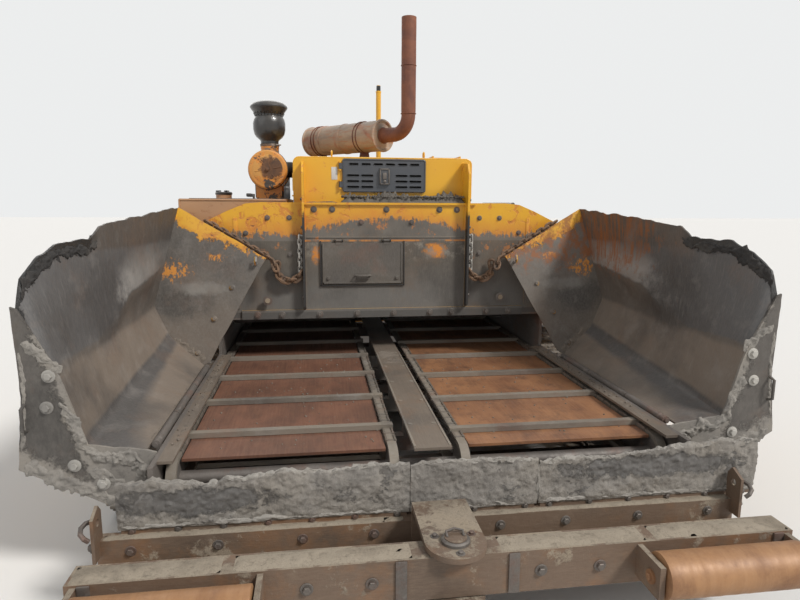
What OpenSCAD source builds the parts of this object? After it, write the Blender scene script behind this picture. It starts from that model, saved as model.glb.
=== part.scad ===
// Crawler asphalt paver: hopper with folding wings, slat conveyors, engine hood,
// operator deck, spreading augers and a towed screed with sliding extensions.
// Millimetres. Front (hopper) is -Y, rear (screed) is +Y, up is +Z, ground is z = 0.

/* [Hopper] */
// Place of the bulkhead's front face along Y
bulk_y = -880; // [-950:5:-800]
// Length from the wings' front plates back to the bulkhead
hopper_len = 1570; // [1450:10:1700]
// Height of the top of the floor plates
floor_z = 550; // [540:5:580]
// Thickness of the floor plates
floor_t = 12; // [8:1:16]
// Thickness of the guards over the chains
guard_t = 12; // [8:1:16]
// Width of the cover plate between the conveyors
cover_w = 160; // [130:5:180]
// Thickness of the wings' sheet
wing_t = 10; // [6:1:14]
// Gap between the wings' back plates and the bulkhead's ribs
back_gap = 10; // [6:1:30]

/* [Frame] */
// Half width between the frame's side plates
frame_half = 1100; // [1080:5:1140]
// Thickness of the frame's side plates
side_t = 20; // [12:1:30]
// Length of the frame behind the bulkhead
rear_len = 2660; // [2500:10:2800]
// Lowest edge of the frame
frame_z = 230; // [200:5:260]
// Height of the tunnel's roof over the floor
tunnel_h = 290; // [260:5:320]

/* [Conveyors] */
// Radius of the chain loop over its end shafts
chain_r = 100; // [90:1:105]
// Thickness of the chain
chain_t = 22; // [16:1:26]
// Width of a chain
chain_w = 40; // [30:1:46]
// Width of a flight bar
flight_w = 38; // [30:1:50]
// Height of a flight bar over the chain
flight_h = 16; // [10:1:20]
// Number of flight bars on one loop
flight_n = 20; // [16:1:24]

/* [Tracks] */
// Width of a track
track_w = 380; // [340:5:400]
// Gap between the frame and the track
track_gap = 30; // [25:1:40]
// Radius of the front idler's path at the belt's outside
idler_r = 225; // [200:1:235]
// Radius of the rear sprocket's path at the belt's outside
sprocket_r = 300; // [270:1:320]
// Distance between idler and sprocket
track_base = 3040; // [2900:10:3100]
// Place of the idler's axle along Y
idler_y = -1740; // [-1780:5:-1700]
// Thickness of the belt of links
belt_t = 24; // [18:1:30]
// Height of the shoes over the belt
shoe_h = 26; // [18:1:30]
// Number of shoes on one track
shoe_n = 46; // [40:1:52]

/* [Front] */
// Radius of a push roller
roller_r = 80; // [70:1:90]
// Length of a push roller
roller_len = 550; // [500:5:600]
// Height of the push rollers' axis
roller_z = 330; // [300:5:350]
// Half length of the push beam
push_half = 1280; // [1240:5:1300]

/* [Body] */
// Height of the hood's top
hood_top = 1900; // [1850:5:1950]
// Half width of the hood
hood_half = 610; // [580:5:625]
// Length of the hood
hood_len = 1440; // [1350:10:1480]
// Thickness of the hood's sheet
hood_t = 6; // [4:1:10]
// Height of the bulkhead's ledge
ledge_z = 1600; // [1560:5:1620]
// Height of the operator deck
deck_z = 1130; // [1100:5:1160]
// Half width of the operator deck
deck_half = 1450; // [1400:5:1480]

/* [Screed] */
// Width of the main screed
screed_w = 3050; // [3000:10:3060]
// Depth of the main screed from front to back
screed_d = 530; // [480:5:560]
// Height of the screed plate's underside as parked
screed_z = 15; // [10:1:40]
// Travel of a sliding extension
ext_travel = 1200; // [1000:10:1200]
// Radius of the augers
auger_r = 200; // [180:5:210]
// Pitch of the augers' flights
auger_pitch = 300; // [260:10:340]

/* [Exhaust] */
// Radius of the muffler
muffler_r = 112; // [95:1:125]
// Radius of the exhaust pipe
pipe_r = 50; // [40:1:55]
// Height of the exhaust pipe's top
pipe_top = 2870; // [2700:10:2900]

/* [Hidden] */
$fn = 48;

paint = "#e8ac1e";
steel = "#6b6660";
rust = "#8a5238";
dark = "#2c2e30";
rubber = "#8d8a86";

// Small running gaps
fit = 0.05;
seat_gap = 0.3;
clear = 6;
hinge_off = 16;

// Places that several pieces share
hop_y = bulk_y - hopper_len;
rear_y = bulk_y + rear_len;
side_out = frame_half + side_t;
floor_under = floor_z - floor_t;
guard_z = floor_z + 35;
guard_top = guard_z + guard_t;
roof_z = floor_z + tunnel_h;
conv_z = floor_z + 10 - chain_r;
conv_front = hop_y + 10;
conv_rear = rear_y - 80;
cover_half = cover_w / 2;
rib_x = 548;
rib_t = 14;
rib_d = 70;
back_lean = 0.197;
back_rise = 190;

// Boxes and bars by their limits
module box(x, y, z) {
    translate([x[0], y[0], z[0]]) cube([x[1] - x[0], y[1] - y[0], z[1] - z[0]]);
}
module both_sides() {
    children();
    mirror([1, 0, 0]) children();
}
// An outline in Y and Z, drawn out along X
module along_x(x) {
    translate([x[0], 0, 0]) rotate([90, 0, 90]) linear_extrude(x[1] - x[0]) children();
}
// An outline in X and Z, drawn out along Y
module along_y(y) {
    translate([0, y[1], 0]) rotate([90, 0, 0]) linear_extrude(y[1] - y[0]) children();
}
module bar_x(x, y, z, r) {
    translate([x[0], y, z]) rotate([0, 90, 0]) cylinder(r = r, h = x[1] - x[0]);
}
module bar_y(x, y, z, r) {
    translate([x, y[1], z]) rotate([90, 0, 0]) cylinder(r = r, h = y[1] - y[0]);
}
module bar_z(x, y, z, r) {
    translate([x, y, z[0]]) cylinder(r = r, h = z[1] - z[0]);
}
// A round bar from one point to another
module bar(p, q, r) {
    d = q - p;
    translate(p) rotate([0, acos(d[2] / norm(d)), atan2(d[1], d[0])]) cylinder(r = r, h = norm(d));
}
module rounded(size, r) {
    translate([r, 0]) square([size[0] - 2 * r, size[1]]);
    translate([0, r]) square([size[0], size[1] - 2 * r]);
    for (x = [r, size[0] - r], y = [r, size[1] - r]) translate([x, y]) circle(r);
}
// Fixed half of a small hinge: ears and a pin along X, with the wall behind them
module hinge_fixed() {
    for (x = [-30, 22]) {
        box([x, x + 8], [0, hinge_off], [-8, 8]);
        bar_x([x, x + 8], 0, 0, 8);
    }
    bar_x([-30, 30], 0, 0, 4);
}
// Moving half: a knuckle whose leaf holds a panel that hangs below it
module hinge_moving() {
    difference() {
        union() {
            bar_x([-19, 19], 0, 0, 8);
            box([-19, 19], [0, 6], [-hinge_off - 12, 0]);
        }
        bar_x([-20, 20], 0, 0, 4 + fit);
    }
}
// A closed skin through rings of points, each ring with as many points
module loft(rings) {
    n = len(rings[0]);
    m = len(rings);
    polyhedron(
        [for (r = rings) each r],
        [[for (i = [0:n - 1]) i],
         [for (i = [n - 1:-1:0]) (m - 1) * n + i],
         for (k = [0:m - 2]) for (i = [0:n - 1])
            each [[k * n + i, (k + 1) * n + i, (k + 1) * n + (i + 1) % n],
                  [k * n + i, (k + 1) * n + (i + 1) % n, k * n + (i + 1) % n]]]);
}

// Frame
module main_frame() color(steel) {
    both_sides() {
        // Side plate, low beside the hopper and as high as the tunnel behind the bulkhead
        difference() {
            along_x([frame_half, side_out]) polygon([
                [nose_back, frame_z], [rear_y - 120, frame_z], [rear_y, frame_z + 70],
                [rear_y, roof_z], [bulk_y, roof_z], [bulk_y, guard_top],
                [nose_back, guard_top]]);
            for (y = eye_y) bar_x([frame_half - 1, side_out + 1], y, eye_z, eye_r);
        }
        // Lugs that carry the wing's hinge pin
        for (y = hinge_lugs) box([side_out, hinge_x], [y - 20, y + 20], [hinge_z - 60, hinge_z - 14]);
        for (y = hinge_lugs) bar_y(hinge_x, [y - 20, y + 20], hinge_z, 18);
        bar_y(hinge_x, [hinge_lugs[0] - 30, hinge_lugs[3] + 30], hinge_z, pin_r);
        // Lugs for the wing's cylinder
        for (y = [cyl_y - 32, cyl_y + 20])
            difference() {
                along_y([y, y + 12]) polygon([[side_out, wc_z - 28], [wc_x, wc_z - 28],
                    [wc_x + 28, wc_z], [wc_x, wc_z + 28], [side_out, wc_z + 60]]);
                bar_y(wc_x, [y - 1, y + 13], wc_z, 12 + fit);
            }
    }
    // Belly members and the beams that carry the floor inside the conveyors' loops
    for (y = belly_y) box([-frame_half, frame_half], [y, y + 80], [frame_z, frame_z + 70]);
    for (y = beam_y) {
        box([-frame_half, frame_half], [y, y + 60], [conv_z - 35, conv_z + 40]);
        for (s = [-1, 1]) box(s > 0 ? [plate_in, plate_out] : [-plate_out, -plate_in],
            [y, y + 60], [conv_z + 39, floor_under]);
        box([-cover_half + 10, cover_half - 10], [y, y + 60], [conv_z + 39, guard_z]);
    }
    // Tunnel roof under the engine
    box([-frame_half, frame_half], [bulk_y, rear_y - 60], [roof_z - 12, roof_z]);
    // Rear cross beam
    box([-frame_half, frame_half], [rear_y - 60, rear_y], [roof_z - 90, roof_z]);
    // Shafts of the conveyors, held in the side plates
    for (y = [conv_front, conv_rear]) bar_x([-frame_half - 5, frame_half + 5], y, conv_z, 30);
    for (y = [conv_front, conv_rear]) for (x = wheel_x) bar_x([x, x + chain_w], y, conv_z, chain_r - chain_t - seat_gap);
}
bulk_t = 12;
nose_back = hop_y - 190;
eye_y = [nose_back + 60, rear_y - 50];
eye_z = frame_z + 120;
eye_r = 24;
pin_r = 10;
hinge_x = side_out + 24;
hinge_z = guard_top + 3;
plate_in = cover_half + 105;
plate_out = frame_half - 65;
chain_out = [frame_half - 15 - chain_w, frame_half - 15];
chain_in = [cover_half + 55, cover_half + 55 + chain_w];
wheel_x = [chain_in[0], chain_out[0], -chain_in[1], -chain_out[1]];
belly_y = [hop_y + 400, bulk_y + 150, bulk_y + 1400, rear_y - 250];
beam_y = [hop_y + 250, hop_y + 800, bulk_y - 150, bulk_y + 500, bulk_y + 1200, bulk_y + 1900];
wing_back_y = bulk_y - rib_d - back_gap - wing_t - back_rise;
hinge_lugs = [hop_y + 60, hop_y + 420, hop_y + 860, hop_y + 1220];

// Nose: cross beam, ledge and the tongue that holds the push beam
module nose_beam() color(steel) {
    along_x([-nose_half, nose_half]) polygon([[nose_back, frame_z + 10], [nose_back, nose_top],
        [nose_back - 60, nose_top], [nose_back - 60, frame_z + 20], [nose_front, frame_z + 20],
        [nose_front, frame_z]]);
    // Sill behind the flaps
    box([-frame_half, frame_half], [nose_back, nose_back + 12], [frame_z + 10, floor_z - 50]);
    // End brackets
    both_sides() {
        difference() {
            along_x([nose_half - 12, nose_half]) polygon([[nose_back - 24, nose_top - 1], [nose_back - 24, nose_top + 110],
                [nose_back - 50, nose_top + 140], [nose_back - 110, nose_top + 110], [nose_back - 110, nose_top - 60],
                [nose_back - 59, nose_top - 60], [nose_back - 59, nose_top - 1]]);
            bar_x([nose_half - 13, nose_half + 1], nose_back - 65, nose_top + 80, 14);
        }
    }
    // Tongue plates over and under the push beam, with the pin
    for (z = [push_z[0] - clear - 20, push_z[1] + clear])
        difference() {
            union() {
                box([-110, 110], [push_y, nose_back - 59], [z, z + 20]);
                bar_z(0, push_y, [z, z + 20], 110);
            }
            bar_z(0, push_y, [z - 1, z + 21], push_pin_r);
        }
    box([-110, 110], [nose_back - 75, nose_back - 59], [push_z[0] - clear - 20, push_z[1] + clear + 20]);
    bar_z(0, push_y, [push_z[0] - clear - 30, push_z[1] + clear + 38], push_pin_r);
    // Steel bars that clamp the flaps
    for (f = flaps) box([f[0] + 10, f[1] - 10], [flap_y - 14, nose_back], [nose_top, nose_top + 16]);
}
nose_half = 1300;
nose_top = frame_z + 115;
nose_front = nose_back - 200;
push_y = nose_back - 355;
roller_y = push_y - 150;
push_pin_r = 40;
push_z = [frame_z + 12, frame_z + 168];

// Apron: torn rubber flaps, columns are left edge, right edge, foot, and heights along the top
flap_t = 20;
flap_y = nose_back - seat_gap;
flaps = [[-1235, -112, [545, 552, 528, 548, 560, 552, 570, 565]],
         [-108, 428, [562, 568, 560, 556]],
         [434, 1420, [545, 548, 556, 575, 590, 592]]];
module apron_flaps() color(rubber) {
    for (f = flaps) {
        n = len(f[2]) - 1;
        along_y([flap_y - flap_t, flap_y]) polygon([[f[1], nose_top + 16], [f[0], nose_top + 16],
            for (i = [0:n]) [f[0] + (f[1] - f[0]) * i / n, f[2][i]]]);
    }
}

// Floor plates between the chains, and the guards over them
module hopper_floor() color(rust) {
    floor_y = [conv_front - 15, conv_rear];
    both_sides() {
        box([plate_in, plate_out], floor_y, [floor_under, floor_z]);
        box([frame_half - 60, frame_half], [nose_back + 60, bulk_y - 20], [guard_z, guard_top]);
    }
    box([-cover_half, cover_half], [nose_back + 60, rear_y - 100], [guard_z, guard_top]);
}

// A loop with round ends, seen from the side
module loop_outline(r) {
    translate([conv_front, conv_z - r]) square([conv_rear - conv_front, 2 * r]);
    for (y = [conv_front, conv_rear]) translate([y, conv_z]) circle(r);
}
// Place and tilt on the conveyor's loop, at a distance along it from the front of the top run
function loop_at(s) = let (run = conv_rear - conv_front, turn = PI * chain_r)
    s < run ? [conv_front + s, conv_z + chain_r, 0]
    : s < run + turn ? let (a = (s - run) / chain_r * 180 / PI)
        [conv_rear + chain_r * sin(a), conv_z + chain_r * cos(a), -a]
    : s < 2 * run + turn ? [conv_rear - (s - run - turn), conv_z - chain_r, 180]
    : let (a = (s - 2 * run - turn) / chain_r * 180 / PI)
        [conv_front - chain_r * sin(a), conv_z - chain_r * cos(a), 180 - a];
module conveyor(first) {
    length = 2 * (conv_rear - conv_front) + 2 * PI * chain_r;
    for (x = [chain_in, chain_out]) along_x(x) difference() {
        loop_outline(chain_r);
        loop_outline(chain_r - chain_t);
    }
    for (i = [0:flight_n - 1]) {
        p = loop_at((first + i * length / flight_n) % length);
        translate([chain_in[0] - 8, p[0], p[1]]) rotate([p[2], 0, 0])
            translate([0, -flight_w / 2, -8]) cube([chain_out[1] - 20 - chain_in[0] + 8, flight_w, 8 + flight_h]);
    }
}
module conveyor_left() color(steel) mirror([1, 0, 0]) conveyor(216);
module conveyor_right() color(steel) conveyor(131);

// Bulkhead with its shoulders, ledge, ribs and foot
shoulder = [[-1110, 0], [1110, 0], [1110, 30], [1440, 160], [1440, 505], [1040, 700], [920, 750],
    [820, ledge_z - roof_z], [-820, ledge_z - roof_z], [-920, 750], [-1040, 700], [-1440, 505],
    [-1440, 160], [-1110, 30]];
door_x = [-430, 110];
door_z = [1060, 1335];
module bulkhead() color(paint) {
    for (x = ad_hinges) translate([x, bulk_y - hinge_off, door_z[1] + hinge_off]) hinge_fixed();
    difference() {
        translate([0, 0, roof_z]) along_y([bulk_y, bulk_y + bulk_t]) polygon(shoulder);
        box([door_x[0] + 20, door_x[1] - 20], [bulk_y - 1, bulk_y + bulk_t + 1], [door_z[0] + 20, door_z[1] - 20]);
    }
    // Foot flange
    box([-960, 960], [bulk_y - 14, bulk_y], [roof_z - 10, roof_z + 50]);
    // Ledge in front of the hood
    box([-hood_half, hood_half], [bulk_y + bulk_t, hood_y], [ledge_z - 12, ledge_z]);
    box([-hood_half, hood_half], [bulk_y - 16, bulk_y], [ledge_z - 14, ledge_z]);
    both_sides() {
        // Rib with a tapered head that leans on the hood
        along_x([rib_x - rib_t / 2, rib_x + rib_t / 2]) polygon([[bulk_y, roof_z + 50],
            [bulk_y - rib_d, roof_z + 75], [bulk_y - rib_d, hood_top - 110], [bulk_y - rib_d + 40, hood_top - 40],
            [hood_y - seat_gap, hood_top - 30], [hood_y - seat_gap, ledge_z], [bulk_y, ledge_z]]);
        // Peg that the wing's lock chain hooks on
        bar_y(790, [bulk_y - 50, bulk_y], 960, 16);
    }
}
ad_hinges = [door_x[0] + 110, door_x[1] - 110];
hood_y = bulk_y + bulk_t + 118;

// Hood over the engine
grille_x = [-285, 285];
grille_z = [ledge_z + 70, hood_top - 8];
module hood_shape(r, in) {
    translate([-hood_half + in, roof_z]) square([2 * (hood_half - in), hood_top - roof_z - r]);
    translate([-hood_half + r, hood_top - 2 * r]) square([2 * (hood_half - r), 2 * r - in]);
    for (x = [-hood_half + r, hood_half - r]) translate([x, hood_top - r]) circle(r - in);
}
hd_h = 210;
hd_z = [hood_top - 50 - hd_h, hood_top - 50];
hd_right_y = [hood_y + 100, hood_y + 800];
hd_left_y = [hood_y + 780, hood_y + 1340];
module hood() color(paint) {
    difference() {
        along_y([hood_y, hood_y + hood_len]) hood_shape(40, 0);
        along_y([hood_y + hood_t, hood_y + hood_len - hood_t]) translate([0, -1]) hood_shape(40, hood_t);
        box([grille_x[0] + 15, grille_x[1] - 15], [hood_y - 1, hood_y + hood_t + 1], [grille_z[0] + 15, grille_z[1] - 15]);
        box([hood_half - 30, hood_half + 1], [hd_right_y[0] + 15, hd_right_y[1] - 15], [hd_z[0] + 15, hd_z[1] - 15]);
        box([-hood_half - 1, -hood_half + 30], [hd_left_y[0] + 15, hd_left_y[1] - 15], [hd_z[0] + 15, hd_z[1] - 15]);
    }
    for (z = gd_hinges) translate([grille_x[0] - hinge_off, hood_y - hinge_off, z]) rotate([0, -90, 0])
        hinge_fixed();
    side_hinges(hd_right_y) hinge_fixed();
    mirror([1, 0, 0]) side_hinges(hd_left_y) hinge_fixed();
    // Small rusty tray on the hood
    difference() {
        box([380, 590], [hood_y + 240, hood_y + 400], [hood_top - 1, hood_top + 36]);
        box([390, 580], [hood_y + 239, hood_y + 390], [hood_top + 6, hood_top + 37]);
    }
}
module engine_block() color(dark) {
    box([-330, 330], [hood_y + 260, hood_y + 1180], [roof_z, ledge_z - 40]);
}

// Panels that open
panel_t = 8;
module grille_door() color(dark) {
    y = hood_y - clear - panel_t;
    difference() {
        along_y([y, y + panel_t]) translate([grille_x[0], grille_z[0]])
            rounded([grille_x[1] - grille_x[0], grille_z[1] - grille_z[0]], 16);
        // Slots, columns are left, right and height
        for (s = grille_slots) along_y([y - 1, y + panel_t + 1]) translate([s[0], s[2] - 8])
            rounded([s[1] - s[0], 16], 7.9);
    }
    // Latch in the middle
    box([-32, 32], [y - 14, y], [grille_z[0] + 50, grille_z[1] - 62]);
    for (z = gd_hinges) translate([grille_x[0] - hinge_off, hood_y - hinge_off, z]) rotate([0, -90, 0])
        hinge_moving();
}
gd_hinges = [grille_z[0] + 50, grille_z[1] - 50];
grille_slots = [for (i = [0:5]) [-240 + i * 83, -175 + i * 83, grille_z[1] - 36],
    for (z = [0:2]) for (x = [-255, -160, 75, 170]) [x, x + 85, grille_z[0] + 35 + z * 38]];
module access_door() color(steel) {
    y = bulk_y - clear - panel_t;
    box(door_x, [y, y + panel_t], door_z);
    box([-200, -120], [y - 22, y], [door_z[0] + 35, door_z[0] + 50]);
    for (x = ad_hinges) translate([x, bulk_y - hinge_off, door_z[1] + hinge_off]) hinge_moving();
}
module side_door(y) {
    box([hood_half + clear, hood_half + clear + panel_t], y, hd_z);
    side_hinges(y) hinge_moving();
}
// Both hinges of a door on the hood's side
module side_hinges(y) {
    for (v = [y[0] + 90, y[1] - 90]) translate([hood_half + hinge_off, v, hd_z[1] + hinge_off])
        rotate([0, 0, 90]) children();
}
module hood_door_left() color(paint) mirror([1, 0, 0]) side_door(hd_left_y);
module hood_door_right() color(paint) side_door(hd_right_y);

// Tanks at the sides
tank_y = [bulk_y + bulk_t + 8, hood_y + hood_len - 20];
tank_x = [hood_half + 45, deck_half - 120];
left_tank_top = ledge_z + 20;
right_tank_top = ledge_z - 150;
filler_x = tank_x[1] - 150;
filler_h = 40;
// Two steps on the side of a tank, each a tread on two brackets
step_y = [tank_y[0] + 600, tank_y[0] + 1020];
module tank_steps() {
    for (z = [fender_z + 120, fender_z + 390]) {
        for (y = [step_y[0] + 10, step_y[1] - 22]) box([tank_x[1] - 1, tank_x[1] + 100], [y, y + 12], [z, z + 46]);
        box([tank_x[1] + 4, tank_x[1] + 130], step_y, [z + 45, z + 53]);
    }
}
module tank_left() color("#c98a4b") {
    box([-tank_x[1], -tank_x[0]], tank_y, [fender_z + fender_t, left_tank_top]);
    bar_z(-filler_x, tank_y[0] + 900, [left_tank_top - 1, left_tank_top + filler_h], 60);
    mirror([1, 0, 0]) tank_steps();
}
module tank_right() color(paint) {
    box([tank_x[0], tank_x[1]], tank_y, [fender_z + fender_t, right_tank_top]);
    bar_z(filler_x, tank_y[0] + 900, [right_tank_top - 1, right_tank_top + filler_h], 60);
    tank_steps();
}

// Fenders over the tracks, with the brackets of the tow points
fender_t = 10;
fender_z = roof_z - fender_t;
fender_x = 1549;
tow_y = bulk_y + 530;
tow_z = 500;
tow_pin_r = 30;
module fenders() color(paint) both_sides() {
    box([side_out, fender_x], [bulk_y + bulk_t + 4, rear_y - 420], [fender_z, fender_z + fender_t]);
    // Tow bracket outside the track
    along_x([fender_x - 14, fender_x]) polygon([[tow_y - 180, fender_z], [tow_y - 70, tow_z - 60],
        [tow_y + 70, tow_z - 60], [tow_y + 180, fender_z]]);
    bar_x([fender_x - 1, arm_x[1] + 12], tow_y, tow_z, tow_pin_r);
    bar_x([arm_x[1] + clear, arm_x[1] + clear + 10], tow_y, tow_z, tow_pin_r + 18);
}
arm_x = [1560, 1600];

// Tracks: one closed loop each, with its shoes in its outline
ty0 = idler_y;
ty1 = idler_y + track_base;
tz0 = idler_r + shoe_h;
tz1 = sprocket_r + shoe_h;
track_tilt = 2 * atan((tz1 - tz0) / track_base);
track_x = [side_out + track_gap, side_out + track_gap + track_w];
function track_len() = 2 * track_base + (180 + track_tilt) * PI / 180 * sprocket_r
    + (180 - track_tilt) * PI / 180 * idler_r;
// Place and tilt on the belt's outside, at a distance along it from under the idler
function track_at(s) =
    let (a1 = (180 + track_tilt) * PI / 180 * sprocket_r, a0 = (180 - track_tilt) * PI / 180 * idler_r)
    s < track_base ? [ty0 + s, shoe_h, 180]
    : s < track_base + a1 ? let (a = -90 + (s - track_base) / sprocket_r * 180 / PI)
        [ty1 + sprocket_r * cos(a), tz1 + sprocket_r * sin(a), a - 90]
    : s < 2 * track_base + a1 ? let (d = s - track_base - a1, n = 90 + track_tilt)
        [ty1 + sprocket_r * cos(n) - d * cos(track_tilt), tz1 + sprocket_r * sin(n) - d * sin(track_tilt), n - 90]
    : let (a = 90 + track_tilt + (s - 2 * track_base - a1) / idler_r * 180 / PI)
        [ty0 + idler_r * cos(a), tz0 + idler_r * sin(a), a - 90];
module belt_outline(in) {
    hull_of = [[ty0, tz0, idler_r - in], [ty1, tz1, sprocket_r - in]];
    up = [-sin(track_tilt), cos(track_tilt)];
    polygon([[ty0, tz0 - hull_of[0][2]], [ty1, tz1 - hull_of[1][2]], [ty1, tz1],
        [ty1, tz1] + up * hull_of[1][2], [ty0, tz0] + up * hull_of[0][2], [ty0, tz0]]);
    for (c = hull_of) translate([c[0], c[1]]) circle(c[2], $fn = 40);
}
module track() {
    along_x(track_x) intersection() {
        translate([ty0 - 400, 0]) square([track_base + 900, 900]);
        track_profile();
    }
}
module track_profile() {
    difference() {
        belt_outline(0);
        belt_outline(belt_t);
    }
    for (i = [0:shoe_n - 1]) {
        p = track_at((i + 0.5) * track_len() / shoe_n);
        translate([p[0], p[1]]) rotate(p[2])
            polygon([[-68, -6], [68, -6], [68, shoe_h - 6], [58, shoe_h], [-58, shoe_h], [-68, shoe_h - 6]]);
    }
}
module track_left() color(dark) mirror([1, 0, 0]) track();
module track_right() color(dark) track();
track_roller_r = 64;
axle_r = 25;
track_rail_z = shoe_h + belt_t + 2 * track_roller_r + 2 * seat_gap;
module track_frames() color(paint) both_sides() {
    box([track_x[0] + 60, track_x[1] - 60], [ty0 + 330, ty1 - 420], [track_rail_z, 330]);
    // Fork that holds the idler
    difference() {
        for (x = [track_x[0] + 60, track_x[1] - 90])
            box([x, x + 30], [ty0 - 40, ty0 + 331], [tz0 - 35, tz0 + 35]);
        bar_x([track_x[0] + 59, track_x[1] - 59], ty0, tz0, axle_r + fit);
    }
    // Arms to the sprocket's drive
    box([track_x[0] + 60, track_x[0] + 90], [ty1 - 421, ty1 + 60], [230, 410]);
    // Cross tubes to the frame
    for (y = [bulk_y + 230, bulk_y + 1480]) box([side_out, track_x[0] + 61], [y, y + 120], [200, 320]);
}
roller_seats = [for (i = [0:5]) ty0 + 420 + i * 400];
module track_rollers() color(steel) both_sides() {
    for (y = roller_seats)
        bar_x([track_x[0] + 100, track_x[1] - 100], y, shoe_h + belt_t + seat_gap + track_roller_r, track_roller_r);
    bar_x([track_x[0] + 95, track_x[1] - 95], ty0, tz0, idler_r - belt_t - seat_gap);
    bar_x([track_x[0] + 60, track_x[1] - 60], ty0, tz0, axle_r);
    bar_x([track_x[0] + 95, track_x[1] - 95], ty1, tz1, sprocket_r - belt_t - seat_gap);
    bar_x([track_x[0] + 90, track_x[0] + 96], ty1, tz1, 120);
}

// Wings. Columns are across and up from the hinge at the front, the same at the rear,
// and the way the sheet's thickness goes
wing_rows = [[24, 0, 24, 0, 0.1, -1], [250, 30, 225, 180, 0.6, -0.9], [335, 330, 315, 365, 1, -0.3],
    [465, 590, 170, 965, 1, 0]];
// Top edge: share of the length from the front, and height over the hinge
wing_top = [[0, 590], [0.022, 700], [0.097, 774], [0.175, 825], [0.348, 827], [0.404, 880], [0.64, 920],
    [1, 965]];
function wing_point(row, s, top, out) =
    let (x = row[0] + s * (row[2] - row[0]) + out * row[4], z0 = row[1] + s * (row[3] - row[1]),
         z = (row[0] == 465 ? top : z0) + out * row[5], y_r = wing_back_y + back_lean * z)
    [hinge_x + x, hop_y + s * (y_r - hop_y), hinge_z + z];
// Underside of the sheet in X and Z from the hinge, where rows i and i + 1 meet a share t apart, at a place y
function wing_under(i, t, y) =
    let (s = (y - hop_y) / (wing_back_y + back_lean * wing_rows[i][1] - hop_y),
         p = wing_point(wing_rows[i], s, 0, wing_t), q = wing_point(wing_rows[i + 1], s, 0, wing_t))
    [p[0] + t * (q[0] - p[0]), p[2] + t * (q[2] - p[2]) - seat_gap];
// The sheet's own edge at the front (column 0) or the rear (column 2), from the top to the hinge
function wing_edge(col) = [for (i = [3:-1:0]) [wing_rows[i][col], wing_rows[i][col + 1]]];
module wing() {
    loft([for (st = wing_top) concat(
        [for (r = wing_rows) wing_point(r, st[0], st[1], 0)],
        [for (i = [3:-1:0]) wing_point(wing_rows[i], st[0], st[1], wing_t)])]);
    // Back plate, leaning with the wing's rear edge
    lean = atan(back_lean);
    translate([hinge_x, wing_back_y, hinge_z]) rotate([90 - lean, 0, 0]) translate([0, 0, -wing_t - seat_gap])
        linear_extrude(wing_t) polygon([for (p = concat([[-15, 27], [-360, 650]], wing_edge(2)))
            [p[0], p[1] / cos(lean)]]);
    // Front plate
    along_y([hop_y - 12, hop_y - seat_gap]) polygon([for (p = concat([[24, -25], [30, -170], [165, -240],
        [515, -60], [505, 20], [478, 240], [490, 600]], wing_edge(0))) [hinge_x + p[0], hinge_z + p[1]]]);
    // Knuckles round the hinge pin, on bars under the sheet's edge
    for (i = [0:2]) {
        y = [hinge_lugs[i] + 20 + 3, hinge_lugs[i + 1] - 20 - 3];
        difference() {
            union() {
                bar_y(hinge_x, y, hinge_z, 18);
                box([hinge_x, hinge_x + 55], y, [hinge_z - 20, hinge_z - wing_t - seat_gap]);
            }
            bar_y(hinge_x, [y[0] - 1, y[1] + 1], hinge_z, pin_r + fit);
        }
    }
    // Lugs for the cylinder's rod, with its pin
    for (y = [cyl_y - 32, cyl_y + 20]) along_y([y, y + 12]) polygon(concat(
        [wing_under(0, 0.35, y), [hinge_x + 205, hinge_z - 98], [hinge_x + 235, hinge_z - 100],
         [hinge_x + 262, hinge_z - 70], wing_under(0, 0.98, y)]));
    bar_y(wc_eye[0], [cyl_y - 32, cyl_y + 32], wc_eye[1], 8);
}
module wing_left() color(steel) mirror([1, 0, 0]) wing();
module wing_right() color(steel) wing();

// Cylinders under the wings
cyl_y = hop_y + 150;
wc_x = hinge_x + 65;
wc_z = hinge_z - 340;
wc_eye = [hinge_x + 235, hinge_z - 70];
wc_len = norm(wc_eye - [wc_x, wc_z]);
wc_tilt = atan2(wc_eye[0] - wc_x, wc_eye[1] - wc_z);
module wing_barrel() translate([wc_x, cyl_y, wc_z]) rotate([0, wc_tilt, 0]) {
    difference() {
        union() {
            translate([0, 0, 30]) cylinder(r = 34, h = wc_len - 90);
            rotate([90, 0, 0]) cylinder(r = 26, h = 28, center = true);
            translate([-20, -14, 0]) cube([40, 28, 40]);
        }
        translate([0, 0, 50]) cylinder(r = 16 + fit, h = wc_len);
    }
    rotate([90, 0, 0]) cylinder(r = 12, h = 70, center = true);
}
module wing_rod() translate([wc_x, cyl_y, wc_z]) rotate([0, wc_tilt, 0]) {
    translate([0, 0, 52]) cylinder(r = 16, h = wc_len - 52 - 22);
    translate([0, 0, wc_len]) rotate([90, 0, 0]) difference() {
        cylinder(r = 30, h = 28, center = true);
        cylinder(r = 21, h = 30, center = true);
    }
}
module wing_barrel_left() color(dark) mirror([1, 0, 0]) wing_barrel();
module wing_barrel_right() color(dark) wing_barrel();
module wing_rod_left() color("silver") mirror([1, 0, 0]) wing_rod();
module wing_rod_right() color("silver") wing_rod();

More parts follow.
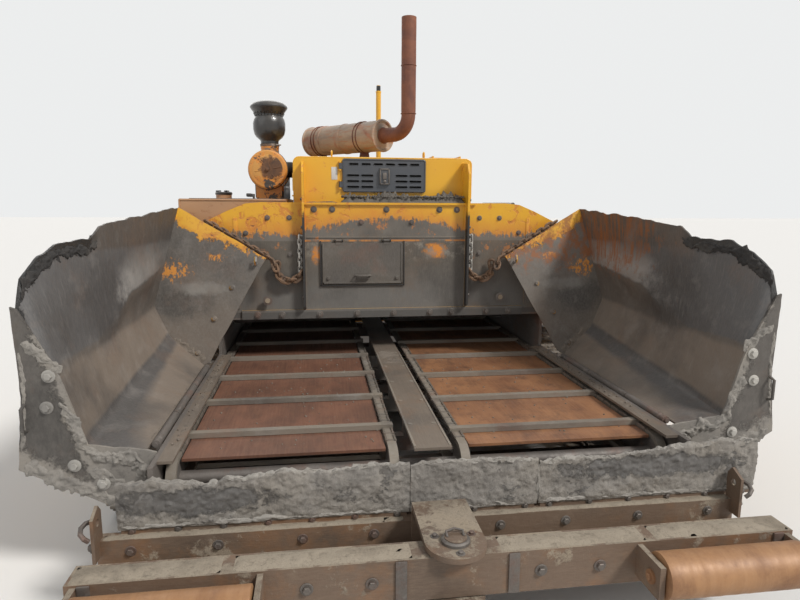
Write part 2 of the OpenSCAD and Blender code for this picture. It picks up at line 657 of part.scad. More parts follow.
// Push beam with its rollers
module push_beam() color(steel) {
    difference() {
        union() {
            box([-push_half, push_half], [push_y - 50, push_y + 60], push_z);
            both_sides() for (x = push_ears) box([x, x + 20], [roller_y - 50, push_y - 49], [roller_z - 60, roller_z + 60]);
        }
        bar_z(0, push_y, [push_z[0] - 1, push_z[1] + 1], push_pin_r + fit);
        both_sides() for (x = push_ears) bar_x([x - 1, x + 21], roller_y, roller_z, 25 + fit);
    }
}
push_ears = [660, 660 + 20 + roller_len + 12];
module push_roller() {
    bar_x([push_ears[0] + 26, push_ears[1] - 6], roller_y, roller_z, roller_r);
    bar_x([push_ears[0] - 8, push_ears[1] + 28], roller_y, roller_z, 25);
}
module push_roller_left() color(rust) mirror([1, 0, 0]) push_roller();
module push_roller_right() color(rust) push_roller();

// Exhaust
muf_z = 2090;
muf_near = [40, hood_y + 400, muf_z];
muf_far = [-480, hood_y + 1000, muf_z];
muf_dir = (muf_near - muf_far) / norm(muf_near - muf_far);
module muffler() color("#b08d6e") {
    bar(muf_far, muf_near, muffler_r);
    for (s = [0.22, 0.5]) bar(muf_far + s * (muf_near - muf_far), muf_far + (s + 0.02) * (muf_near - muf_far), muffler_r + 4);
    // Rolled rims at both ends
    for (s = [0, 1]) bar(muf_far + s * (muf_near - muf_far) - (s > 0 ? 14 : 0) * muf_dir,
        muf_far + s * (muf_near - muf_far) + (s > 0 ? 0 : 14) * muf_dir, muffler_r + 6);
    // Saddles on the hood
    for (s = [0.15, 0.75]) {
        p = muf_far + s * (muf_near - muf_far);
        translate([p[0], p[1], 0]) box([-50, 50], [-25, 25], [hood_top, muf_z - muffler_r + 20]);
    }
}
bend_r = 130;
slip = 4;
module exhaust_pipe() color(rust) {
    p = muf_near + muf_dir * 110;
    q = p + muf_dir * bend_r;
    // Outlet, bend and stack, with slip joints at both ends of the bend
    bar(muf_near, p + muf_dir * slip, pipe_r + 2);
    translate([p[0], p[1], muf_z + bend_r]) rotate([0, 0, atan2(muf_dir[1], muf_dir[0])])
        rotate([90, 0, 0]) rotate([0, 0, -90]) rotate_extrude(angle = 90) translate([bend_r, 0]) circle(pipe_r);
    difference() {
        bar_z(q[0], q[1], [muf_z + bend_r - slip, pipe_top], pipe_r + 2);
        bar_z(q[0], q[1], [pipe_top - 120, pipe_top + 1], pipe_r - 4);
    }
}

// Air intake on the left
air_x = -800;
air_y = hood_y + 590;
air_z = left_tank_top + 210;
drum_r = 138;
module air_cleaner() color("#d9962f") {
    bar_y(air_x, [air_y - 300, air_y + 150], air_z, drum_r - 3);
    // Rolled ends and the clamp bands over the cradle
    for (y = [air_y - 300, air_y + 60, air_y - 220]) bar_y(air_x, [y + 4, y + 36], air_z, drum_r);
    bar_z(air_x, air_y, [air_z + 100, air_z + 200], 68);
    bar_z(air_x, air_y, [air_z + 182, air_z + 194], 71);
    // Cradle on the tank
    for (y = [air_y - 220, air_y + 60]) box([air_x - 90, air_x + 90], [y, y + 40], [left_tank_top, air_z - 90]);
}
module air_precleaner() color(dark) translate([air_x, air_y, air_z + 200])
    rotate_extrude() polygon([[0, 0], [60, 0], [64, 24], [112, 70], [118, 150], [100, 200], [104, 215],
        [138, 262], [140, 276], [120, 300], [60, 316], [0, 320]]);
module air_hose() color(dark) difference() {
    bar_x([air_x + 100, -hood_half], air_y - 180, air_z, 60);
    bar_y(air_x, [air_y - 300, air_y + 150], air_z, drum_r + seat_gap);
}

// Operator deck with its legs and low rails
deck_y = [hood_y + hood_len + 10, rear_y];
rail_h = 460;
mast_h = 1630;
mast_x = 180;
module operator_deck() color(dark) {
    difference() {
        box([-deck_half, deck_half], deck_y, [deck_z - 12, deck_z]);
        for (x = [-150, 150], y = [-150, 150])
            bar_z(x, deck_y[0] + 560 + y, [deck_z - 13, deck_z + 1], 9);
    }
    both_sides() {
        for (y = [deck_y[0] + 60, deck_y[1] - 140]) box([frame_half - 100, frame_half - 20], [y, y + 80], [roof_z, deck_z - 12]);
        // Rail
        for (y = [deck_y[0] + 40, deck_y[1] - 40]) bar_z(deck_half - 40, y, [deck_z, deck_z + rail_h], 18);
        bar_y(deck_half - 40, [deck_y[0] + 22, deck_y[1] - 22], deck_z + rail_h, 18);
        bar_y(deck_half - 40, [deck_y[0] + 40, deck_y[1] - 40], deck_z + rail_h / 2, 14);
        // Step down to the screed, hung between two cheeks
        for (x = [500, 850]) box([x, x + 10], [rear_y - 1, rear_y + 190], [deck_z - 240, deck_z]);
        for (z = [deck_z - 240, deck_z - 120]) box([500, 860], [rear_y + 30, rear_y + 190], [z, z + 10]);
        // Post of the screed's lift cylinder
        difference() {
            along_x([deck_half - 4, deck_half + 16]) polygon([[lift_y - 60, deck_z - 12], [lift_y + 40, deck_z - 12],
                [lift_y + 30, lift_z + 30], [lift_y - 30, lift_z + 30]]);
            bar_x([deck_half - 5, deck_half + 17], lift_y, lift_z, 15 + fit);
        }
    }
}
module mast() color(paint) {
    y = deck_y[0] + 660;
    bar_z(mast_x, y, [deck_z, deck_z + mast_h - 70], 25);
    bar_z(mast_x, y, [deck_z, deck_z + 12], 70);
    bar_z(mast_x, y, [deck_z + mast_h - 70, deck_z + mast_h], 20);
}
// One station on each side: a console in front of a seat
station_x = deck_half - 550;
module consoles() color(dark) both_sides() {
    y = deck_y[0];
    z = deck_z;
    // Pedestal with its desk, which leans towards the seat
    along_x([station_x - 90, station_x + 90]) polygon([[y + 240, z], [y + 420, z], [y + 400, z + 520],
        [y + 260, z + 520]]);
    along_x([station_x - 120, station_x + 120]) polygon([[y + 240, z + 510], [y + 400, z + 510], [y + 470, z + 620],
        [y + 300, z + 770], [y + 200, z + 750]]);
    // Grab bar over the desk
    for (x = [station_x - 120, station_x + 104]) box([x, x + 16], [y + 205, y + 225], [z + 700, z + 800]);
    bar_x([station_x - 120, station_x + 120], y + 215, z + 800, 12);
}
module seats() color(dark) both_sides() {
    y = deck_y[0] + 640;
    z = deck_z;
    // Slide, bellows and pan
    box([station_x - 130, station_x + 130], [y - 10, y + 260], [z, z + 60]);
    box([station_x - 105, station_x + 105], [y + 15, y + 235], [z + 59, z + 271]);
    along_x([station_x - 210, station_x + 210]) polygon([[y - 45, z + 270], [y + 360, z + 270], [y + 360, z + 375],
        [y + 150, z + 365], [y, z + 390], [y - 55, z + 370], [y - 60, z + 310]]);
    // Back, leaning, with its narrower top
    along_x([station_x - 210, station_x + 210]) polygon([[y + 330, z + 340], [y + 400, z + 330], [y + 425, z + 620],
        [y + 360, z + 640]]);
    along_x([station_x - 170, station_x + 170]) polygon([[y + 359, z + 620], [y + 424, z + 600], [y + 450, z + 850],
        [y + 400, z + 850]]);
    // Armrests
    for (s = [-1, 1]) {
        box([station_x + s * 235 - 25, station_x + s * 235 + 25], [y + 60, y + 380], [z + 520, z + 560]);
        box([station_x + s * 212 - 12, station_x + s * 212 + 12], [y + 350, y + 390], [z + 360, z + 560]);
    }
}

// Augers behind the conveyors
auger_y = rear_y + 310;
auger_z = 420;
auger_x = [120, 1400];
module auger() {
    bar_x([20, auger_x[1] + 24], auger_y, auger_z, 38);
    translate([auger_x[0] + 10, auger_y, auger_z]) rotate([0, 90, 0])
        linear_extrude(auger_x[1] - auger_x[0] - 20, twist = -360 * (auger_x[1] - auger_x[0] - 20) / auger_pitch,
            slices = 60, segments = 6)
            polygon([for (a = [-11, 0, 11]) 30 * [cos(a), sin(a)], for (a = [11, 0, -11]) auger_r * [cos(a), sin(a)]]);
}
module auger_left() color(steel) mirror([1, 0, 0]) auger();
module auger_right() color(steel) auger();
module auger_frame() color(paint) {
    // Beam across, with the drive case in the middle and hangers at the ends
    box([-1440, 1440], [rear_y, rear_y + 90], [roof_z - 90, roof_z - 10]);
    box([-100, 100], [rear_y + 89, auger_y + 90], [roof_z - 90, roof_z - 10]);
    difference() {
        box([-100, 100], [auger_y - 90, auger_y + 90], [auger_z - 90, roof_z - 90]);
        bar_x([-101, 101], auger_y, auger_z, 38 + fit);
    }
    both_sides() {
        box([1432, 1440], [rear_y + 89, auger_y + 60], [roof_z - 90, roof_z - 10]);
        difference() {
            box([1406, 1440], [auger_y - 60, auger_y + 60], [auger_z - 60, roof_z - 10]);
            bar_x([1405, 1441], auger_y, auger_z, 38 + fit);
        }
    }
}

// Screed
scr_y = auger_y + auger_r + 70;
scr_back = scr_y + screed_d;
scr_half = screed_w / 2;
scr_top = screed_z + 400;
module screed_frame() color(paint) {
    along_x([-scr_half, scr_half]) polygon([[scr_y, screed_z + 90], [scr_y + 60, screed_z + 20],
        [scr_back, screed_z + 20], [scr_back, scr_top - 60], [scr_back - 80, scr_top], [scr_y + 120, scr_top],
        [scr_y, scr_top - 120]]);
    // Towers for the tow arms
    both_sides() along_x([scr_half - 60, scr_half]) polygon([[scr_y + 140, scr_top - 1], [scr_y + 420, scr_top - 1],
        [scr_y + 380, scr_top + 300], [scr_y + 200, scr_top + 300]]);
    // Guide blocks of the extension tubes
    for (x = guide_x) difference() {
        box([x - 40, x + 40], [scr_back - 1, scr_back + 90], [tube_z[0] - 50, tube_z[1] + 50]);
        for (z = tube_z) bar_x([x - 41, x + 41], tube_y, z, tube_r + fit);
    }
}
tube_r = 35;
tube_hold = 145;
tube_y = scr_back + 45;
tube_z = [screed_z + 110, screed_z + 240];
guide_x = [-1450, 0, 1450];
module screed_plate() color(steel) both_sides() {
    box([4, scr_half], [scr_y + 62, scr_back], [screed_z, screed_z + 20]);
}
module tow_arms() color(paint) both_sides() {
    difference() {
        along_x(arm_x) polygon([[tow_y - 70, tow_z - 60], [tow_y + 60, tow_z - 80], [rear_y + 80, tow_z + 60],
            [scr_y + 200, tow_z + 60], [scr_y + 400, tow_z + 20], [scr_y + 400, tow_z + 200], [scr_y + 160, tow_z + 250],
            [rear_y, tow_z + 250], [tow_y + 60, tow_z + 80], [tow_y - 70, tow_z + 60]]);
        bar_x([arm_x[0] - 1, arm_x[1] + 1], tow_y, tow_z, tow_pin_r + fit);
    }
    box([scr_half, arm_x[0] + 1], [scr_y + 220, scr_y + 360], [tow_z + 60, tow_z + 180]);
    // Fork of the lift cylinder's rod
    for (x = [le_x - 38, le_x + 26]) box([x, x + 12], [le_y - 40, le_y + 40], [le_z - 60, le_z + 30]);
    box([le_x - 38, arm_x[0] + 1], [le_y - 40, le_y + 40], [le_z - 75, le_z - 59]);
    bar_x([le_x - 38, le_x + 38], le_y, le_z, 14);
}
// Lift cylinders
lift_x = deck_half + 60;
lift_y = rear_y - 40;
lift_z = 1480;
le_x = lift_x;
le_y = rear_y + 180;
le_z = tow_z + 270;
lc_len = norm([le_y - lift_y, le_z - lift_z]);
lc_tilt = atan2(le_y - lift_y, lift_z - le_z);
module lift_barrel() translate([lift_x, lift_y, lift_z]) rotate([180 + lc_tilt, 0, 0]) {
    difference() {
        union() {
            translate([0, 0, 34]) cylinder(r = 38, h = 400);
            rotate([0, 90, 0]) cylinder(r = 30, h = 30, center = true);
            translate([-15, -22, 0]) cube([30, 44, 50]);
        }
        translate([0, 0, 60]) cylinder(r = 20 + fit, h = 600);
    }
    translate([-66, 0, 0]) rotate([0, 90, 0]) cylinder(r = 15, h = 60);
}
module lift_rod() translate([lift_x, lift_y, lift_z]) rotate([180 + lc_tilt, 0, 0]) {
    translate([0, 0, 312]) cylinder(r = 20, h = lc_len - 312 - 18);
    translate([0, 0, lc_len]) rotate([0, 90, 0]) difference() {
        cylinder(r = 30, h = 30, center = true);
        cylinder(r = 15.5, h = 32, center = true);
    }
}
module lift_barrel_left() color(dark) mirror([1, 0, 0]) lift_barrel();
module lift_barrel_right() color(dark) lift_barrel();
module lift_rod_left() color("silver") mirror([1, 0, 0]) lift_rod();
module lift_rod_right() color("silver") lift_rod();

// Sliding extensions behind the main screed
ext_y = [scr_back + 110, scr_back + 335];
module extension(tube) {
    box([30, scr_half - 10], ext_y, [screed_z, screed_z + 300]);
    // Step on top
    box([30, scr_half - 10], [scr_back + 100, ext_y[1]], [screed_z + 299, screed_z + 315]);
    // End gate
    box([scr_half - 11, scr_half + 5], [scr_back + 10, ext_y[1]], [screed_z, screed_z + 400]);
    // Tube, long enough to stay in the far guide at full travel, and the plate it is seated in
    bar_x([-(ext_travel + tube_hold), scr_half - 11 - seat_gap], tube_y, tube, tube_r);
    difference() {
        box([50, 70], [scr_back + 5, ext_y[0] - seat_gap], [tube - 48, tube + 48]);
        bar_x([49, 71], tube_y, tube, tube_r + seat_gap);
    }
}
module extension_left() color(paint) mirror([1, 0, 0]) extension(tube_z[0]);
module extension_right() color(paint) extension(tube_z[1]);

main_frame();
nose_beam();
hopper_floor();
conveyor_left();
conveyor_right();
apron_flaps();
bulkhead();
hood();
engine_block();
tank_left();
tank_right();
fenders();
track_left();
track_right();
track_frames();
track_rollers();
muffler();
exhaust_pipe();
air_cleaner();
air_precleaner();
air_hose();
operator_deck();
mast();
consoles();
seats();
auger_frame();
wing_left();
wing_right();
wing_barrel_left();
wing_barrel_right();
wing_rod_left();
wing_rod_right();
push_beam();
push_roller_left();
push_roller_right();
access_door();
grille_door();
hood_door_left();
hood_door_right();
auger_left();
auger_right();
screed_frame();
screed_plate();
tow_arms();
extension_left();
extension_right();
lift_barrel_left();
lift_barrel_right();
lift_rod_left();
lift_rod_right();
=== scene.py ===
"""Looks of a crawler asphalt paver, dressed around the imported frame."""

import math
import random

import bmesh
import bpy
from mathutils import Matrix, Vector, noise


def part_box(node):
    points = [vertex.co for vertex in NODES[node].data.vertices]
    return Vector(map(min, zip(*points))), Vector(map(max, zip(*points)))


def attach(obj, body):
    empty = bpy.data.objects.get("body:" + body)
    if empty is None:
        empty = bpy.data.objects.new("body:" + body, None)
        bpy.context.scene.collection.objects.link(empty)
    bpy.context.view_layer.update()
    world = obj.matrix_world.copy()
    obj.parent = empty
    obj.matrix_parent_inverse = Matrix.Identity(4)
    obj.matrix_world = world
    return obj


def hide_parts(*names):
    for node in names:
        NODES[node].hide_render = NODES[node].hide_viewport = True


bl_info = {
    "name": "Asphalt paver looks",
    "version": (1, 0, 0),
    "blender": (4, 5, 0),
    "location": "View3D > Sidebar > Paver",
    "description": "Finishes, wear and small parts of a crawler asphalt paver",
    "category": "Object",
}

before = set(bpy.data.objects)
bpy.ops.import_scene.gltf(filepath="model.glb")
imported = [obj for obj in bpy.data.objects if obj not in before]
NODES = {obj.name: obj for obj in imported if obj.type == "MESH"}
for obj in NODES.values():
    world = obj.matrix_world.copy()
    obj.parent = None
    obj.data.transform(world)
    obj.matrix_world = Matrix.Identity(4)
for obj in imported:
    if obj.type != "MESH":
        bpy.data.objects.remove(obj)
LEFT, RIGHT = -1, 1
SIDES = {"left": LEFT, "right": RIGHT}
X_WAY, Y_WAY, Z_WAY = Vector((1, 0, 0)), Vector((0, 1, 0)), Vector((0, 0, 1))
FRONT_WAY = Vector((0, -1, 0))


def low(node):
    """A node's lowest corner at rest."""
    return Vector(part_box(node)[0])


def high(node):
    """A node's highest corner at rest."""
    return Vector(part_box(node)[1])


# Places of the machine that many pieces share, in metres
FACE_Y = -0.880
HOPPER_Y = -2.450
ROOF_Z = 0.840
GUARD_TOP = 0.597
SHEET_T = 0.010
HINGE = Vector((1.144, 0, 0.600))
HINGE_LUGS = (-2.390, -2.030, -1.590, -1.230)
WING_BACK_Y = -1.160
BACK_LEAN = 0.197
LEDGE_Z = 1.600
HOOD_Y = -0.750
HOOD_TOP = 1.900
HOOD_HALF = 0.610
RIB_X = 0.548


class PaverColours(bpy.types.PropertyGroup):
    """Base colours of the finishes, as linear values."""

    def colour(label, text, value):
        return bpy.props.FloatVectorProperty(
            name=label, description=text, default=value, size=4, subtype="COLOR", min=0, max=1)

    paint: colour("Paint", "Lemon amber enamel", (0.80, 0.43, 0.022, 1))
    worn_paint: colour("Worn paint", "Enamel rubbed down to its orange coat", (0.66, 0.25, 0.035, 1))
    old_paint: colour("Old paint", "Faded tan enamel of the left tank", (0.43, 0.235, 0.115, 1))
    steel: colour("Scuffed steel", "Steel that asphalt slides over", (0.155, 0.135, 0.12, 1))
    pale_steel: colour("Pale scuffs", "Dry residue rubbed into the steel", (0.30, 0.285, 0.265, 1))
    dark_steel: colour("Dark steel", "Greasy steel in the folds", (0.055, 0.05, 0.048, 1))
    rust: colour("Rust", "Red brown rust of the floor", (0.21, 0.085, 0.048, 1))
    slate: colour("Slate enamel", "Grey enamel of the grille", (0.056, 0.064, 0.078, 1))
    black: colour("Black", "Black plastic and vinyl", (0.012, 0.012, 0.013, 1))
    dust: colour("Dust", "Pale road dust", (0.36, 0.31, 0.25, 1))


class PaverSizes(bpy.types.PropertyGroup):
    """Sizes of the small parts."""

    def length(label, text, value):
        return bpy.props.FloatProperty(name=label, description=text, default=value, min=0.0005, unit="LENGTH")

    bolt: length("Bolt", "Half width of a bolt head", 0.013)
    crust: length("Crust", "Height of dried asphalt on a flap", 0.014)
    hose: length("Hose", "Radius of a hydraulic hose", 0.011)
    tread: length("Tread", "Height of the deck's tread pattern", 0.003)
    sun: bpy.props.FloatProperty(name="Key light", description="Strength of the key light",
                                 default=2.75, min=0)


def colours():
    return bpy.context.scene.paver_colours


def sizes():
    return bpy.context.scene.paver_sizes


class Tree:
    """Short calls for building a shader node tree."""

    def __init__(self, tree):
        self.tree = tree

    def put(self, socket, value):
        if isinstance(value, bpy.types.NodeSocket):
            self.tree.links.new(value, socket)
        elif isinstance(value, (int, float)) or len(value) == len(socket.default_value):
            socket.default_value = value
        else:
            socket.default_value = tuple(value)[: len(socket.default_value)]

    def new(self, kind, inputs=None, **settings):
        node = self.tree.nodes.new(kind)
        for key, value in settings.items():
            setattr(node, key, value)
        for key, value in (inputs or {}).items():
            self.put(node.inputs[key], value)
        return node

    def math(self, operation, a, b=0.0):
        return self.new("ShaderNodeMath", {0: a, 1: b}, operation=operation).outputs[0]

    def add(self, a, b):
        return self.math("ADD", a, b)

    def times(self, a, b):
        return self.math("MULTIPLY", a, b)

    def less(self, a, b):
        return self.math("SUBTRACT", a, b)

    def span(self, value, start, end, first=0.0, last=1.0):
        """Maps start..end to first..last, held at both ends."""
        inputs = {0: value, 1: start, 2: end, 3: first, 4: last}
        return self.new("ShaderNodeMapRange", inputs, clamp=True).outputs[0]

    def mix(self, factor, a, b):
        node = self.new("ShaderNodeMix", data_type="RGBA")
        self.put(node.inputs[0], factor)
        self.put(node.inputs[6], a)
        self.put(node.inputs[7], b)
        return node.outputs[2]

    def noise(self, vector, scale, detail=5.0, rough=0.6, warp=0.0):
        inputs = {"Vector": vector, "Scale": scale, "Detail": detail, "Roughness": rough, "Distortion": warp}
        return self.new("ShaderNodeTexNoise", inputs).outputs[0]

    def stretched(self, vector, factors):
        return self.new("ShaderNodeVectorMath", {0: vector, 1: factors}, operation="MULTIPLY").outputs[0]

    def scaled(self, vector, scale):
        return self.new("ShaderNodeVectorMath", {0: vector, "Scale": scale}, operation="SCALE").outputs[0]

    def split(self, vector):
        return self.new("ShaderNodeSeparateXYZ", {0: vector}).outputs

    def place(self):
        return self.new("ShaderNodeTexCoord").outputs["Object"]

    def facing(self):
        """The surface's way in the piece's own space, so that it doesn't change when the piece moves."""
        return self.split(self.new("ShaderNodeTexCoord").outputs["Normal"])


def group(name, inputs, outputs):
    """A shader node group with named sockets, and its tree, input and output nodes."""
    tree = bpy.data.node_groups.new(name, "ShaderNodeTree")
    kinds = {"value": "NodeSocketFloat", "colour": "NodeSocketColor", "vector": "NodeSocketVector"}
    for label, kind, value in inputs:
        socket = tree.interface.new_socket(name=label, in_out="INPUT", socket_type=kinds[kind])
        if value is not None:
            socket.default_value = value
    for label, kind in outputs:
        tree.interface.new_socket(name=label, in_out="OUTPUT", socket_type=kinds[kind])
    t = Tree(tree)
    return t, t.new("NodeGroupInput").outputs, t.new("NodeGroupOutput").inputs


def scuffed_steel_group():
    """Bare sheet that asphalt slides over: fine scuffs along its run, dry patches and dark grease."""
    t, given, out = group(
        "scuffed steel",
        [("Vector", "vector", None), ("Run", "vector", (6, 1, 6)), ("Steel", "colour", (0.15, 0.13, 0.12, 1)),
         ("Pale", "colour", (0.3, 0.28, 0.26, 1)), ("Dark", "colour", (0.05, 0.05, 0.05, 1)),
         ("Rust", "colour", (0.2, 0.1, 0.05, 1)), ("Pale amount", "value", 0.5),
         ("Rust amount", "value", 0.3)],
        [("Color", "colour"), ("Roughness", "value"), ("Height", "value")])
    along = t.stretched(given["Vector"], given["Run"])
    broad = t.noise(given["Vector"], 1.9, 5, 0.58)
    patch = t.noise(given["Vector"], 6.0, 9, 0.66)
    scuff = t.noise(along, 9.0, 7, 0.72)
    fine = t.noise(along, 34.0, 4, 0.7)
    grit = t.noise(given["Vector"], 110.0, 3, 0.7)
    colour = t.mix(t.span(broad, 0.34, 0.52, 0.62, 0.0), given["Steel"], given["Dark"])
    pale = t.add(t.span(patch, 0.54, 0.72, 0.0, 0.45), t.span(scuff, 0.55, 0.74, 0.0, 0.42))
    colour = t.mix(t.times(pale, given["Pale amount"]), colour, given["Pale"])
    brown = t.times(t.span(t.noise(given["Vector"], 3.2, 8, 0.7), 0.52, 0.66), given["Rust amount"])
    colour = t.mix(brown, colour, given["Rust"])
    colour = t.mix(t.span(fine, 0.35, 0.65, 0.0, 0.16), colour, given["Pale"])
    colour = t.mix(t.span(grit, 0.60, 0.78, 0.0, 0.35), colour, given["Dark"])
    t.put(out["Color"], colour)
    t.put(out["Roughness"], t.span(t.add(scuff, patch), 0.8, 1.3, 0.48, 0.78))
    t.put(out["Height"], t.add(t.times(patch, 0.55), t.add(t.times(scuff, 0.22), t.times(grit, 0.12))))
    return t.tree


def chipped_paint_group():
    """Enamel with fading, chips down to a lower coat and dust lying on it."""
    t, given, out = group(
        "chipped paint",
        [("Vector", "vector", None), ("Paint", "colour", (0.8, 0.43, 0.02, 1)),
         ("Under", "colour", (0.6, 0.24, 0.03, 1)), ("Bare", "colour", (0.1, 0.08, 0.07, 1)),
         ("Dust", "colour", (0.36, 0.31, 0.25, 1)), ("Wear", "value", 0.3), ("Dust amount", "value", 0.3)],
        [("Color", "colour"), ("Roughness", "value"), ("Height", "value")])
    fade = t.noise(given["Vector"], 2.3, 4, 0.55, 0.4)
    chips = t.noise(given["Vector"], 13.0, 10, 0.72, 0.7)
    scratch = t.noise(t.stretched(given["Vector"], (9, 9, 1.4)), 8.0, 6, 0.7, 0.4)
    gate = t.less(0.80, t.times(given["Wear"], 0.42))
    under = t.span(t.add(chips, t.times(t.less(fade, 0.5), 0.4)), t.less(gate, 0.09), t.less(gate, 0.05))
    bare = t.span(t.add(chips, t.times(t.less(fade, 0.5), 0.3)), gate, t.add(gate, 0.02))
    colour = t.mix(t.span(fade, 0.35, 0.7, 0, 0.28), given["Paint"], given["Under"])
    colour = t.mix(under, colour, given["Under"])
    line = t.times(t.span(scratch, 0.68, 0.74), t.math("MINIMUM", given["Wear"], 1.0))
    colour = t.mix(line, colour, given["Bare"])
    colour = t.mix(bare, colour, given["Bare"])
    up = t.facing()[2]
    lying = t.add(t.span(up, 0.5, 1.0, 0.0, 0.75), 0.18)
    dusty = t.times(t.times(lying, given["Dust amount"]), t.span(fade, 0.3, 0.7, 0.5, 1.3))
    colour = t.mix(dusty, colour, given["Dust"])
    t.put(out["Color"], colour)
    rough = t.add(t.span(fade, 0.3, 0.7, 0.30, 0.42), t.times(t.math("MAXIMUM", bare, dusty), 0.35))
    t.put(out["Roughness"], rough)
    t.put(out["Height"], t.less(t.times(fade, 0.05), t.add(t.times(under, 0.25), t.times(bare, 0.35))))
    return t.tree


def asphalt_crust_group():
    """Dried asphalt: pale binder dust over dark stones, in clumps."""
    t, given, out = group(
        "asphalt crust",
        [("Vector", "vector", None), ("Crust", "colour", (0.27, 0.26, 0.245, 1)),
         ("Stone", "colour", (0.09, 0.085, 0.08, 1)), ("Tan", "colour", (0.34, 0.27, 0.19, 1)),
         ("Scale", "value", 1.0)],
        [("Color", "colour"), ("Roughness", "value"), ("Height", "value")])
    at = t.scaled(given["Vector"], given["Scale"])
    clump = t.noise(at, 19.0, 10, 0.74, 0.15)
    broad = t.noise(at, 3.1, 6, 0.62)
    stones = t.noise(at, 90.0, 3, 0.7)
    dark = t.add(t.span(clump, 0.33, 0.48, 0.55, 0.0), t.span(stones, 0.32, 0.45, 0.30, 0.0))
    colour = t.mix(t.span(broad, 0.45, 0.75, 0.0, 0.5), given["Crust"], given["Tan"])
    colour = t.mix(t.span(broad, 0.28, 0.5, 0.55, 0.0), colour, given["Stone"])
    colour = t.mix(t.math("MINIMUM", dark, 1.0), colour, given["Stone"])
    t.put(out["Color"], colour)
    t.put(out["Roughness"], t.span(clump, 0.3, 0.7, 0.8, 0.95))
    t.put(out["Height"], t.add(t.times(clump, 1.0), t.times(stones, 0.22)))
    return t.tree


def rust_group():
    """Rust from dark brown to orange, with pits."""
    t, given, out = group(
        "rust",
        [("Vector", "vector", None), ("Dark", "colour", (0.12, 0.05, 0.03, 1)),
         ("Light", "colour", (0.42, 0.18, 0.06, 1)), ("Scale", "value", 1.0)],
        [("Color", "colour"), ("Roughness", "value"), ("Height", "value")])
    at = t.scaled(given["Vector"], given["Scale"])
    bloom = t.noise(at, 5.0, 8, 0.66, 0.8)
    pits = t.noise(at, 60.0, 4, 0.7)
    colour = t.mix(t.span(bloom, 0.36, 0.66), given["Dark"], given["Light"])
    colour = t.mix(t.span(pits, 0.55, 0.75, 0.0, 0.6), colour, given["Dark"])
    t.put(out["Color"], colour)
    t.put(out["Roughness"], t.span(bloom, 0.3, 0.7, 0.62, 0.88))
    t.put(out["Height"], t.add(bloom, t.times(pits, 0.5)))
    return t.tree


GROUPS = {}
MATERIALS = {}


class Finish(Tree):
    """One material: a Principled shader whose sockets the maker fills."""

    def __init__(self, name, metallic=0.0, **plain):
        self.material = bpy.data.materials.new(name)
        self.material.use_nodes = True
        super().__init__(self.material.node_tree)
        self.tree.nodes.clear()
        self.shader = self.new("ShaderNodeBsdfPrincipled")
        output = self.new("ShaderNodeOutputMaterial")
        self.tree.links.new(self.shader.outputs[0], output.inputs[0])
        self.shader.inputs["Metallic"].default_value = metallic
        for label, value in plain.items():
            self.shader.inputs[label.replace("_", " ")].default_value = value
        self.at = self.place()
        MATERIALS[name] = self.material

    def use(self, label, **values):
        """A shared group with its own values; underscores stand for spaces in the sockets' names."""
        node = self.new("ShaderNodeGroup", node_tree=GROUPS[label])
        self.put(node.inputs["Vector"], self.at)
        for key, value in values.items():
            self.put(node.inputs[key.replace("_", " ")], value)
        return node.outputs

    def close(self, colour, rough, height=None, depth=0.004):
        self.put(self.shader.inputs["Base Color"], colour)
        self.put(self.shader.inputs["Roughness"], rough)
        if height is not None:
            bump = self.new("ShaderNodeBump", {"Height": height, "Strength": 1.0, "Distance": depth})
            self.put(self.shader.inputs["Normal"], bump.outputs[0])
        return self.material


def paint_values(wear=0.3, dust=0.3, paint=None, under=None):
    c = colours()
    return {"Paint": paint or c.paint, "Under": under or c.worn_paint, "Bare": c.dark_steel, "Dust": c.dust,
            "Wear": wear, "Dust_amount": dust}


def blend_finish(f, mask, a, b):
    """Colour, roughness and height of finish a where mask is 0 and b where it is 1."""
    colour = f.mix(mask, a["Color"], b["Color"])
    rough = f.add(f.times(a["Roughness"], f.less(1.0, mask)), f.times(b["Roughness"], mask))
    height = f.add(f.times(a["Height"], f.less(1.0, mask)), f.times(b["Height"], mask))
    return colour, rough, height


def make_paint(name, wear, dust, paint=None, under=None):
    """Enamel in the shared yellow, or with a paint and an under coat of its own."""
    f = Finish(name, Coat_Weight=0.15, Coat_Roughness=0.3)
    p = f.use("chipped paint", **paint_values(wear, dust, paint, under))
    return f.close(p["Color"], p["Roughness"], p["Height"], 0.002)


def spot_mask(f, across, up, place, reach, ragged, soft=0.35):
    """1 inside a ragged oval at a place (across, up), 0 outside."""
    a = f.math("DIVIDE", f.less(across, place[0]), reach[0])
    b = f.math("DIVIDE", f.less(up, place[1]), reach[1])
    far = f.math("SQRT", f.add(f.times(a, a), f.times(b, b)))
    return f.span(f.add(far, ragged), 1.0 - soft, 1.0 + soft, 1.0, 0.0)


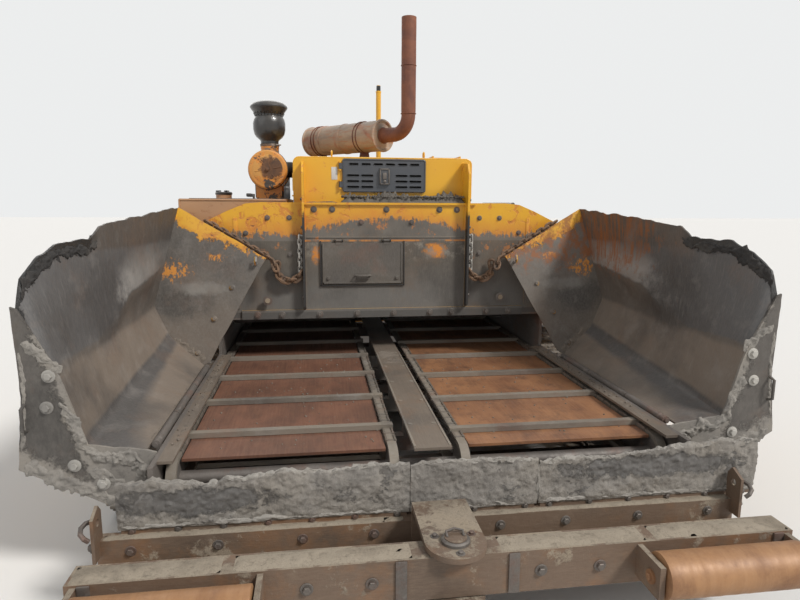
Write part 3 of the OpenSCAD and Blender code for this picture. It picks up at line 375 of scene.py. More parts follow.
def make_bulkhead_paint():
    """Enamel above, rubbed to orange along its ragged lower edge, asphalt residue below."""
    f = Finish("bulkhead_paint")
    c = colours()
    x, y, z = f.split(f.at)
    across = f.math("ABSOLUTE", x)
    paint = f.use("chipped paint", **paint_values(0.35, 0.1))
    tone = f.mix(f.span(z, 0.98, 1.20), (0.140, 0.134, 0.124, 1), (0.106, 0.090, 0.072, 1))
    tone = f.mix(f.span(z, 1.345, 1.352), tone, (0.165, 0.148, 0.127, 1))
    steel = f.use("scuffed steel", Run=(7, 5, 1.0), Steel=tone, Pale=(0.25, 0.225, 0.19, 1),
                  Dark=(0.045, 0.040, 0.036, 1), Rust=(0.17, 0.10, 0.055, 1), Pale_amount=0.6,
                  Rust_amount=0.35)
    # The enamel's lower edge arches between the ribs and is level outside them
    inner = f.span(across, RIB_X - 0.004, RIB_X + 0.004, 1.0, 0.0)
    arch = f.add(f.times(inner, f.less(0.100, f.times(0.25, f.times(x, x)))), 1.392)
    drips = f.noise(f.stretched(f.at, (18, 18, 1.5)), 3.0, 8, 0.72)
    ragged = f.noise(f.at, 15.0, 9, 0.76)
    height = f.add(f.less(z, arch),
                   f.add(f.times(f.less(drips, 0.5), 0.17), f.times(f.less(ragged, 0.5), 0.22)))
    residue = f.span(height, -0.012, 0.010, 1.0, 0.0)
    worn = f.times(f.span(height, 0.0, 0.13, 1.0, 0.0), f.span(drips, 0.40, 0.56, 0.6, 1.0))
    orange = f.mix(f.span(ragged, 0.40, 0.62), c.worn_paint, (0.55, 0.20, 0.045, 1))
    colour = f.mix(worn, paint["Color"], orange)
    colour = f.mix(f.times(f.span(drips, 0.60, 0.70, 0.0, 0.55), f.span(z, 1.45, 1.56, 1.0, 0.25)),
                   colour, orange)
    colour = f.mix(residue, colour, steel["Color"])
    # Enamel left in patches, along the seam, and as flecks under the edge
    torn = f.times(f.less(ragged, 0.5), 3.2)
    left_on = f.math("MAXIMUM", spot_mask(f, x, z, (-0.466, 1.262), (0.030, 0.052), torn),
                     spot_mask(f, x, z, (0.338, 1.280), (0.062, 0.040), torn))
    seam = f.times(f.span(f.math("ABSOLUTE", f.less(z, 1.3495)), 0.003, 0.008, 1.0, 0.0), inner)
    seam = f.times(seam, f.span(f.noise(f.stretched(f.at, (1, 1, 0)), 4.3, 6, 0.65), 0.44, 0.50))
    flecks = f.times(f.span(ragged, 0.57, 0.62), f.span(height, -0.15, -0.02))
    left_on = f.math("MAXIMUM", f.math("MAXIMUM", left_on, f.times(seam, 0.8)), f.times(flecks, 0.9))
    colour = f.mix(f.times(left_on, residue), colour, orange)
    dry = f.times(f.times(f.span(ragged, 0.47, 0.60), f.span(z, 1.20, 1.26)),
                  f.span(z, 1.335, 1.345, 1.0, 0.0))
    colour = f.mix(f.times(f.times(dry, inner), 0.75), colour, (0.27, 0.245, 0.205, 1))
    # Ribs near black low down, painted shade of their shadowed sides; lower flange greasy, pegs tan
    ahead = f.span(y, FACE_Y - 0.012, FACE_Y - 0.007, 1.0, 0.0)
    rib = f.times(ahead, f.times(f.span(across, 0.60, 0.61, 1.0, 0.0), f.span(z, 0.90, 0.91)))
    rib_painted_shade = f.times(rib, f.span(f.add(z, f.times(f.less(ragged, 0.5), 0.3)), 1.50, 1.56, 1.0, 0.0))
    colour = f.mix(rib_painted_shade, colour, (0.026, 0.024, 0.023, 1))
    foot = f.span(z, 0.872, 0.880, 1.0, 0.0)
    colour = f.mix(f.times(foot, 0.55), colour, (0.05, 0.048, 0.046, 1))
    peg = f.times(ahead, f.times(f.span(across, 0.66, 0.67), f.span(z, 0.90, 0.91)))
    colour = f.mix(peg, colour, (0.33, 0.26, 0.185, 1))
    front = f.span(f.facing()[1], -0.2, 0.2, 1.0, 0.0)
    front = f.math("MAXIMUM", front, ahead)
    _, rough, rise = blend_finish(f, residue, paint, steel)
    colour = f.mix(front, paint["Color"], colour)
    return f.close(colour, rough, rise, 0.003)


def make_wing_steel():
    """Scuffed sheet and back plate, with the enamel left on the back plate and tar under the rim."""
    f = Finish("wing_steel")
    c = colours()
    x, y, z = f.split(f.at)
    out = f.less(f.math("ABSOLUTE", x), HINGE.x)
    up = f.less(z, HINGE.z)
    share = f.span(y, HOPPER_Y, WING_BACK_Y + 0.1)
    ragged = f.noise(f.at, 14.0, 10, 0.76)
    torn = f.less(ragged, 0.5)
    bend = f.times(f.less(f.noise(f.at, 3.0, 5, 0.6), 0.5), 0.14)
    behind_plane = f.less(y, f.add(f.times(up, BACK_LEAN), WING_BACK_Y))
    on_back = f.span(behind_plane, -0.006, -0.002)
    behind = f.span(behind_plane, 0.0105, 0.0125)

    # Sheet: slate above the upper fold, brown below it, painted shade darkening the lower fold
    over_low = f.less(up, f.add(f.times(share, 0.150), 0.030))
    over_high = f.less(up, f.add(f.times(share, 0.035), 0.330))
    tone = f.mix(f.span(f.add(over_high, f.times(bend, 0.4)), -0.012, 0.012), (0.185, 0.148, 0.116, 1),
                 (0.118, 0.098, 0.080, 1))
    ridge = f.add(f.add(f.span(share, 0.30, 0.47, 0.360, 0.434), f.span(share, 0.47, 0.60, 0.0, 0.091)),
                  f.span(share, 0.60, 0.93, 0.0, 0.069))
    over_ridge = f.add(f.less(up, ridge), f.times(torn, 0.05))
    tone = f.mix(f.span(over_ridge, -0.004, 0.010), tone, (0.090, 0.087, 0.086, 1))
    dark_lead = f.times(spot_mask(f, share, up, (0.40, 0.52), (0.13, 0.20), f.times(torn, 1.6)), 0.75)
    tone = f.mix(dark_lead, tone, (0.048, 0.045, 0.044, 1))
    # Painted shade in the lower fold's valley
    fold_painted_shade = f.span(f.math("ABSOLUTE", f.add(over_low, f.times(bend, 0.25))), 0.022, 0.040, 0.9, 0.0)
    tone = f.mix(fold_painted_shade, tone, (0.058, 0.056, 0.056, 1))
    shelf = f.times(f.span(f.add(share, f.times(torn, 0.5)), 0.48, 0.62),
                    f.times(f.span(over_ridge, 0.002, 0.018), f.span(over_ridge, 0.10, 0.22, 1.0, 0.0)))
    tone = f.mix(f.times(shelf, 0.85), tone, (0.31, 0.295, 0.275, 1))
    # Painted shade of the fold under the rim: a dark band below the rim from near the middle to the rear
    edge = f.times(f.span(f.add(f.less(up, 0.765), f.times(bend, 0.3)), -0.008, 0.012),
                   f.span(share, 0.34, 0.42))
    tone = f.mix(f.times(edge, 0.9), tone, (0.075, 0.062, 0.052, 1))
    # Back plate: brown grey, a dried pale patch and a dark one under it
    plate = f.mix(f.span(f.add(up, bend), 0.30, 0.46), (0.150, 0.124, 0.100, 1), (0.135, 0.118, 0.100, 1))
    grease = spot_mask(f, out, up, (0.16, 0.385), (0.17, 0.095), f.times(torn, 2.0))
    plate = f.mix(f.times(grease, 0.8), plate, (0.058, 0.052, 0.046, 1))
    dried = spot_mask(f, out, up, (0.045, 0.470), (0.130, 0.038), f.times(torn, 2.6))
    plate = f.mix(f.times(dried, 0.8), plate, (0.255, 0.240, 0.215, 1))
    steel = f.use("scuffed steel", Run=(2.6, 8, 0.8), Steel=f.mix(on_back, tone, plate),
                  Pale=(0.30, 0.275, 0.25, 1), Dark=(0.050, 0.046, 0.043, 1), Rust=(0.19, 0.105, 0.06, 1),
                  Pale_amount=0.72, Rust_amount=0.22)

    # Tar under the front half of the rim, rust under its rear end on the right wing
    rim = f.add(f.add(f.span(share, 0.0, 0.022, 0.590, 0.700), f.span(share, 0.022, 0.175, 0.0, 0.125)),
                f.add(f.span(share, 0.348, 0.404, 0.0, 0.053), f.span(share, 0.404, 1.0, 0.0, 0.085)))
    below = f.less(rim, up)
    wide = f.add(f.span(share, 0.02, 0.25, 0.026, 0.060), f.times(torn, 0.16))
    tar = f.times(f.span(f.less(below, wide), -0.006, 0.006, 1.0, 0.0), f.span(share, 0.36, 0.42, 1.0, 0.0))
    tar = f.times(tar, f.less(1.0, on_back))
    right = f.span(x, 0.0, 0.01)
    bloom = f.times(spot_mask(f, share, up, (0.88, 0.80), (0.30, 0.20), f.times(torn, 3.6), 0.2), right)
    bloom = f.times(bloom, f.span(f.noise(f.stretched(f.at, (3, 9, 1)), 5.0, 8, 0.72), 0.42, 0.56))

    # Enamel left along the back plate's top edge, wide at the apex, and in clusters below it
    top = f.add(f.times(f.add(out, 0.360), 0.594), 0.650)
    depth = f.less(top, up)
    width = f.add(f.span(out, -0.26, 0.05, 0.006, 0.105), f.times(torn, 0.26))
    enamel = f.times(f.span(f.less(depth, width), -0.004, 0.006, 1.0, 0.0), on_back)
    clusters = f.math("MAXIMUM",
                      spot_mask(f, out, up, (0.190, 0.585), (0.110, 0.075), f.times(torn, 1.2), 0.5),
                      spot_mask(f, out, up, (-0.055, 0.655), (0.070, 0.036), f.times(torn, 1.2), 0.5))
    sparse = f.span(depth, 0.16, 0.02, 0.0, 0.62)
    flecks = f.span(f.add(f.noise(f.stretched(f.at, (1.5, 1, 0.9)), 26.0, 8, 0.74),
                          f.times(f.math("MAXIMUM", clusters, sparse), 0.17)), 0.66, 0.70)
    flecks = f.times(flecks, f.times(on_back, f.math("MAXIMUM", clusters, sparse)))
    # The sheet's outside is painted, worn and dusty
    way = f.facing()
    side_way = f.times(way[0], f.span(x, -0.01, 0.01, -1.0, 1.0))
    outside = f.span(f.less(side_way, f.times(way[2], 0.35)), 0.12, 0.20)
    outside = f.times(outside, f.less(1.0, on_back))
    enamel = f.math("MAXIMUM", enamel, f.math("MAXIMUM", behind, outside))
    tar = f.times(tar, f.less(1.0, outside))
    bloom = f.times(bloom, f.less(1.0, outside))
    paint = f.use("chipped paint", **paint_values(0.36, 0.5))
    colour, rough, rise = blend_finish(f, enamel, steel, paint)
    rubbed = f.times(f.span(f.less(depth, width), -0.045, -0.004, 0.0, 0.6), f.times(on_back, enamel))
    colour = f.mix(rubbed, colour, c.worn_paint)
    colour = f.mix(f.times(flecks, 0.95), colour, (0.62, 0.25, 0.04, 1))
    colour = f.mix(f.times(bloom, 0.85), colour, (0.26, 0.090, 0.025, 1))
    colour = f.mix(tar, colour, (0.020, 0.019, 0.018, 1))
    rough = f.less(rough, f.times(tar, 0.18))
    rise = f.add(rise, f.times(tar, f.times(ragged, 1.6)))
    return f.close(colour, rough, rise, 0.004)


def make_steel(name, run, pale, rusty, depth=0.003, metallic=0.35, steel=None):
    """Scuffed steel in the shared colours, or with a steel colour of its own."""
    f = Finish(name, metallic=metallic)
    c = colours()
    s = f.use("scuffed steel", Run=run, Steel=steel or c.steel, Pale=c.pale_steel,
              Dark=c.dark_steel, Rust=c.rust, Pale_amount=pale, Rust_amount=rusty)
    return f.close(s["Color"], s["Roughness"], s["Height"], depth)


def make_front_plate():
    """Front plates of the wings: dark greasy steel, crusted along the foot and beside the sheet."""
    f = Finish("front_plate")
    x, _, z = f.split(f.at)
    out = f.less(f.math("ABSOLUTE", x), HINGE.x)
    up = f.less(z, HINGE.z)
    torn = f.less(f.noise(f.at, 13.0, 10, 0.78), 0.5)
    steel = f.use("scuffed steel", Run=(2, 2, 1), Steel=(0.088, 0.078, 0.069, 1), Pale=(0.25, 0.23, 0.205, 1),
                  Dark=(0.042, 0.039, 0.036, 1), Rust=(0.17, 0.10, 0.06, 1), Pale_amount=0.55,
                  Rust_amount=0.3)
    crust = f.use("asphalt crust", Crust=(0.255, 0.235, 0.21, 1), Stone=(0.085, 0.078, 0.070, 1),
                  Tan=(0.30, 0.26, 0.205, 1), Scale=1.2)
    foot = f.less(up, f.add(f.times(f.math("MAXIMUM", f.less(out, 0.165), 0.0), 0.514), -0.240))
    low_crust = f.span(f.add(foot, f.times(torn, 0.34)), 0.085, 0.120, 1.0, 0.0)
    beside = f.less(out, f.add(f.times(f.less(up, 0.030), 0.283), 0.250))
    side_crust = f.span(f.add(beside, f.times(torn, 0.26)), 0.028, 0.052, 1.0, 0.0)
    crusted = f.math("MAXIMUM", low_crust, side_crust)
    colour, rough, rise = blend_finish(f, crusted, steel, crust)
    return f.close(colour, rough, f.add(rise, f.times(crusted, 0.6)), 0.005)


def make_floor_rust():
    """Floor plates, red brown left and golden right, drawn fine along Y, and grey brown guards and cover."""
    f = Finish("floor_rust", metallic=0.1)
    x, _, z = f.split(f.at)
    c = colours()
    streak = f.noise(f.stretched(f.at, (30, 1.6, 1)), 3.0, 7, 0.72)
    broad = f.noise(f.stretched(f.at, (1.6, 1, 1)), 3.4, 8, 0.66)
    stain = f.noise(f.stretched(f.at, (1.2, 0.8, 1)), 6.5, 9, 0.74)
    spots = f.noise(f.at, 42.0, 6, 0.7)
    side = f.span(f.add(x, f.times(f.less(broad, 0.5), 0.6)), -0.12, 0.12)
    plate = f.mix(side, (0.185, 0.084, 0.053, 1), (0.330, 0.158, 0.074, 1))
    deep = f.mix(side, (0.105, 0.050, 0.035, 1), (0.185, 0.082, 0.042, 1))
    colour = f.mix(f.span(broad, 0.36, 0.62), deep, plate)
    colour = f.mix(f.span(streak, 0.36, 0.66, 0.0, 0.15), colour, (0.40, 0.225, 0.13, 1))
    colour = f.mix(f.span(stain, 0.50, 0.64, 0.0, 0.55), colour, (0.095, 0.050, 0.034, 1))
    colour = f.mix(f.span(spots, 0.60, 0.72, 0.0, 0.5), colour, (0.060, 0.040, 0.032, 1))
    steel = f.use("scuffed steel", Run=(6, 0.8, 6), Steel=(0.165, 0.132, 0.104, 1),
                  Pale=(0.30, 0.26, 0.21, 1), Dark=c.dark_steel, Rust=(0.21, 0.115, 0.06, 1), Pale_amount=0.5,
                  Rust_amount=0.5)
    raised = f.span(z, 0.562, 0.566)
    colour = f.mix(raised, colour, steel["Color"])
    rough = f.span(streak, 0.35, 0.7, 0.60, 0.46)
    return f.close(colour, rough, f.add(f.times(streak, 0.4), f.times(spots, 0.5)), 0.0012)


def make_crust(name, scale, stone, crust, depth=0.008):
    """Dried asphalt in its own tones, a third of the way to dust where it is tan."""
    f = Finish(name)
    k = f.use("asphalt crust", Crust=crust, Stone=stone, Tan=f.mix(0.35, crust, colours().dust), Scale=scale)
    return f.close(k["Color"], k["Roughness"], k["Height"], depth)


def make_flap_crust():
    """Rubber under dried asphalt: smooth slate where it peeled, pale and lumpy elsewhere."""
    f = Finish("flap_crust")
    x, _, z = f.split(f.at)
    crust = f.use("asphalt crust", Crust=(0.275, 0.255, 0.230, 1), Stone=(0.095, 0.087, 0.078, 1),
                  Tan=(0.32, 0.28, 0.225, 1), Scale=1.5)
    smooth = f.use("scuffed steel", Run=(1, 1, 4), Steel=(0.128, 0.121, 0.114, 1),
                   Pale=(0.26, 0.245, 0.225, 1), Dark=(0.072, 0.069, 0.066, 1), Rust=(0.18, 0.15, 0.12, 1),
                   Pale_amount=0.8, Rust_amount=0.3)
    torn = f.times(f.less(f.noise(f.at, 9.0, 10, 0.78), 0.5), 3.0)
    bare = f.math("MAXIMUM", spot_mask(f, x, z, (-0.960, 0.465), (0.290, 0.052), torn, 0.12),
                  spot_mask(f, x, z, (0.940, 0.500), (0.360, 0.046), torn, 0.12))
    bare = f.math("MAXIMUM", bare,
                  f.times(f.span(f.noise(f.stretched(f.at, (1, 1, 1.6)), 6.5, 9, 0.72), 0.60, 0.62), 0.8))
    grit = f.noise(f.at, 170.0, 4, 0.75)
    colour, rough, height = blend_finish(f, bare, crust, smooth)
    colour = f.mix(f.span(grit, 0.58, 0.72, 0.0, 0.45), colour, (0.36, 0.34, 0.31, 1))
    colour = f.mix(f.span(grit, 0.30, 0.42, 0.45, 0.0), colour, (0.075, 0.070, 0.064, 1))
    height = f.add(height, f.add(f.times(f.less(1.0, bare), 0.5), f.times(grit, 0.22)))
    return f.close(colour, rough, height, 0.007)


def make_nose_steel():
    """Beams at the front: brown greasy steel, crusted where they face up."""
    f = Finish("nose_steel")
    steel = f.use("scuffed steel", Run=(0.8, 6, 6), Steel=(0.138, 0.091, 0.062, 1),
                  Pale=(0.29, 0.220, 0.158, 1), Dark=(0.050, 0.036, 0.027, 1), Rust=(0.22, 0.105, 0.045, 1),
                  Pale_amount=0.55, Rust_amount=0.65)
    crust = f.use("asphalt crust", Crust=(0.30, 0.25, 0.19, 1), Stone=(0.085, 0.064, 0.045, 1),
                  Tan=(0.33, 0.26, 0.18, 1), Scale=1.5)
    up = f.facing()[2]
    spread = f.noise(f.at, 6.5, 9, 0.70)
    mask = f.span(f.add(f.times(f.span(up, 0.3, 0.9), 0.16), spread), 0.60, 0.66)
    colour, rough, height = blend_finish(f, mask, steel, crust)
    return f.close(colour, rough, height, 0.006)


def make_rust(name, dark, light, scale=1.0, rough_shift=0.0):
    """Rust over the whole piece, from a dark to a light tone."""
    f = Finish(name)
    r = f.use("rust", Dark=dark, Light=light, Scale=scale)
    return f.close(r["Color"], f.add(r["Roughness"], rough_shift), r["Height"], 0.0015)


def make_cleaner_end():
    """End of the air cleaner: faded enamel, one half eaten by brown rust."""
    f = Finish("cleaner_end")
    x, _, z = f.split(f.at)
    paint = f.use("chipped paint", **paint_values(0.6, 0.3, (0.60, 0.30, 0.07, 1)))
    rust = f.use("rust", Dark=(0.06, 0.032, 0.02, 1), Light=(0.20, 0.095, 0.045, 1), Scale=2.5)
    torn = f.times(f.less(f.noise(f.at, 22.0, 8, 0.72), 0.5), 2.0)
    eaten = spot_mask(f, x, z, (-0.770, 1.838), (0.082, 0.085), torn, 0.15)
    colour, rough, height = blend_finish(f, eaten, paint, rust)
    return f.close(colour, rough, height, 0.002)


def make_muffler_paint():
    """Tan heat paint gone pink and grey, rusting from the ends and seams."""
    f = Finish("muffler_paint")
    rust = f.use("rust", Dark=(0.20, 0.07, 0.04, 1), Light=(0.47, 0.21, 0.13, 1), Scale=1.4)
    tone = f.noise(f.stretched(f.at, (1.2, 1.2, 3)), 5.0, 7, 0.65, 0.6)
    streak = f.noise(f.stretched(f.at, (2, 2, 14)), 4.0, 6, 0.6, 0.2)
    colour = f.mix(f.span(tone, 0.35, 0.62), (0.30, 0.24, 0.19, 1), (0.44, 0.33, 0.24, 1))
    colour = f.mix(f.span(streak, 0.52, 0.68, 0.0, 0.7), colour, (0.42, 0.17, 0.075, 1))
    mask = f.span(f.noise(f.at, 3.3, 8, 0.7, 0.8), 0.54, 0.64, 0.0, 0.8)
    colour = f.mix(mask, colour, rust["Color"])
    return f.close(colour, f.span(tone, 0.3, 0.7, 0.5, 0.72), rust["Height"], 0.0012)


def make_roller_bronze():
    """Push rollers: amber brown, polished by tyres in broad bands, darker where they never touch."""
    f = Finish("roller_bronze", metallic=0.1)
    ring = f.noise(f.stretched(f.at, (9, 0.6, 0.6)), 4.0, 6, 0.66)
    patch = f.noise(f.at, 7.0, 8, 0.7)
    rust = f.use("rust", Dark=(0.17, 0.075, 0.035, 1), Light=(0.36, 0.18, 0.075, 1), Scale=1.4)
    colour = f.mix(f.times(f.span(ring, 0.30, 0.62, 0.45, 0.85), f.span(patch, 0.40, 0.55, 0.35, 0.9)),
                   rust["Color"], (0.39, 0.215, 0.105, 1))
    return f.close(colour, f.span(ring, 0.35, 0.65, 0.60, 0.48),
                   f.add(f.times(ring, 0.3), rust["Height"]), 0.001)


def make_track_steel():
    """Track shoes and rollers: dark steel with packed dust."""
    f = Finish("track_steel", metallic=0.25)
    steel = f.use("scuffed steel", Run=(1, 1, 1), Steel=(0.075, 0.065, 0.058, 1), Pale=(0.22, 0.19, 0.16, 1),
                  Dark=(0.03, 0.028, 0.026, 1), Rust=(0.16, 0.08, 0.04, 1), Pale_amount=0.5, Rust_amount=0.5)
    dust = f.span(f.noise(f.at, 7.0, 7, 0.65, 0.5), 0.44, 0.62, 0.0, 0.65)
    colour = f.mix(dust, steel["Color"], colours().dust)
    return f.close(colour, steel["Roughness"], steel["Height"], 0.004)


def make_plastic(name, colour, rough, dust, grain=140.0, **plain):
    """Moulded black plastic, rubber or vinyl with a fine grain and dust."""
    f = Finish(name, **plain)
    fine = f.noise(f.at, grain, 3, 0.6)
    broad = f.noise(f.at, 5.0, 6, 0.65, 0.5)
    up = f.facing()[2]
    settled = f.times(f.span(up, 0.0, 1.0, 0.25, 1.0), f.span(broad, 0.35, 0.7, 0.0, dust))
    tone = f.mix(settled, colour, colours().dust)
    return f.close(tone, f.add(f.times(settled, 0.4), rough), f.add(fine, f.times(broad, 0.6)), 0.0008)


def make_chrome():
    """Polished cylinder rods with an oily film."""
    f = Finish("chrome_rod", metallic=1.0)
    film = f.noise(f.stretched(f.at, (6, 6, 1)), 9.0, 6, 0.65, 0.4)
    colour = f.mix(f.span(film, 0.5, 0.75, 0.0, 0.5), (0.62, 0.62, 0.61, 1), (0.30, 0.26, 0.21, 1))
    return f.close(colour, f.span(film, 0.4, 0.7, 0.10, 0.34), film, 0.0003)


def make_tunnel_dark():
    """Nearly black steel inside the conveyors' tunnel, where its darkness is painted shade, and behind the
    grille.
    """
    f = Finish("tunnel_dark")
    s = f.use("scuffed steel", Run=(2, 2, 2), Steel=(0.03, 0.027, 0.025, 1), Pale=(0.07, 0.065, 0.06, 1),
              Dark=(0.012, 0.011, 0.011, 1), Rust=(0.05, 0.03, 0.02, 1), Pale_amount=0.4, Rust_amount=0.4)
    return f.close(s["Color"], s["Roughness"], s["Height"], 0.004)


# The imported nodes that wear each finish
FINISH_NODES = {
    "body_paint": "tank_right mast tow_arms", "bulkhead_paint": "bulkhead", "tank_paint": "tank_left",
    "hood_paint": "hood hood_door_left hood_door_right", "fender_paint": "fenders track_frames auger_frame",
    "screed_paint": "screed_frame extension_left extension_right", "cleaner_paint": "air_cleaner",
    "grille_paint": "grille_door", "deck_metal": "operator_deck", "frame_steel": "main_frame",
    "engine_metal": "engine_block wing_barrel_left wing_barrel_right lift_barrel_left lift_barrel_right",
    "nose_steel": "nose_beam push_beam", "bar_steel": "conveyor_left conveyor_right screed_plate",
    "door_steel": "access_door", "wing_steel": "wing_left wing_right",
    "auger_steel": "auger_left auger_right",
    "chrome_rod": "wing_rod_left wing_rod_right lift_rod_left lift_rod_right", "floor_rust": "hopper_floor",
    "flap_crust": "apron_flaps", "track_steel": "track_left track_right track_rollers",
    "muffler_paint": "muffler", "stack_rust": "exhaust_pipe", "black_plastic": "air_precleaner",
    "hose_rubber": "air_hose", "console_plastic": "consoles", "seat_vinyl": "seats",
    "roller_bronze": "push_roller_left push_roller_right",
}


class PAVER_OT_finishes(bpy.types.Operator):
    """Make the shared shader groups and all materials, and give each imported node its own"""

    bl_idname = "paver.finishes"
    bl_label = "Finishes"

    def execute(self, context):
        GROUPS["scuffed steel"] = scuffed_steel_group()
        GROUPS["chipped paint"] = chipped_paint_group()
        GROUPS["asphalt crust"] = asphalt_crust_group()
        GROUPS["rust"] = rust_group()
        c = colours()
        make_paint("hood_paint", 0.25, 0.25)
        make_paint("body_paint", 0.35, 0.35)
        brown = (0.125, 0.075, 0.048, 1)
        make_paint("fender_paint", 0.40, 0.7)
        make_paint("screed_paint", 0.38, 0.8)
        make_paint("tank_paint", 0.30, 0.5, c.old_paint, (0.37, 0.175, 0.075, 1))
        make_paint("cleaner_paint", 0.6, 0.4, (0.60, 0.27, 0.05, 1))
        make_paint("grille_paint", 0.1, 0.2, c.slate, (0.075, 0.068, 0.062, 1))
        make_paint("engine_metal", 0.3, 0.5, (0.03, 0.03, 0.032, 1), brown)
        make_paint("dark_paint", 0.45, 0.5, (0.035, 0.035, 0.036, 1), brown)
        make_paint("deck_metal", 0.35, 0.8, (0.05, 0.05, 0.052, 1), brown)
        make_bulkhead_paint()
        make_wing_steel()
        make_steel("frame_steel", (5, 1, 5), 0.4, 0.5)
        make_steel("bar_steel", (1, 6, 6), 1.0, 0.35, 0.003, 0.1, (0.225, 0.192, 0.152, 1))
        make_steel("door_steel", (5, 5, 1.2), 0.45, 0.3, 0.003, 0.0, (0.110, 0.094, 0.076, 1))
        make_steel("auger_steel", (2, 2, 2), 0.7, 0.6)
        make_steel("bolt_steel", (4, 4, 4), 1.0, 0.5, 0.001, 0.7)
        make_steel("pale_bolt", (4, 4, 4), 1.0, 0.1, 0.001, 0.1, (0.46, 0.44, 0.40, 1))
        make_steel("latch_steel", (4, 4, 4), 1.0, 0.1, 0.0006, 0.9)
        make_front_plate()
        make_floor_rust()
        make_flap_crust()
        make_crust("lump_crust_pale", 1.0, (0.12, 0.10, 0.08, 1), (0.34, 0.32, 0.29, 1))
        make_crust("plate_crust", 2.2, (0.085, 0.078, 0.070, 1), (0.285, 0.265, 0.238, 1), 0.006)
        make_crust("dusty_crust", 2.0, (0.075, 0.062, 0.050, 1), (0.190, 0.158, 0.128, 1), 0.005)
        make_crust("beam_crust", 1.8, (0.095, 0.074, 0.052, 1), (0.330, 0.280, 0.215, 1), 0.006)
        make_crust("gravel", 1.6, (0.03, 0.028, 0.026, 1), (0.135, 0.120, 0.102, 1))
        make_crust("tar", 1.3, (0.012, 0.011, 0.011, 1), (0.040, 0.037, 0.035, 1))
        make_nose_steel()
        make_rust("stack_rust", (0.11, 0.035, 0.022, 1), (0.25, 0.095, 0.05, 1), 1.2, -0.12)
        make_rust("chain_rust", (0.07, 0.045, 0.03, 1), (0.24, 0.14, 0.08, 1), 4.0)
        make_cleaner_end()
        make_muffler_paint()
        make_roller_bronze()
        make_track_steel()
        make_steel("link_steel", (2, 2, 2), 0.7, 0.4, 0.002, 0.1, (0.125, 0.103, 0.080, 1))
        make_plastic("black_plastic", c.black, 0.28, 0.35, Coat_Weight=0.3)
        make_plastic("hose_rubber", c.black, 0.55, 0.5)
        make_plastic("console_plastic", (0.03, 0.03, 0.032, 1), 0.5, 0.6)
        make_plastic("seat_vinyl", (0.016, 0.016, 0.018, 1), 0.42, 0.5, 220.0)
        make_plastic("label_white", (0.62, 0.61, 0.58, 1), 0.5, 0.3)
        make_plastic("lens_red", (0.45, 0.02, 0.015, 1), 0.2, 0.1)
        make_chrome()
        make_tunnel_dark()
        for finish, nodes in FINISH_NODES.items():
            for node in nodes.split():
                for slot in NODES[node].material_slots:
                    slot.material = MATERIALS[finish]
        return {"FINISHED"}


# The record's slot of each finish
SLOT_FINISHES = {
    "yellow_paint": "hood_paint body_paint fender_paint screed_paint bulkhead_paint",
    "orange_paint": "tank_paint cleaner_paint cleaner_end lens_red", "grille_paint": "grille_paint",
    "worn_steel": "wing_steel front_plate door_steel bolt_steel pale_bolt bar_steel auger_steel frame_steel "
                  "nose_steel link_steel",
    "chrome_rod": "chrome_rod latch_steel", "track_steel": "track_steel", "seat_vinyl": "seat_vinyl",
    "crusted_rubber": "flap_crust lump_crust_pale plate_crust dusty_crust beam_crust gravel tar",
    "rusty_plate": "floor_rust chain_rust", "rusty_muffler": "stack_rust muffler_paint",
    "rusty_roller": "roller_bronze", "dark_metal": "engine_metal dark_paint deck_metal tunnel_dark",
    "black_plastic": "black_plastic hose_rubber console_plastic label_white",
}
FINISH_SLOT = {finish: slot for slot, names in SLOT_FINISHES.items() for finish in names.split()}


def lean_y(z):
    """Place of the wings' back plates along Y at a height."""
    return WING_BACK_Y + BACK_LEAN * (z - HINGE.z)


def rng(name):
    """Random numbers that are the same each run."""
    return random.Random(name)


def lumps(place, scale):
    """Smooth noise in -1 to 1 at a place."""
    roughness, step, octaves = 0.9, 2.1, 3
    return noise.fractal(Vector(place) * scale, roughness, step, octaves)


def around(count, start=0.0):
    """Angles evenly round a circle, in radians, from a start in degrees."""
    return [math.radians(start) + 2 * math.pi * k / count for k in range(count)]


def arc(start, step, count):
    """Angles of a part of a circle, in radians, from a start and a step in degrees."""
    return [math.radians(start + step * k) for k in range(count)]


def hoop(centre, radius, count, across=X_WAY, up=Y_WAY):
    """Points of a circle in the plane of two ways."""
    return [Vector(centre) + (across * math.cos(a) + up * math.sin(a)) * radius for a in around(count)]


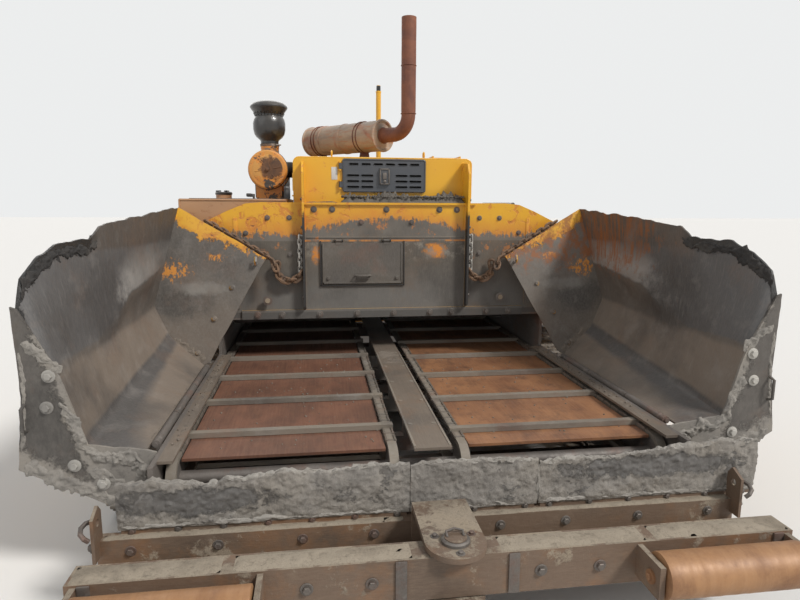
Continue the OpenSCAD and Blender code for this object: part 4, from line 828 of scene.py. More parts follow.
class Shape:
    """A mesh in the making, in metres."""

    def __init__(self):
        self.bm = bmesh.new()

    def faces_of(self, rings, ends=True):
        """Skins rings of points, each with as many points, and closes the first and last ring."""
        rows = [[self.bm.verts.new(p) for p in ring] for ring in rings]
        count = len(rows[0])
        for a, b in zip(rows, rows[1:]):
            for i in range(count):
                j = (i + 1) % count
                self.bm.faces.new((a[i], a[j], b[j], b[i]))
        if ends:
            self.bm.faces.new(rows[0][::-1])
            self.bm.faces.new(rows[-1])
        return rows

    def block(self, low_corner, high_corner, soft=0.0, turn=None, about=None):
        """A box by its corners, with soft edges, turned about a place."""
        a, b = Vector(low_corner), Vector(high_corner)
        new = bmesh.ops.create_cube(self.bm, size=1.0)["verts"]
        size = b - a
        bmesh.ops.scale(self.bm, vec=size, verts=new)
        bmesh.ops.translate(self.bm, vec=(a + b) / 2, verts=new)
        if turn is not None:
            centre = Vector(about) if about is not None else (a + b) / 2
            bmesh.ops.rotate(self.bm, cent=centre, matrix=turn, verts=new)
        if soft > 0:
            edges = {e for v in new for e in v.link_edges}
            soft = min(soft, min(size) * 0.45)
            bmesh.ops.bevel(self.bm, geom=list(edges), offset=soft, segments=2, affect="EDGES", profile=0.6)

    def plate(self, outline, start, end, axis="Y", soft=0.0):
        """An outline drawn out along an axis; it lists the two other coordinates in their order."""
        def put(point, along):
            a, b = point
            return {"X": (along, a, b), "Y": (a, along, b), "Z": (a, b, along)}[axis]
        rows = self.faces_of([[put(p, start) for p in outline], [put(p, end) for p in outline]])
        if soft > 0:
            edges = {e for row in rows for v in row for e in v.link_edges}
            bmesh.ops.bevel(self.bm, geom=list(edges), offset=soft, segments=1, affect="EDGES",
                            clamp_overlap=True)

    def lathe(self, profile, base, axis=Z_WAY, segments=32):
        """A turned body: profile lists radius and distance along the axis."""
        turn = Vector(axis).normalized().to_track_quat("Z", "Y").to_matrix()
        rings = []
        for radius, along in profile:
            rings.append([Vector(base) + turn @ Vector((radius * math.cos(a), radius * math.sin(a), along))
                          for a in around(segments)])
        self.faces_of(rings)

    def bar(self, start, end, radius, segments=16):
        """A round bar with softly broken edges."""
        run = Vector(end) - Vector(start)
        soft = min(radius * 0.15, 0.003)
        long = run.length
        self.lathe([(radius - soft, 0), (radius, soft), (radius, long - soft), (radius - soft, long)],
                   start, run, segments)

    def tube(self, path, radius, segments=12, closed=False, wobble=None):
        """A round tube along points; wobble gives the radius at each."""
        points = [Vector(p) for p in path]
        rings, count = [], len(points)
        side = None
        for i, p in enumerate(points):
            before = points[i - 1] if (i or closed) else p
            after = points[(i + 1) % count] if (i < count - 1 or closed) else p
            run = (after - before).normalized()
            if side is None:
                side = run.orthogonal().normalized()
            side = (side - run * side.dot(run)).normalized()
            up = run.cross(side)
            r = wobble[i] if wobble else radius
            rings.append([p + r * (math.cos(a) * side + math.sin(a) * up) for a in around(segments)])
        rows = self.faces_of(rings, ends=not closed)
        if closed:
            a, b = rows[-1], rows[0]
            shift = min(range(segments), key=lambda s: (a[0].co - b[s].co).length)
            for k in range(segments):
                self.bm.faces.new((a[k], a[(k + 1) % segments], b[(k + 1 + shift) % segments],
                                   b[(k + shift) % segments]))

    def link(self, centre, along, side, length=0.044, width=0.026, wire=0.0065):
        """One oval link of a chain."""
        along, side = Vector(along).normalized(), Vector(side)
        side = (side - along * side.dot(along)).normalized()
        half = (length - width) / 2
        path = []
        for a in around(12):
            x = math.cos(a) * (width / 2)
            y = math.sin(a) * (width / 2) + (half if math.sin(a) >= 0 else -half)
            path.append(Vector(centre) + side * x + along * y)
        self.tube(path, wire, 6, closed=True)

    def chain(self, path, link=0.044, wire=0.0065):
        """Links along a path, each turned a quarter from the last."""
        points = [Vector(p) for p in path]
        step = link - 2 * wire * 1.15
        travelled, spots = 0.0, []
        for a, b in zip(points, points[1:]):
            length = (b - a).length
            while travelled <= length:
                spots.append((a.lerp(b, travelled / length), b - a))
                travelled += step
            travelled -= length
        for i, (spot, run) in enumerate(spots):
            across = run.orthogonal().normalized()
            other = run.normalized().cross(across)
            self.link(spot, run, across + other * 0.3 if i % 2 else other - across * 0.3, link,
                      link * 0.6, wire)

    def bolt(self, at, way, half=None, washer=1.75):
        """A hexagon head with its washer on a face that looks a way."""
        half = half or sizes().bolt
        way = Vector(way).normalized()
        if washer:
            self.lathe([(half * washer, -0.001), (half * washer, half * 0.22),
                        (half * washer * 0.93, half * 0.3)],
                       at, way, 16)
        base = Vector(at) + way * (half * 0.28 if washer else -0.001)
        self.lathe([(half * 1.1, 0), (half * 1.1, half * 0.75), (half * 0.92, half * 0.95)], base, way, 6)

    def sheet(self, rows, thick):
        """A closed sheet over rows of (point, way of its thickness)."""
        top = [[Vector(p) for p, _ in row] for row in rows]
        under = [[Vector(p) + Vector(n) * thick for p, n in row] for row in rows]
        rings = [a + b[::-1] for a, b in zip(top, under)]
        self.faces_of(rings)

    def mound(self, spots, height, cell, ground, rough, name):
        """A low heap of crust on level ground inside a box of X and Y, closed below."""
        (x0, x1), (y0, y1) = spots
        columns = max(3, int((x1 - x0) / cell))
        lines = max(3, int((y1 - y0) / cell))
        shift = Vector((len(name) * 3.1, sum(map(ord, name)) * 0.17, 0))
        rows, under = [], []
        for j in range(lines + 1):
            row = []
            for i in range(columns + 1):
                u, v = i / columns, j / lines
                x, y = x0 + (x1 - x0) * u, y0 + (y1 - y0) * v
                edge = min(u, 1 - u) * (x1 - x0) / 0.03, min(v, 1 - v) * (y1 - y0) / 0.03
                fade = min(1.0, edge[0], edge[1])
                place = Vector((x, y, 0)) + shift
                h = 0.45 + 0.55 * lumps(place, 9.0) + rough * 0.35 * lumps(place, 38.0)
                row.append((x, y, ground + max(0.0, h) * height * fade))
            rows.append(row)
            under.append([(x, y, ground - 0.003) for x, y, _ in row])
        self.faces_of([a + b[::-1] for a, b in zip(rows, under)])

    def heap(self, path, width, height, out, step=0.010, seed=0.0):
        """A ragged heap of crust along a path, risen one way from the face it lies on."""
        points, out = [Vector(p) for p in path], Vector(out).normalized()
        spots = []
        for a, b in zip(points, points[1:]):
            count = max(1, int((b - a).length / step))
            spots += [(a.lerp(b, k / count), b - a) for k in range(count)]
        spots.append((points[-1], points[-1] - points[-2]))
        rings, last = [], len(spots) - 1
        for i, (spot, run) in enumerate(spots):
            across = run.cross(out).normalized()
            ends = min(1.0, 0.2 + i / 4, 0.2 + (last - i) / 4)
            reach = []
            for way in (-1, 1):
                place = spot + across * way + Vector((seed, 0, 0))
                reach.append(width / 2 * ends * (0.8 + 0.8 * lumps(place, 11.0) + 0.5 * lumps(place, 43.0)))
            ring = []
            for k in range(13):
                u = k / 6 - 1
                at = spot + across * u * max(0.002, reach[0] if u < 0 else reach[1])
                rough = 0.50 + 0.8 * lumps(at, 23.0) + 0.8 * lumps(at, 71.0)
                ring.append(at + out * max(0.0006, height * ends * (1 - u ** 4 * 0.97) * rough))
            base = [spot + across * max(0.002, reach[1]) - out * 0.002,
                    spot - across * max(0.002, reach[0]) - out * 0.002]
            rings.append(ring + base)
        self.faces_of(rings)

    def louvres(self, x, places, lip, foot, height):
        """Louvres pressed out of a side panel at places along Y, with the depths of lip and foot."""
        for y in places:
            self.plate([(x - 0.001, y), (x + 0.012, y + 0.010), (x + 0.014, y + lip), (x - 0.001, y + foot)],
                       *height, "Z", 0.0008)

    def oil_line(self, base, way, ports, reach, radius):
        """Two ports that stand out of a cylinder's barrel to the front, and the pipe between them."""
        out = FRONT_WAY
        for along in sorted(ports):
            self.bar(base + way * along + out * reach[0], base + way * along + out * reach[1], radius, 10)
        middle = base + way * reach[2] + out * reach[3]
        ends = [base + way * along + out * reach[1] for along in ports]
        self.tube([ends[0], middle, ends[1]], radius - 0.003, 8)

    def mirrored(self):
        """Adds the same on the other side."""
        twin = bmesh.ops.duplicate(self.bm,
                                   geom=self.bm.verts[:] + self.bm.edges[:] + self.bm.faces[:])["geom"]
        verts = [g for g in twin if isinstance(g, bmesh.types.BMVert)]
        for v in verts:
            v.co.x = -v.co.x
        bmesh.ops.reverse_faces(self.bm, faces=[g for g in twin if isinstance(g, bmesh.types.BMFace)])

    def done(self, name, finish, body="tractor", replaced=(), sharp=32.0, side=RIGHT):
        """Makes the object: finish and body are settled here."""
        if side == LEFT:
            for v in self.bm.verts:
                v.co.x = -v.co.x
        bmesh.ops.recalc_face_normals(self.bm, faces=self.bm.faces[:])
        limit = math.radians(sharp)
        for face in self.bm.faces:
            face.smooth = True
        for edge in self.bm.edges:
            edge.smooth = len(edge.link_faces) != 2 or edge.calc_face_angle(0.0) < limit
        mesh = bpy.data.meshes.new(name)
        self.bm.to_mesh(mesh)
        self.bm.free()
        mesh.materials.append(MATERIALS[finish])
        obj = bpy.data.objects.new(name, mesh)
        bpy.context.scene.collection.objects.link(obj)
        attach(obj, body)
        if replaced:
            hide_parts(*replaced)
        return obj


# Wings: the fold lines across and up from the hinge at the front and at the rear
WING_FOLDS = ((0.024, 0.0, 0.024, 0.0, 0.1, -1.0), (0.250, 0.030, 0.225, 0.180, 0.6, -0.9),
              (0.335, 0.330, 0.315, 0.365, 1.0, -0.3), (0.465, 0.590, 0.170, 0.965, 1.0, 0.0))
WING_RIM = ((0.0, 0.590), (0.022, 0.700), (0.097, 0.774), (0.175, 0.825), (0.348, 0.827), (0.404, 0.880),
            (0.64, 0.920), (1.0, 0.965))


def rim_height(s):
    """Height of the wing's torn rim over the hinge, a share s from the front."""
    for (s0, z0), (s1, z1) in zip(WING_RIM, WING_RIM[1:]):
        if s <= s1:
            return z0 + (z1 - z0) * (s - s0) / (s1 - s0)
    return WING_RIM[-1][1]


def wing_place(fold, s):
    """A fold line's place and the way of the sheet's thickness, a share s from the front."""
    x0, z0, x1, z1, out, down = WING_FOLDS[fold]
    x, z = x0 + s * (x1 - x0), z0 + s * (z1 - z0)
    if fold == 3:
        z = rim_height(s)
    y_rear = WING_BACK_Y + BACK_LEAN * z
    return Vector((HINGE.x + x, HOPPER_Y + s * (y_rear - HOPPER_Y), HINGE.z + z)), Vector((out, 0, down))


def wing_profile(s):
    """Points and thickness ways across the sheet, with rounded folds."""
    steps = 12
    folds = [wing_place(i, s) for i in range(4)]
    points = []
    for i in range(3):
        (p, n), (q, m) = folds[i], folds[i + 1]
        for k in range(steps):
            t = k / steps
            points.append([p.lerp(q, t), n.lerp(m, t), i + t])
    points.append([folds[3][0], folds[3][1], 3.0])
    old = [p[0].copy() for p in points]
    for k in range(1, len(points) - 1):
        points[k][0] = old[k] * 0.64 + (old[k - 1] + old[k + 1]) * 0.18
    return points


def ridge_height(s):
    """Height over the hinge of the dented ridge above the middle fold."""
    spots = ((0.30, 0.360), (0.47, 0.434), (0.60, 0.525), (0.93, 0.594), (1.0, 0.600))
    for (s0, z0), (s1, z1) in zip(spots, spots[1:]):
        if s <= s1:
            return z0 + (z1 - z0) * max(0.0, s - s0) / (s1 - s0)
    return spots[-1][1]


def ridge_dent(s, up):
    """How far the dented ridge stands into the hopper."""
    strong = min(1.0, max(0.0, (s - 0.30) / 0.22)) * min(1.0, (1.0 - s) / 0.16)
    off = up - ridge_height(s)
    return 0.028 * strong * max(0.0, 1.0 - (off / 0.17 if off > 0 else -off / 0.10))


class PAVER_OT_wings(bpy.types.Operator):
    """Make the hopper's folding wings: dented sheets, leaning back plates and bolted front plates"""

    bl_idname = "paver.wings"
    bl_label = "Hopper wings"

    def sheet(self, side, word):
        shape = Shape()
        rows, count = [], 120
        for j in range(count + 1):
            s = j / count
            row = []
            for p, n, t in wing_profile(s):
                seed = Vector((p.x * 1.2, p.y, p.z)) + Vector((9.0 if side == RIGHT else 0.0, 0, 0))
                inner = min(1.0, s / 0.05, (1 - s) / 0.05)
                dent = 0.006 * lumps(seed, 3.2) + 0.0022 * lumps(seed, 13.0)
                at = p.copy()
                flat = Vector((-1, 0, 0.35)) if t > 1 else Z_WAY
                at += flat * dent * inner * min(1.0, t * 1.5)
                if t > 1.2:
                    at.x -= ridge_dent(s, p.z - HINGE.z)
                if t > 2.8:
                    at.z += 0.010 * lumps(seed, 11.0) * (t - 2.8) / 0.2
                    at.x += 0.006 * lumps(seed, 6.0) * (t - 2.8) / 0.2 * inner
                row.append((at, n.normalized()))
            rows.append(row)
        shape.sheet(rows, SHEET_T)
        shape.done(f"wing_sheet_{word}", "wing_steel", f"wing_{word}_body", (f"wing_{word}",), 40, side)

    def back_plate(self, side, word):
        shape = Shape()
        inner = [(-0.015, 0.027), (-0.360, 0.650)]
        outer = [(WING_FOLDS[i][2], WING_FOLDS[i][3]) for i in range(4)]
        rows, count = [], 44
        length = sum(math.dist(a, b) for a, b in zip(outer, outer[1:]))
        for j in range(count + 1):
            t = j / count
            left = Vector(inner[0]).lerp(Vector(inner[1]), t)
            left += Vector((0.006 * lumps((t * 3, 1, side), 1.3), 0))
            reach = t * length
            right = Vector(outer[0])
            for a, b in zip(outer, outer[1:]):
                step = math.dist(a, b)
                right = Vector(a).lerp(Vector(b), min(1.0, reach / step))
                if reach <= step:
                    break
                reach -= step
            row = []
            for i in range(31):
                u = left.lerp(right, i / 30)
                x, z = HINGE.x + u.x, HINGE.z + u.y
                if j == count:
                    z += 0.006 * lumps((x, side, 2), 9.0)
                dent = 0.004 * lumps((x, z, side), 4.0) * min(1, t * 4) * min(1, (30 - i) / 3)
                row.append((Vector((x, lean_y(z) - 0.0003 + dent, z)), Vector((0, 0.981, -0.193))))
            rows.append(row)
        shape.sheet(rows, SHEET_T)
        for x, z in ((0.012, 0.075), (-0.09, 0.28), (-0.20, 0.47)):
            spot = Vector((HINGE.x + x + 0.05, lean_y(HINGE.z + z), HINGE.z + z))
            shape.bolt(spot, (0, -1, BACK_LEAN), 0.011)
        # Hook that the lock chain hangs on
        top = Vector((HINGE.x - 0.30, lean_y(1.215), 1.215))
        shape.tube([top, top + Vector((0, -0.03, 0)), top + Vector((0, -0.045, 0.02)),
                    top + Vector((0, -0.03, 0.045))], 0.009, 10)
        shape.done(f"wing_back_{word}", "wing_steel", f"wing_{word}_body", (), 40, side)

    def front_plate(self, side, word):
        shape = Shape()
        y0, y1 = HOPPER_Y - 0.012, HOPPER_Y - 0.0003
        shape_out = [(-0.014, -0.012), (-0.018, -0.055), (0.030, -0.170), (0.165, -0.240), (0.515, -0.060),
                     (0.505, 0.020), (0.478, 0.240), (0.490, 0.600), (0.465, 0.590), (0.335, 0.330),
                     (0.250, 0.030), (0.024, 0.0)]
        outline = []
        for (ax, az), (bx, bz) in zip(shape_out, shape_out[1:] + shape_out[:1]):
            steps = max(1, int(math.dist((ax, az), (bx, bz)) / 0.03))
            for k in range(steps):
                t = k / steps
                x, z = ax + (bx - ax) * t, az + (bz - az) * t
                rough = 0.0035 * lumps((x, z, side), 17.0) if k else 0
                outline.append((HINGE.x + x + rough, HINGE.z + z + rough))
        shape.plate(outline, y0, y1, "Y", 0.0015)
        # Bent lifting bar near the outer edge
        shape.tube([(HINGE.x + 0.47, y0 - ahead, HINGE.z + up) for ahead, up in (
            (0, 0.10), (0.03, 0.11), (0.03, 0.20), (0, 0.21))], 0.007, 10)
        shape.done(f"wing_front_{word}", "front_plate", f"wing_{word}_body", (), 35, side)
        bolts = Shape()
        for x, z in ((0.371, 0.323), (0.388, 0.195), (0.303, -0.052), (0.197, -0.136)):
            bolts.bolt((HINGE.x + x, y0, HINGE.z + z), FRONT_WAY, 0.0145, 1.8)
        bolts.done(f"wing_front_bolts_{word}", "pale_bolt", f"wing_{word}_body", (), 35, side)

    def underside(self, side, word):
        """Knuckles, lugs, rod pin and two stiffeners under the sheet."""
        shape = Shape()
        for a, b in zip(HINGE_LUGS, HINGE_LUGS[1:]):
            y0, y1 = a + 0.023, b - 0.023
            shape.bar((HINGE.x, y0, HINGE.z), (HINGE.x, y1, HINGE.z), 0.018, 20)
            shape.block((HINGE.x + 0.002, y0, HINGE.z - 0.020),
                        (HINGE.x + 0.055, y1, HINGE.z - 0.0105), 0.002)
        for y in (-2.332, -2.280):
            shape.plate([(HINGE.x + x, HINGE.z + z) for x, z in (
                (0.115, -0.002), (0.205, -0.098), (0.235, -0.100), (0.262, -0.070), (0.262, 0.020))],
                y, y + 0.012, "Y", 0.001)
        shape.bar((HINGE.x + 0.235, -2.332, HINGE.z - 0.07), (HINGE.x + 0.235, -2.268, HINGE.z - 0.07), 0.008)
        for s in (0.30, 0.62):
            rows = []
            for p, n, t in wing_profile(s):
                if 0.9 <= t <= 2.9:
                    out = Vector((n.x, 0, n.z)).normalized()
                    start = p + out * (SHEET_T - 0.001)
                    rows.append([start + out * high_by + Y_WAY * along for high_by, along in (
                        (0, -0.03), (0.028, -0.022), (0.028, 0.022), (0, 0.03))])
            shape.faces_of(rows)
        shape.done(f"wing_under_{word}", "frame_steel", f"wing_{word}_body", (), 35, side)

    def crust(self, side, word):
        """Tar under the rim, pale crust on the front plate, along the hinge and in the rear corner."""
        body, seed = f"wing_{word}_body", 4.0 * side

        def inside(s, t):
            return min(wing_profile(s), key=lambda p: abs(p[2] - t))[0]

        tar = Shape()
        tar.heap([inside(0.012 + 0.018 * k, 2.88) for k in range(22)], 0.062, 0.011,
                 (-1, 0, 0.3), 0.007, seed)
        tar.done(f"wing_tar_{word}", "tar", body, (), 60, side)

        pale = Shape()
        y = HOPPER_Y - 0.0115

        def front(*places):
            return [(HINGE.x + px, y, HINGE.z + pz) for px, pz in places]

        out, fine = FRONT_WAY, 0.006
        pale.heap(front((0.462, 0.455), (0.400, 0.415), (0.345, 0.365), (0.325, 0.335)), 0.050, 0.010,
                  out, fine, seed)
        pale.heap(front((0.472, 0.420), (0.464, 0.300), (0.474, 0.150), (0.496, 0.020)), 0.018, 0.006,
                  out, fine, seed)
        pale.heap(front((0.340, 0.215), (0.305, 0.150), (0.285, 0.090), (0.270, 0.030), (0.225, -0.015),
                        (0.150, -0.030)), 0.050, 0.011, out, fine, seed + 2)
        pale.heap(front((0.490, -0.045), (0.400, -0.092), (0.300, -0.145), (0.150, -0.215)),
                  0.075, 0.008, out, fine, seed + 5)
        pale.heap(front((0.200, -0.028), (0.120, -0.022), (0.060, -0.045), (0.038, -0.125)),
                  0.065, 0.014, out, fine, seed + 9)
        pale.heap(front((0.250, -0.080), (0.180, -0.115), (0.110, -0.150)), 0.050, 0.008, out,
                  fine, seed + 12)
        pale.done(f"wing_crust_{word}", "plate_crust", body, (), 60, side)

        grey = Shape()
        grey.heap([inside(0.02 + 0.032 * k, 0.0) + Vector((0.008, 0, 0.001))
                   for k in range(30)], 0.014, 0.004,
                  Z_WAY, 0.010, seed)
        plate = [(0.205, 0.165), (0.150, 0.110), (0.085, 0.060), (0.015, 0.032)]
        grey.heap([(HINGE.x + px, lean_y(HINGE.z + pz), HINGE.z + pz) for px, pz in plate], 0.075, 0.009,
                  (0, -1, 0.2), 0.007, seed + 3)
        grey.done(f"wing_spill_{word}", "dusty_crust", body, (), 60, side)

    def execute(self, context):
        for word, side in SIDES.items():
            self.sheet(side, word)
            self.back_plate(side, word)
            self.front_plate(side, word)
            self.underside(side, word)
            self.crust(side, word)
        return {"FINISHED"}


FLAP_FOOT = 0.361
FLAP_Y = -2.652


class PAVER_OT_flaps(bpy.types.Operator):
    """Make the apron's torn rubber flaps under dried asphalt, with their clamp bars' bolts"""

    bl_idname = "paver.flaps"
    bl_label = "Apron flaps"

    flaps = ((-1.235, -0.112, (0.545, 0.552, 0.528, 0.548, 0.560, 0.552, 0.570, 0.565)),
             (-0.108, 0.428, (0.562, 0.568, 0.560, 0.556)),
             (0.434, 1.420, (0.545, 0.548, 0.556, 0.575, 0.590, 0.592)))

    def top_at(self, flap, x):
        left, right, heights = flap
        place = (x - left) / (right - left) * (len(heights) - 1)
        i = min(int(place), len(heights) - 2)
        return heights[i] + (heights[i + 1] - heights[i]) * (place - i)

    def execute(self, context):
        shape = Shape()
        for number, flap in enumerate(self.flaps):
            left, right = flap[0], flap[1]
            columns, rows = int((right - left) / 0.0062), 32
            rings = []
            for i in range(columns + 1):
                x = left + (right - left) * i / columns
                tear = 0.012 * lumps((x, number * 3.0, 0.0), 14.0) + 0.007 * lumps((x, 5.0, number), 42.0)
                top = self.top_at(flap, x) + tear
                ring = []
                for k in range(rows + 1):
                    z = FLAP_FOOT + (top - FLAP_FOOT) * k / rows
                    place = Vector((x, number * 2.0, z))
                    crust = sizes().crust * (0.35 + 0.9 * lumps(place, 5.0) + 0.4 * lumps(place, 24.0)
                                             + 0.30 * lumps(place, 60.0) + 0.16 * lumps(place, 130.0))
                    crust *= min(1.0, (z - FLAP_FOOT) / 0.03 + 0.25)
                    ring.append((x, FLAP_Y - 0.0043 - max(-0.004, crust), z))
                ring += [(x, FLAP_Y, top + 0.004), (x, FLAP_Y + 0.010, top - 0.003),
                         (x, FLAP_Y + 0.0115, FLAP_FOOT)]
                rings.append(ring)
            shape.faces_of(rings)
        shape.done("apron_crust", "flap_crust", replaced=("apron_flaps",), sharp=50)

        edges = Shape()
        for number, flap in enumerate(self.flaps):
            left, right = flap[0] + 0.01, flap[1] - 0.01
            count = int((right - left) / 0.03)
            top = []
            for i in range(count + 1):
                x = left + (right - left) * i / count
                tear = 0.012 * lumps((x, number * 3.0, 0.0), 14.0)
                top.append((x, FLAP_Y, self.top_at(flap, x) + tear - 0.001))
            edges.heap(top, 0.024, 0.011, (0, -0.7, 1), 0.007, number)
            edges.heap([(p[0], -2.6575, 0.374) for p in top], 0.020, 0.010, (0, -1, 0.2), 0.008, number + 5)
        for x in (-0.11, 0.431):
            edges.heap([(x, -2.657, 0.375 + 0.02 * k) for k in range(9)], 0.014, 0.006, FRONT_WAY, 0.007, x)
        edges.done("apron_edges", "lump_crust_pale", sharp=60)

        bolts = Shape()
        for left, right, _ in self.flaps:
            count = max(2, round((right - left) / 0.16))
            for i in range(count):
                x = left + 0.05 + (right - left - 0.1) * i / (count - 1)
                bolts.bolt((x, -2.6543, 0.354), FRONT_WAY, 0.009, 1.6)
        bolts.done("apron_bolts", "bolt_steel")
        return {"FINISHED"}


class PAVER_OT_asphalt(bpy.types.Operator):
    """Make the loose asphalt: gravel on the ledge, crust on the beams and spills in the hopper"""

    bl_idname = "paver.asphalt"
    bl_label = "Asphalt left on the machine"

    def stones(self, name, boxes, count, size, finish):
        """Loose stones scattered in boxes of X and Y, each box with its share of the count."""
        shape = Shape()
        chance = rng(name)
        for (x0, x1), (y0, y1), ground, share in boxes:
            for _ in range(int(count * share)):
                x, y = chance.uniform(x0, x1), chance.uniform(y0, y1)
                r = size * chance.uniform(0.45, 1.25)
                new = bmesh.ops.create_icosphere(shape.bm, subdivisions=1, radius=r)["verts"]
                centre = Vector((x, y, ground + r * 0.45))
                for v in new:
                    v.co = v.co * (1 + 0.3 * lumps(v.co * 60 + centre * 17, 1.0)) + centre
        shape.done(name, finish, sharp=60)

    def execute(self, context):
        ledge = Shape()
        ledge.mound(((-0.300, 0.535), (-0.893, -0.760)), 0.074, 0.008, LEDGE_Z, 1.6, "ledge")
        ledge.mound(((-0.535, -0.32), (-0.885, -0.76)), 0.010, 0.012, LEDGE_Z, 1.0, "ledge left")
        ledge.done("ledge_asphalt", "gravel", sharp=50)
        self.stones("ledge_gravel", (((-0.29, 0.53), (-0.888, -0.765), LEDGE_Z + 0.036, 1.0),),
                    520, 0.008, "gravel")

        beams = Shape()
        top = high("push_beam").z
        for k, (x0, x1) in enumerate(((-1.27, -0.80), (-0.76, -0.16), (0.16, 0.70), (0.74, 1.27))):
            beams.mound(((x0, x1), (-3.035, -2.945)), 0.013, 0.013, top, 1.0, f"beam {k}")
        beams.done("push_beam_crust", "beam_crust", "push_beam_body", sharp=50)
        nose = Shape()
        for k, (x0, x1) in enumerate(((-1.28, -0.14), (0.13, 1.28))):
            nose.mound(((x0, x1), (-2.695, -2.662)), 0.012, 0.011, 0.345, 1.0, f"nose {k}")
            nose.mound(((x0, x1), (-2.838, -2.705)), 0.020, 0.014, 0.250, 1.2, f"shelf {k}")
        nose.done("nose_crust", "beam_crust", sharp=50)

        # Spills along the guards and in the corners of the hopper
        spill = Shape()
        for side in SIDES.values():
            x0, x1 = sorted((side * 1.045, side * 1.097))
            spill.mound(((x0, x1), (-2.37, -1.0)), 0.007, 0.012, GUARD_TOP - 0.002, 1.6, f"guard {side}")
        spill.mound(((-0.078, 0.078), (-1.25, -0.90)), 0.008, 0.010, GUARD_TOP - 0.002, 1.8, "cover rear")
        spill.done("hopper_spill", "dusty_crust", sharp=50)
        self.stones("hopper_gravel",
                    tuple(((x - 0.02, x + 0.02), (-2.42, -0.92), GUARD_TOP + 0.001, 0.15)
                          for x in (-1.075, 1.075))
                    + (((-1.0, -0.2), (-2.40, -0.92), 0.5485, 0.45),
                       ((0.2, 1.0), (-2.40, -0.92), 0.5485, 0.45)), 240, 0.0050, "dusty_crust")
        return {"FINISHED"}


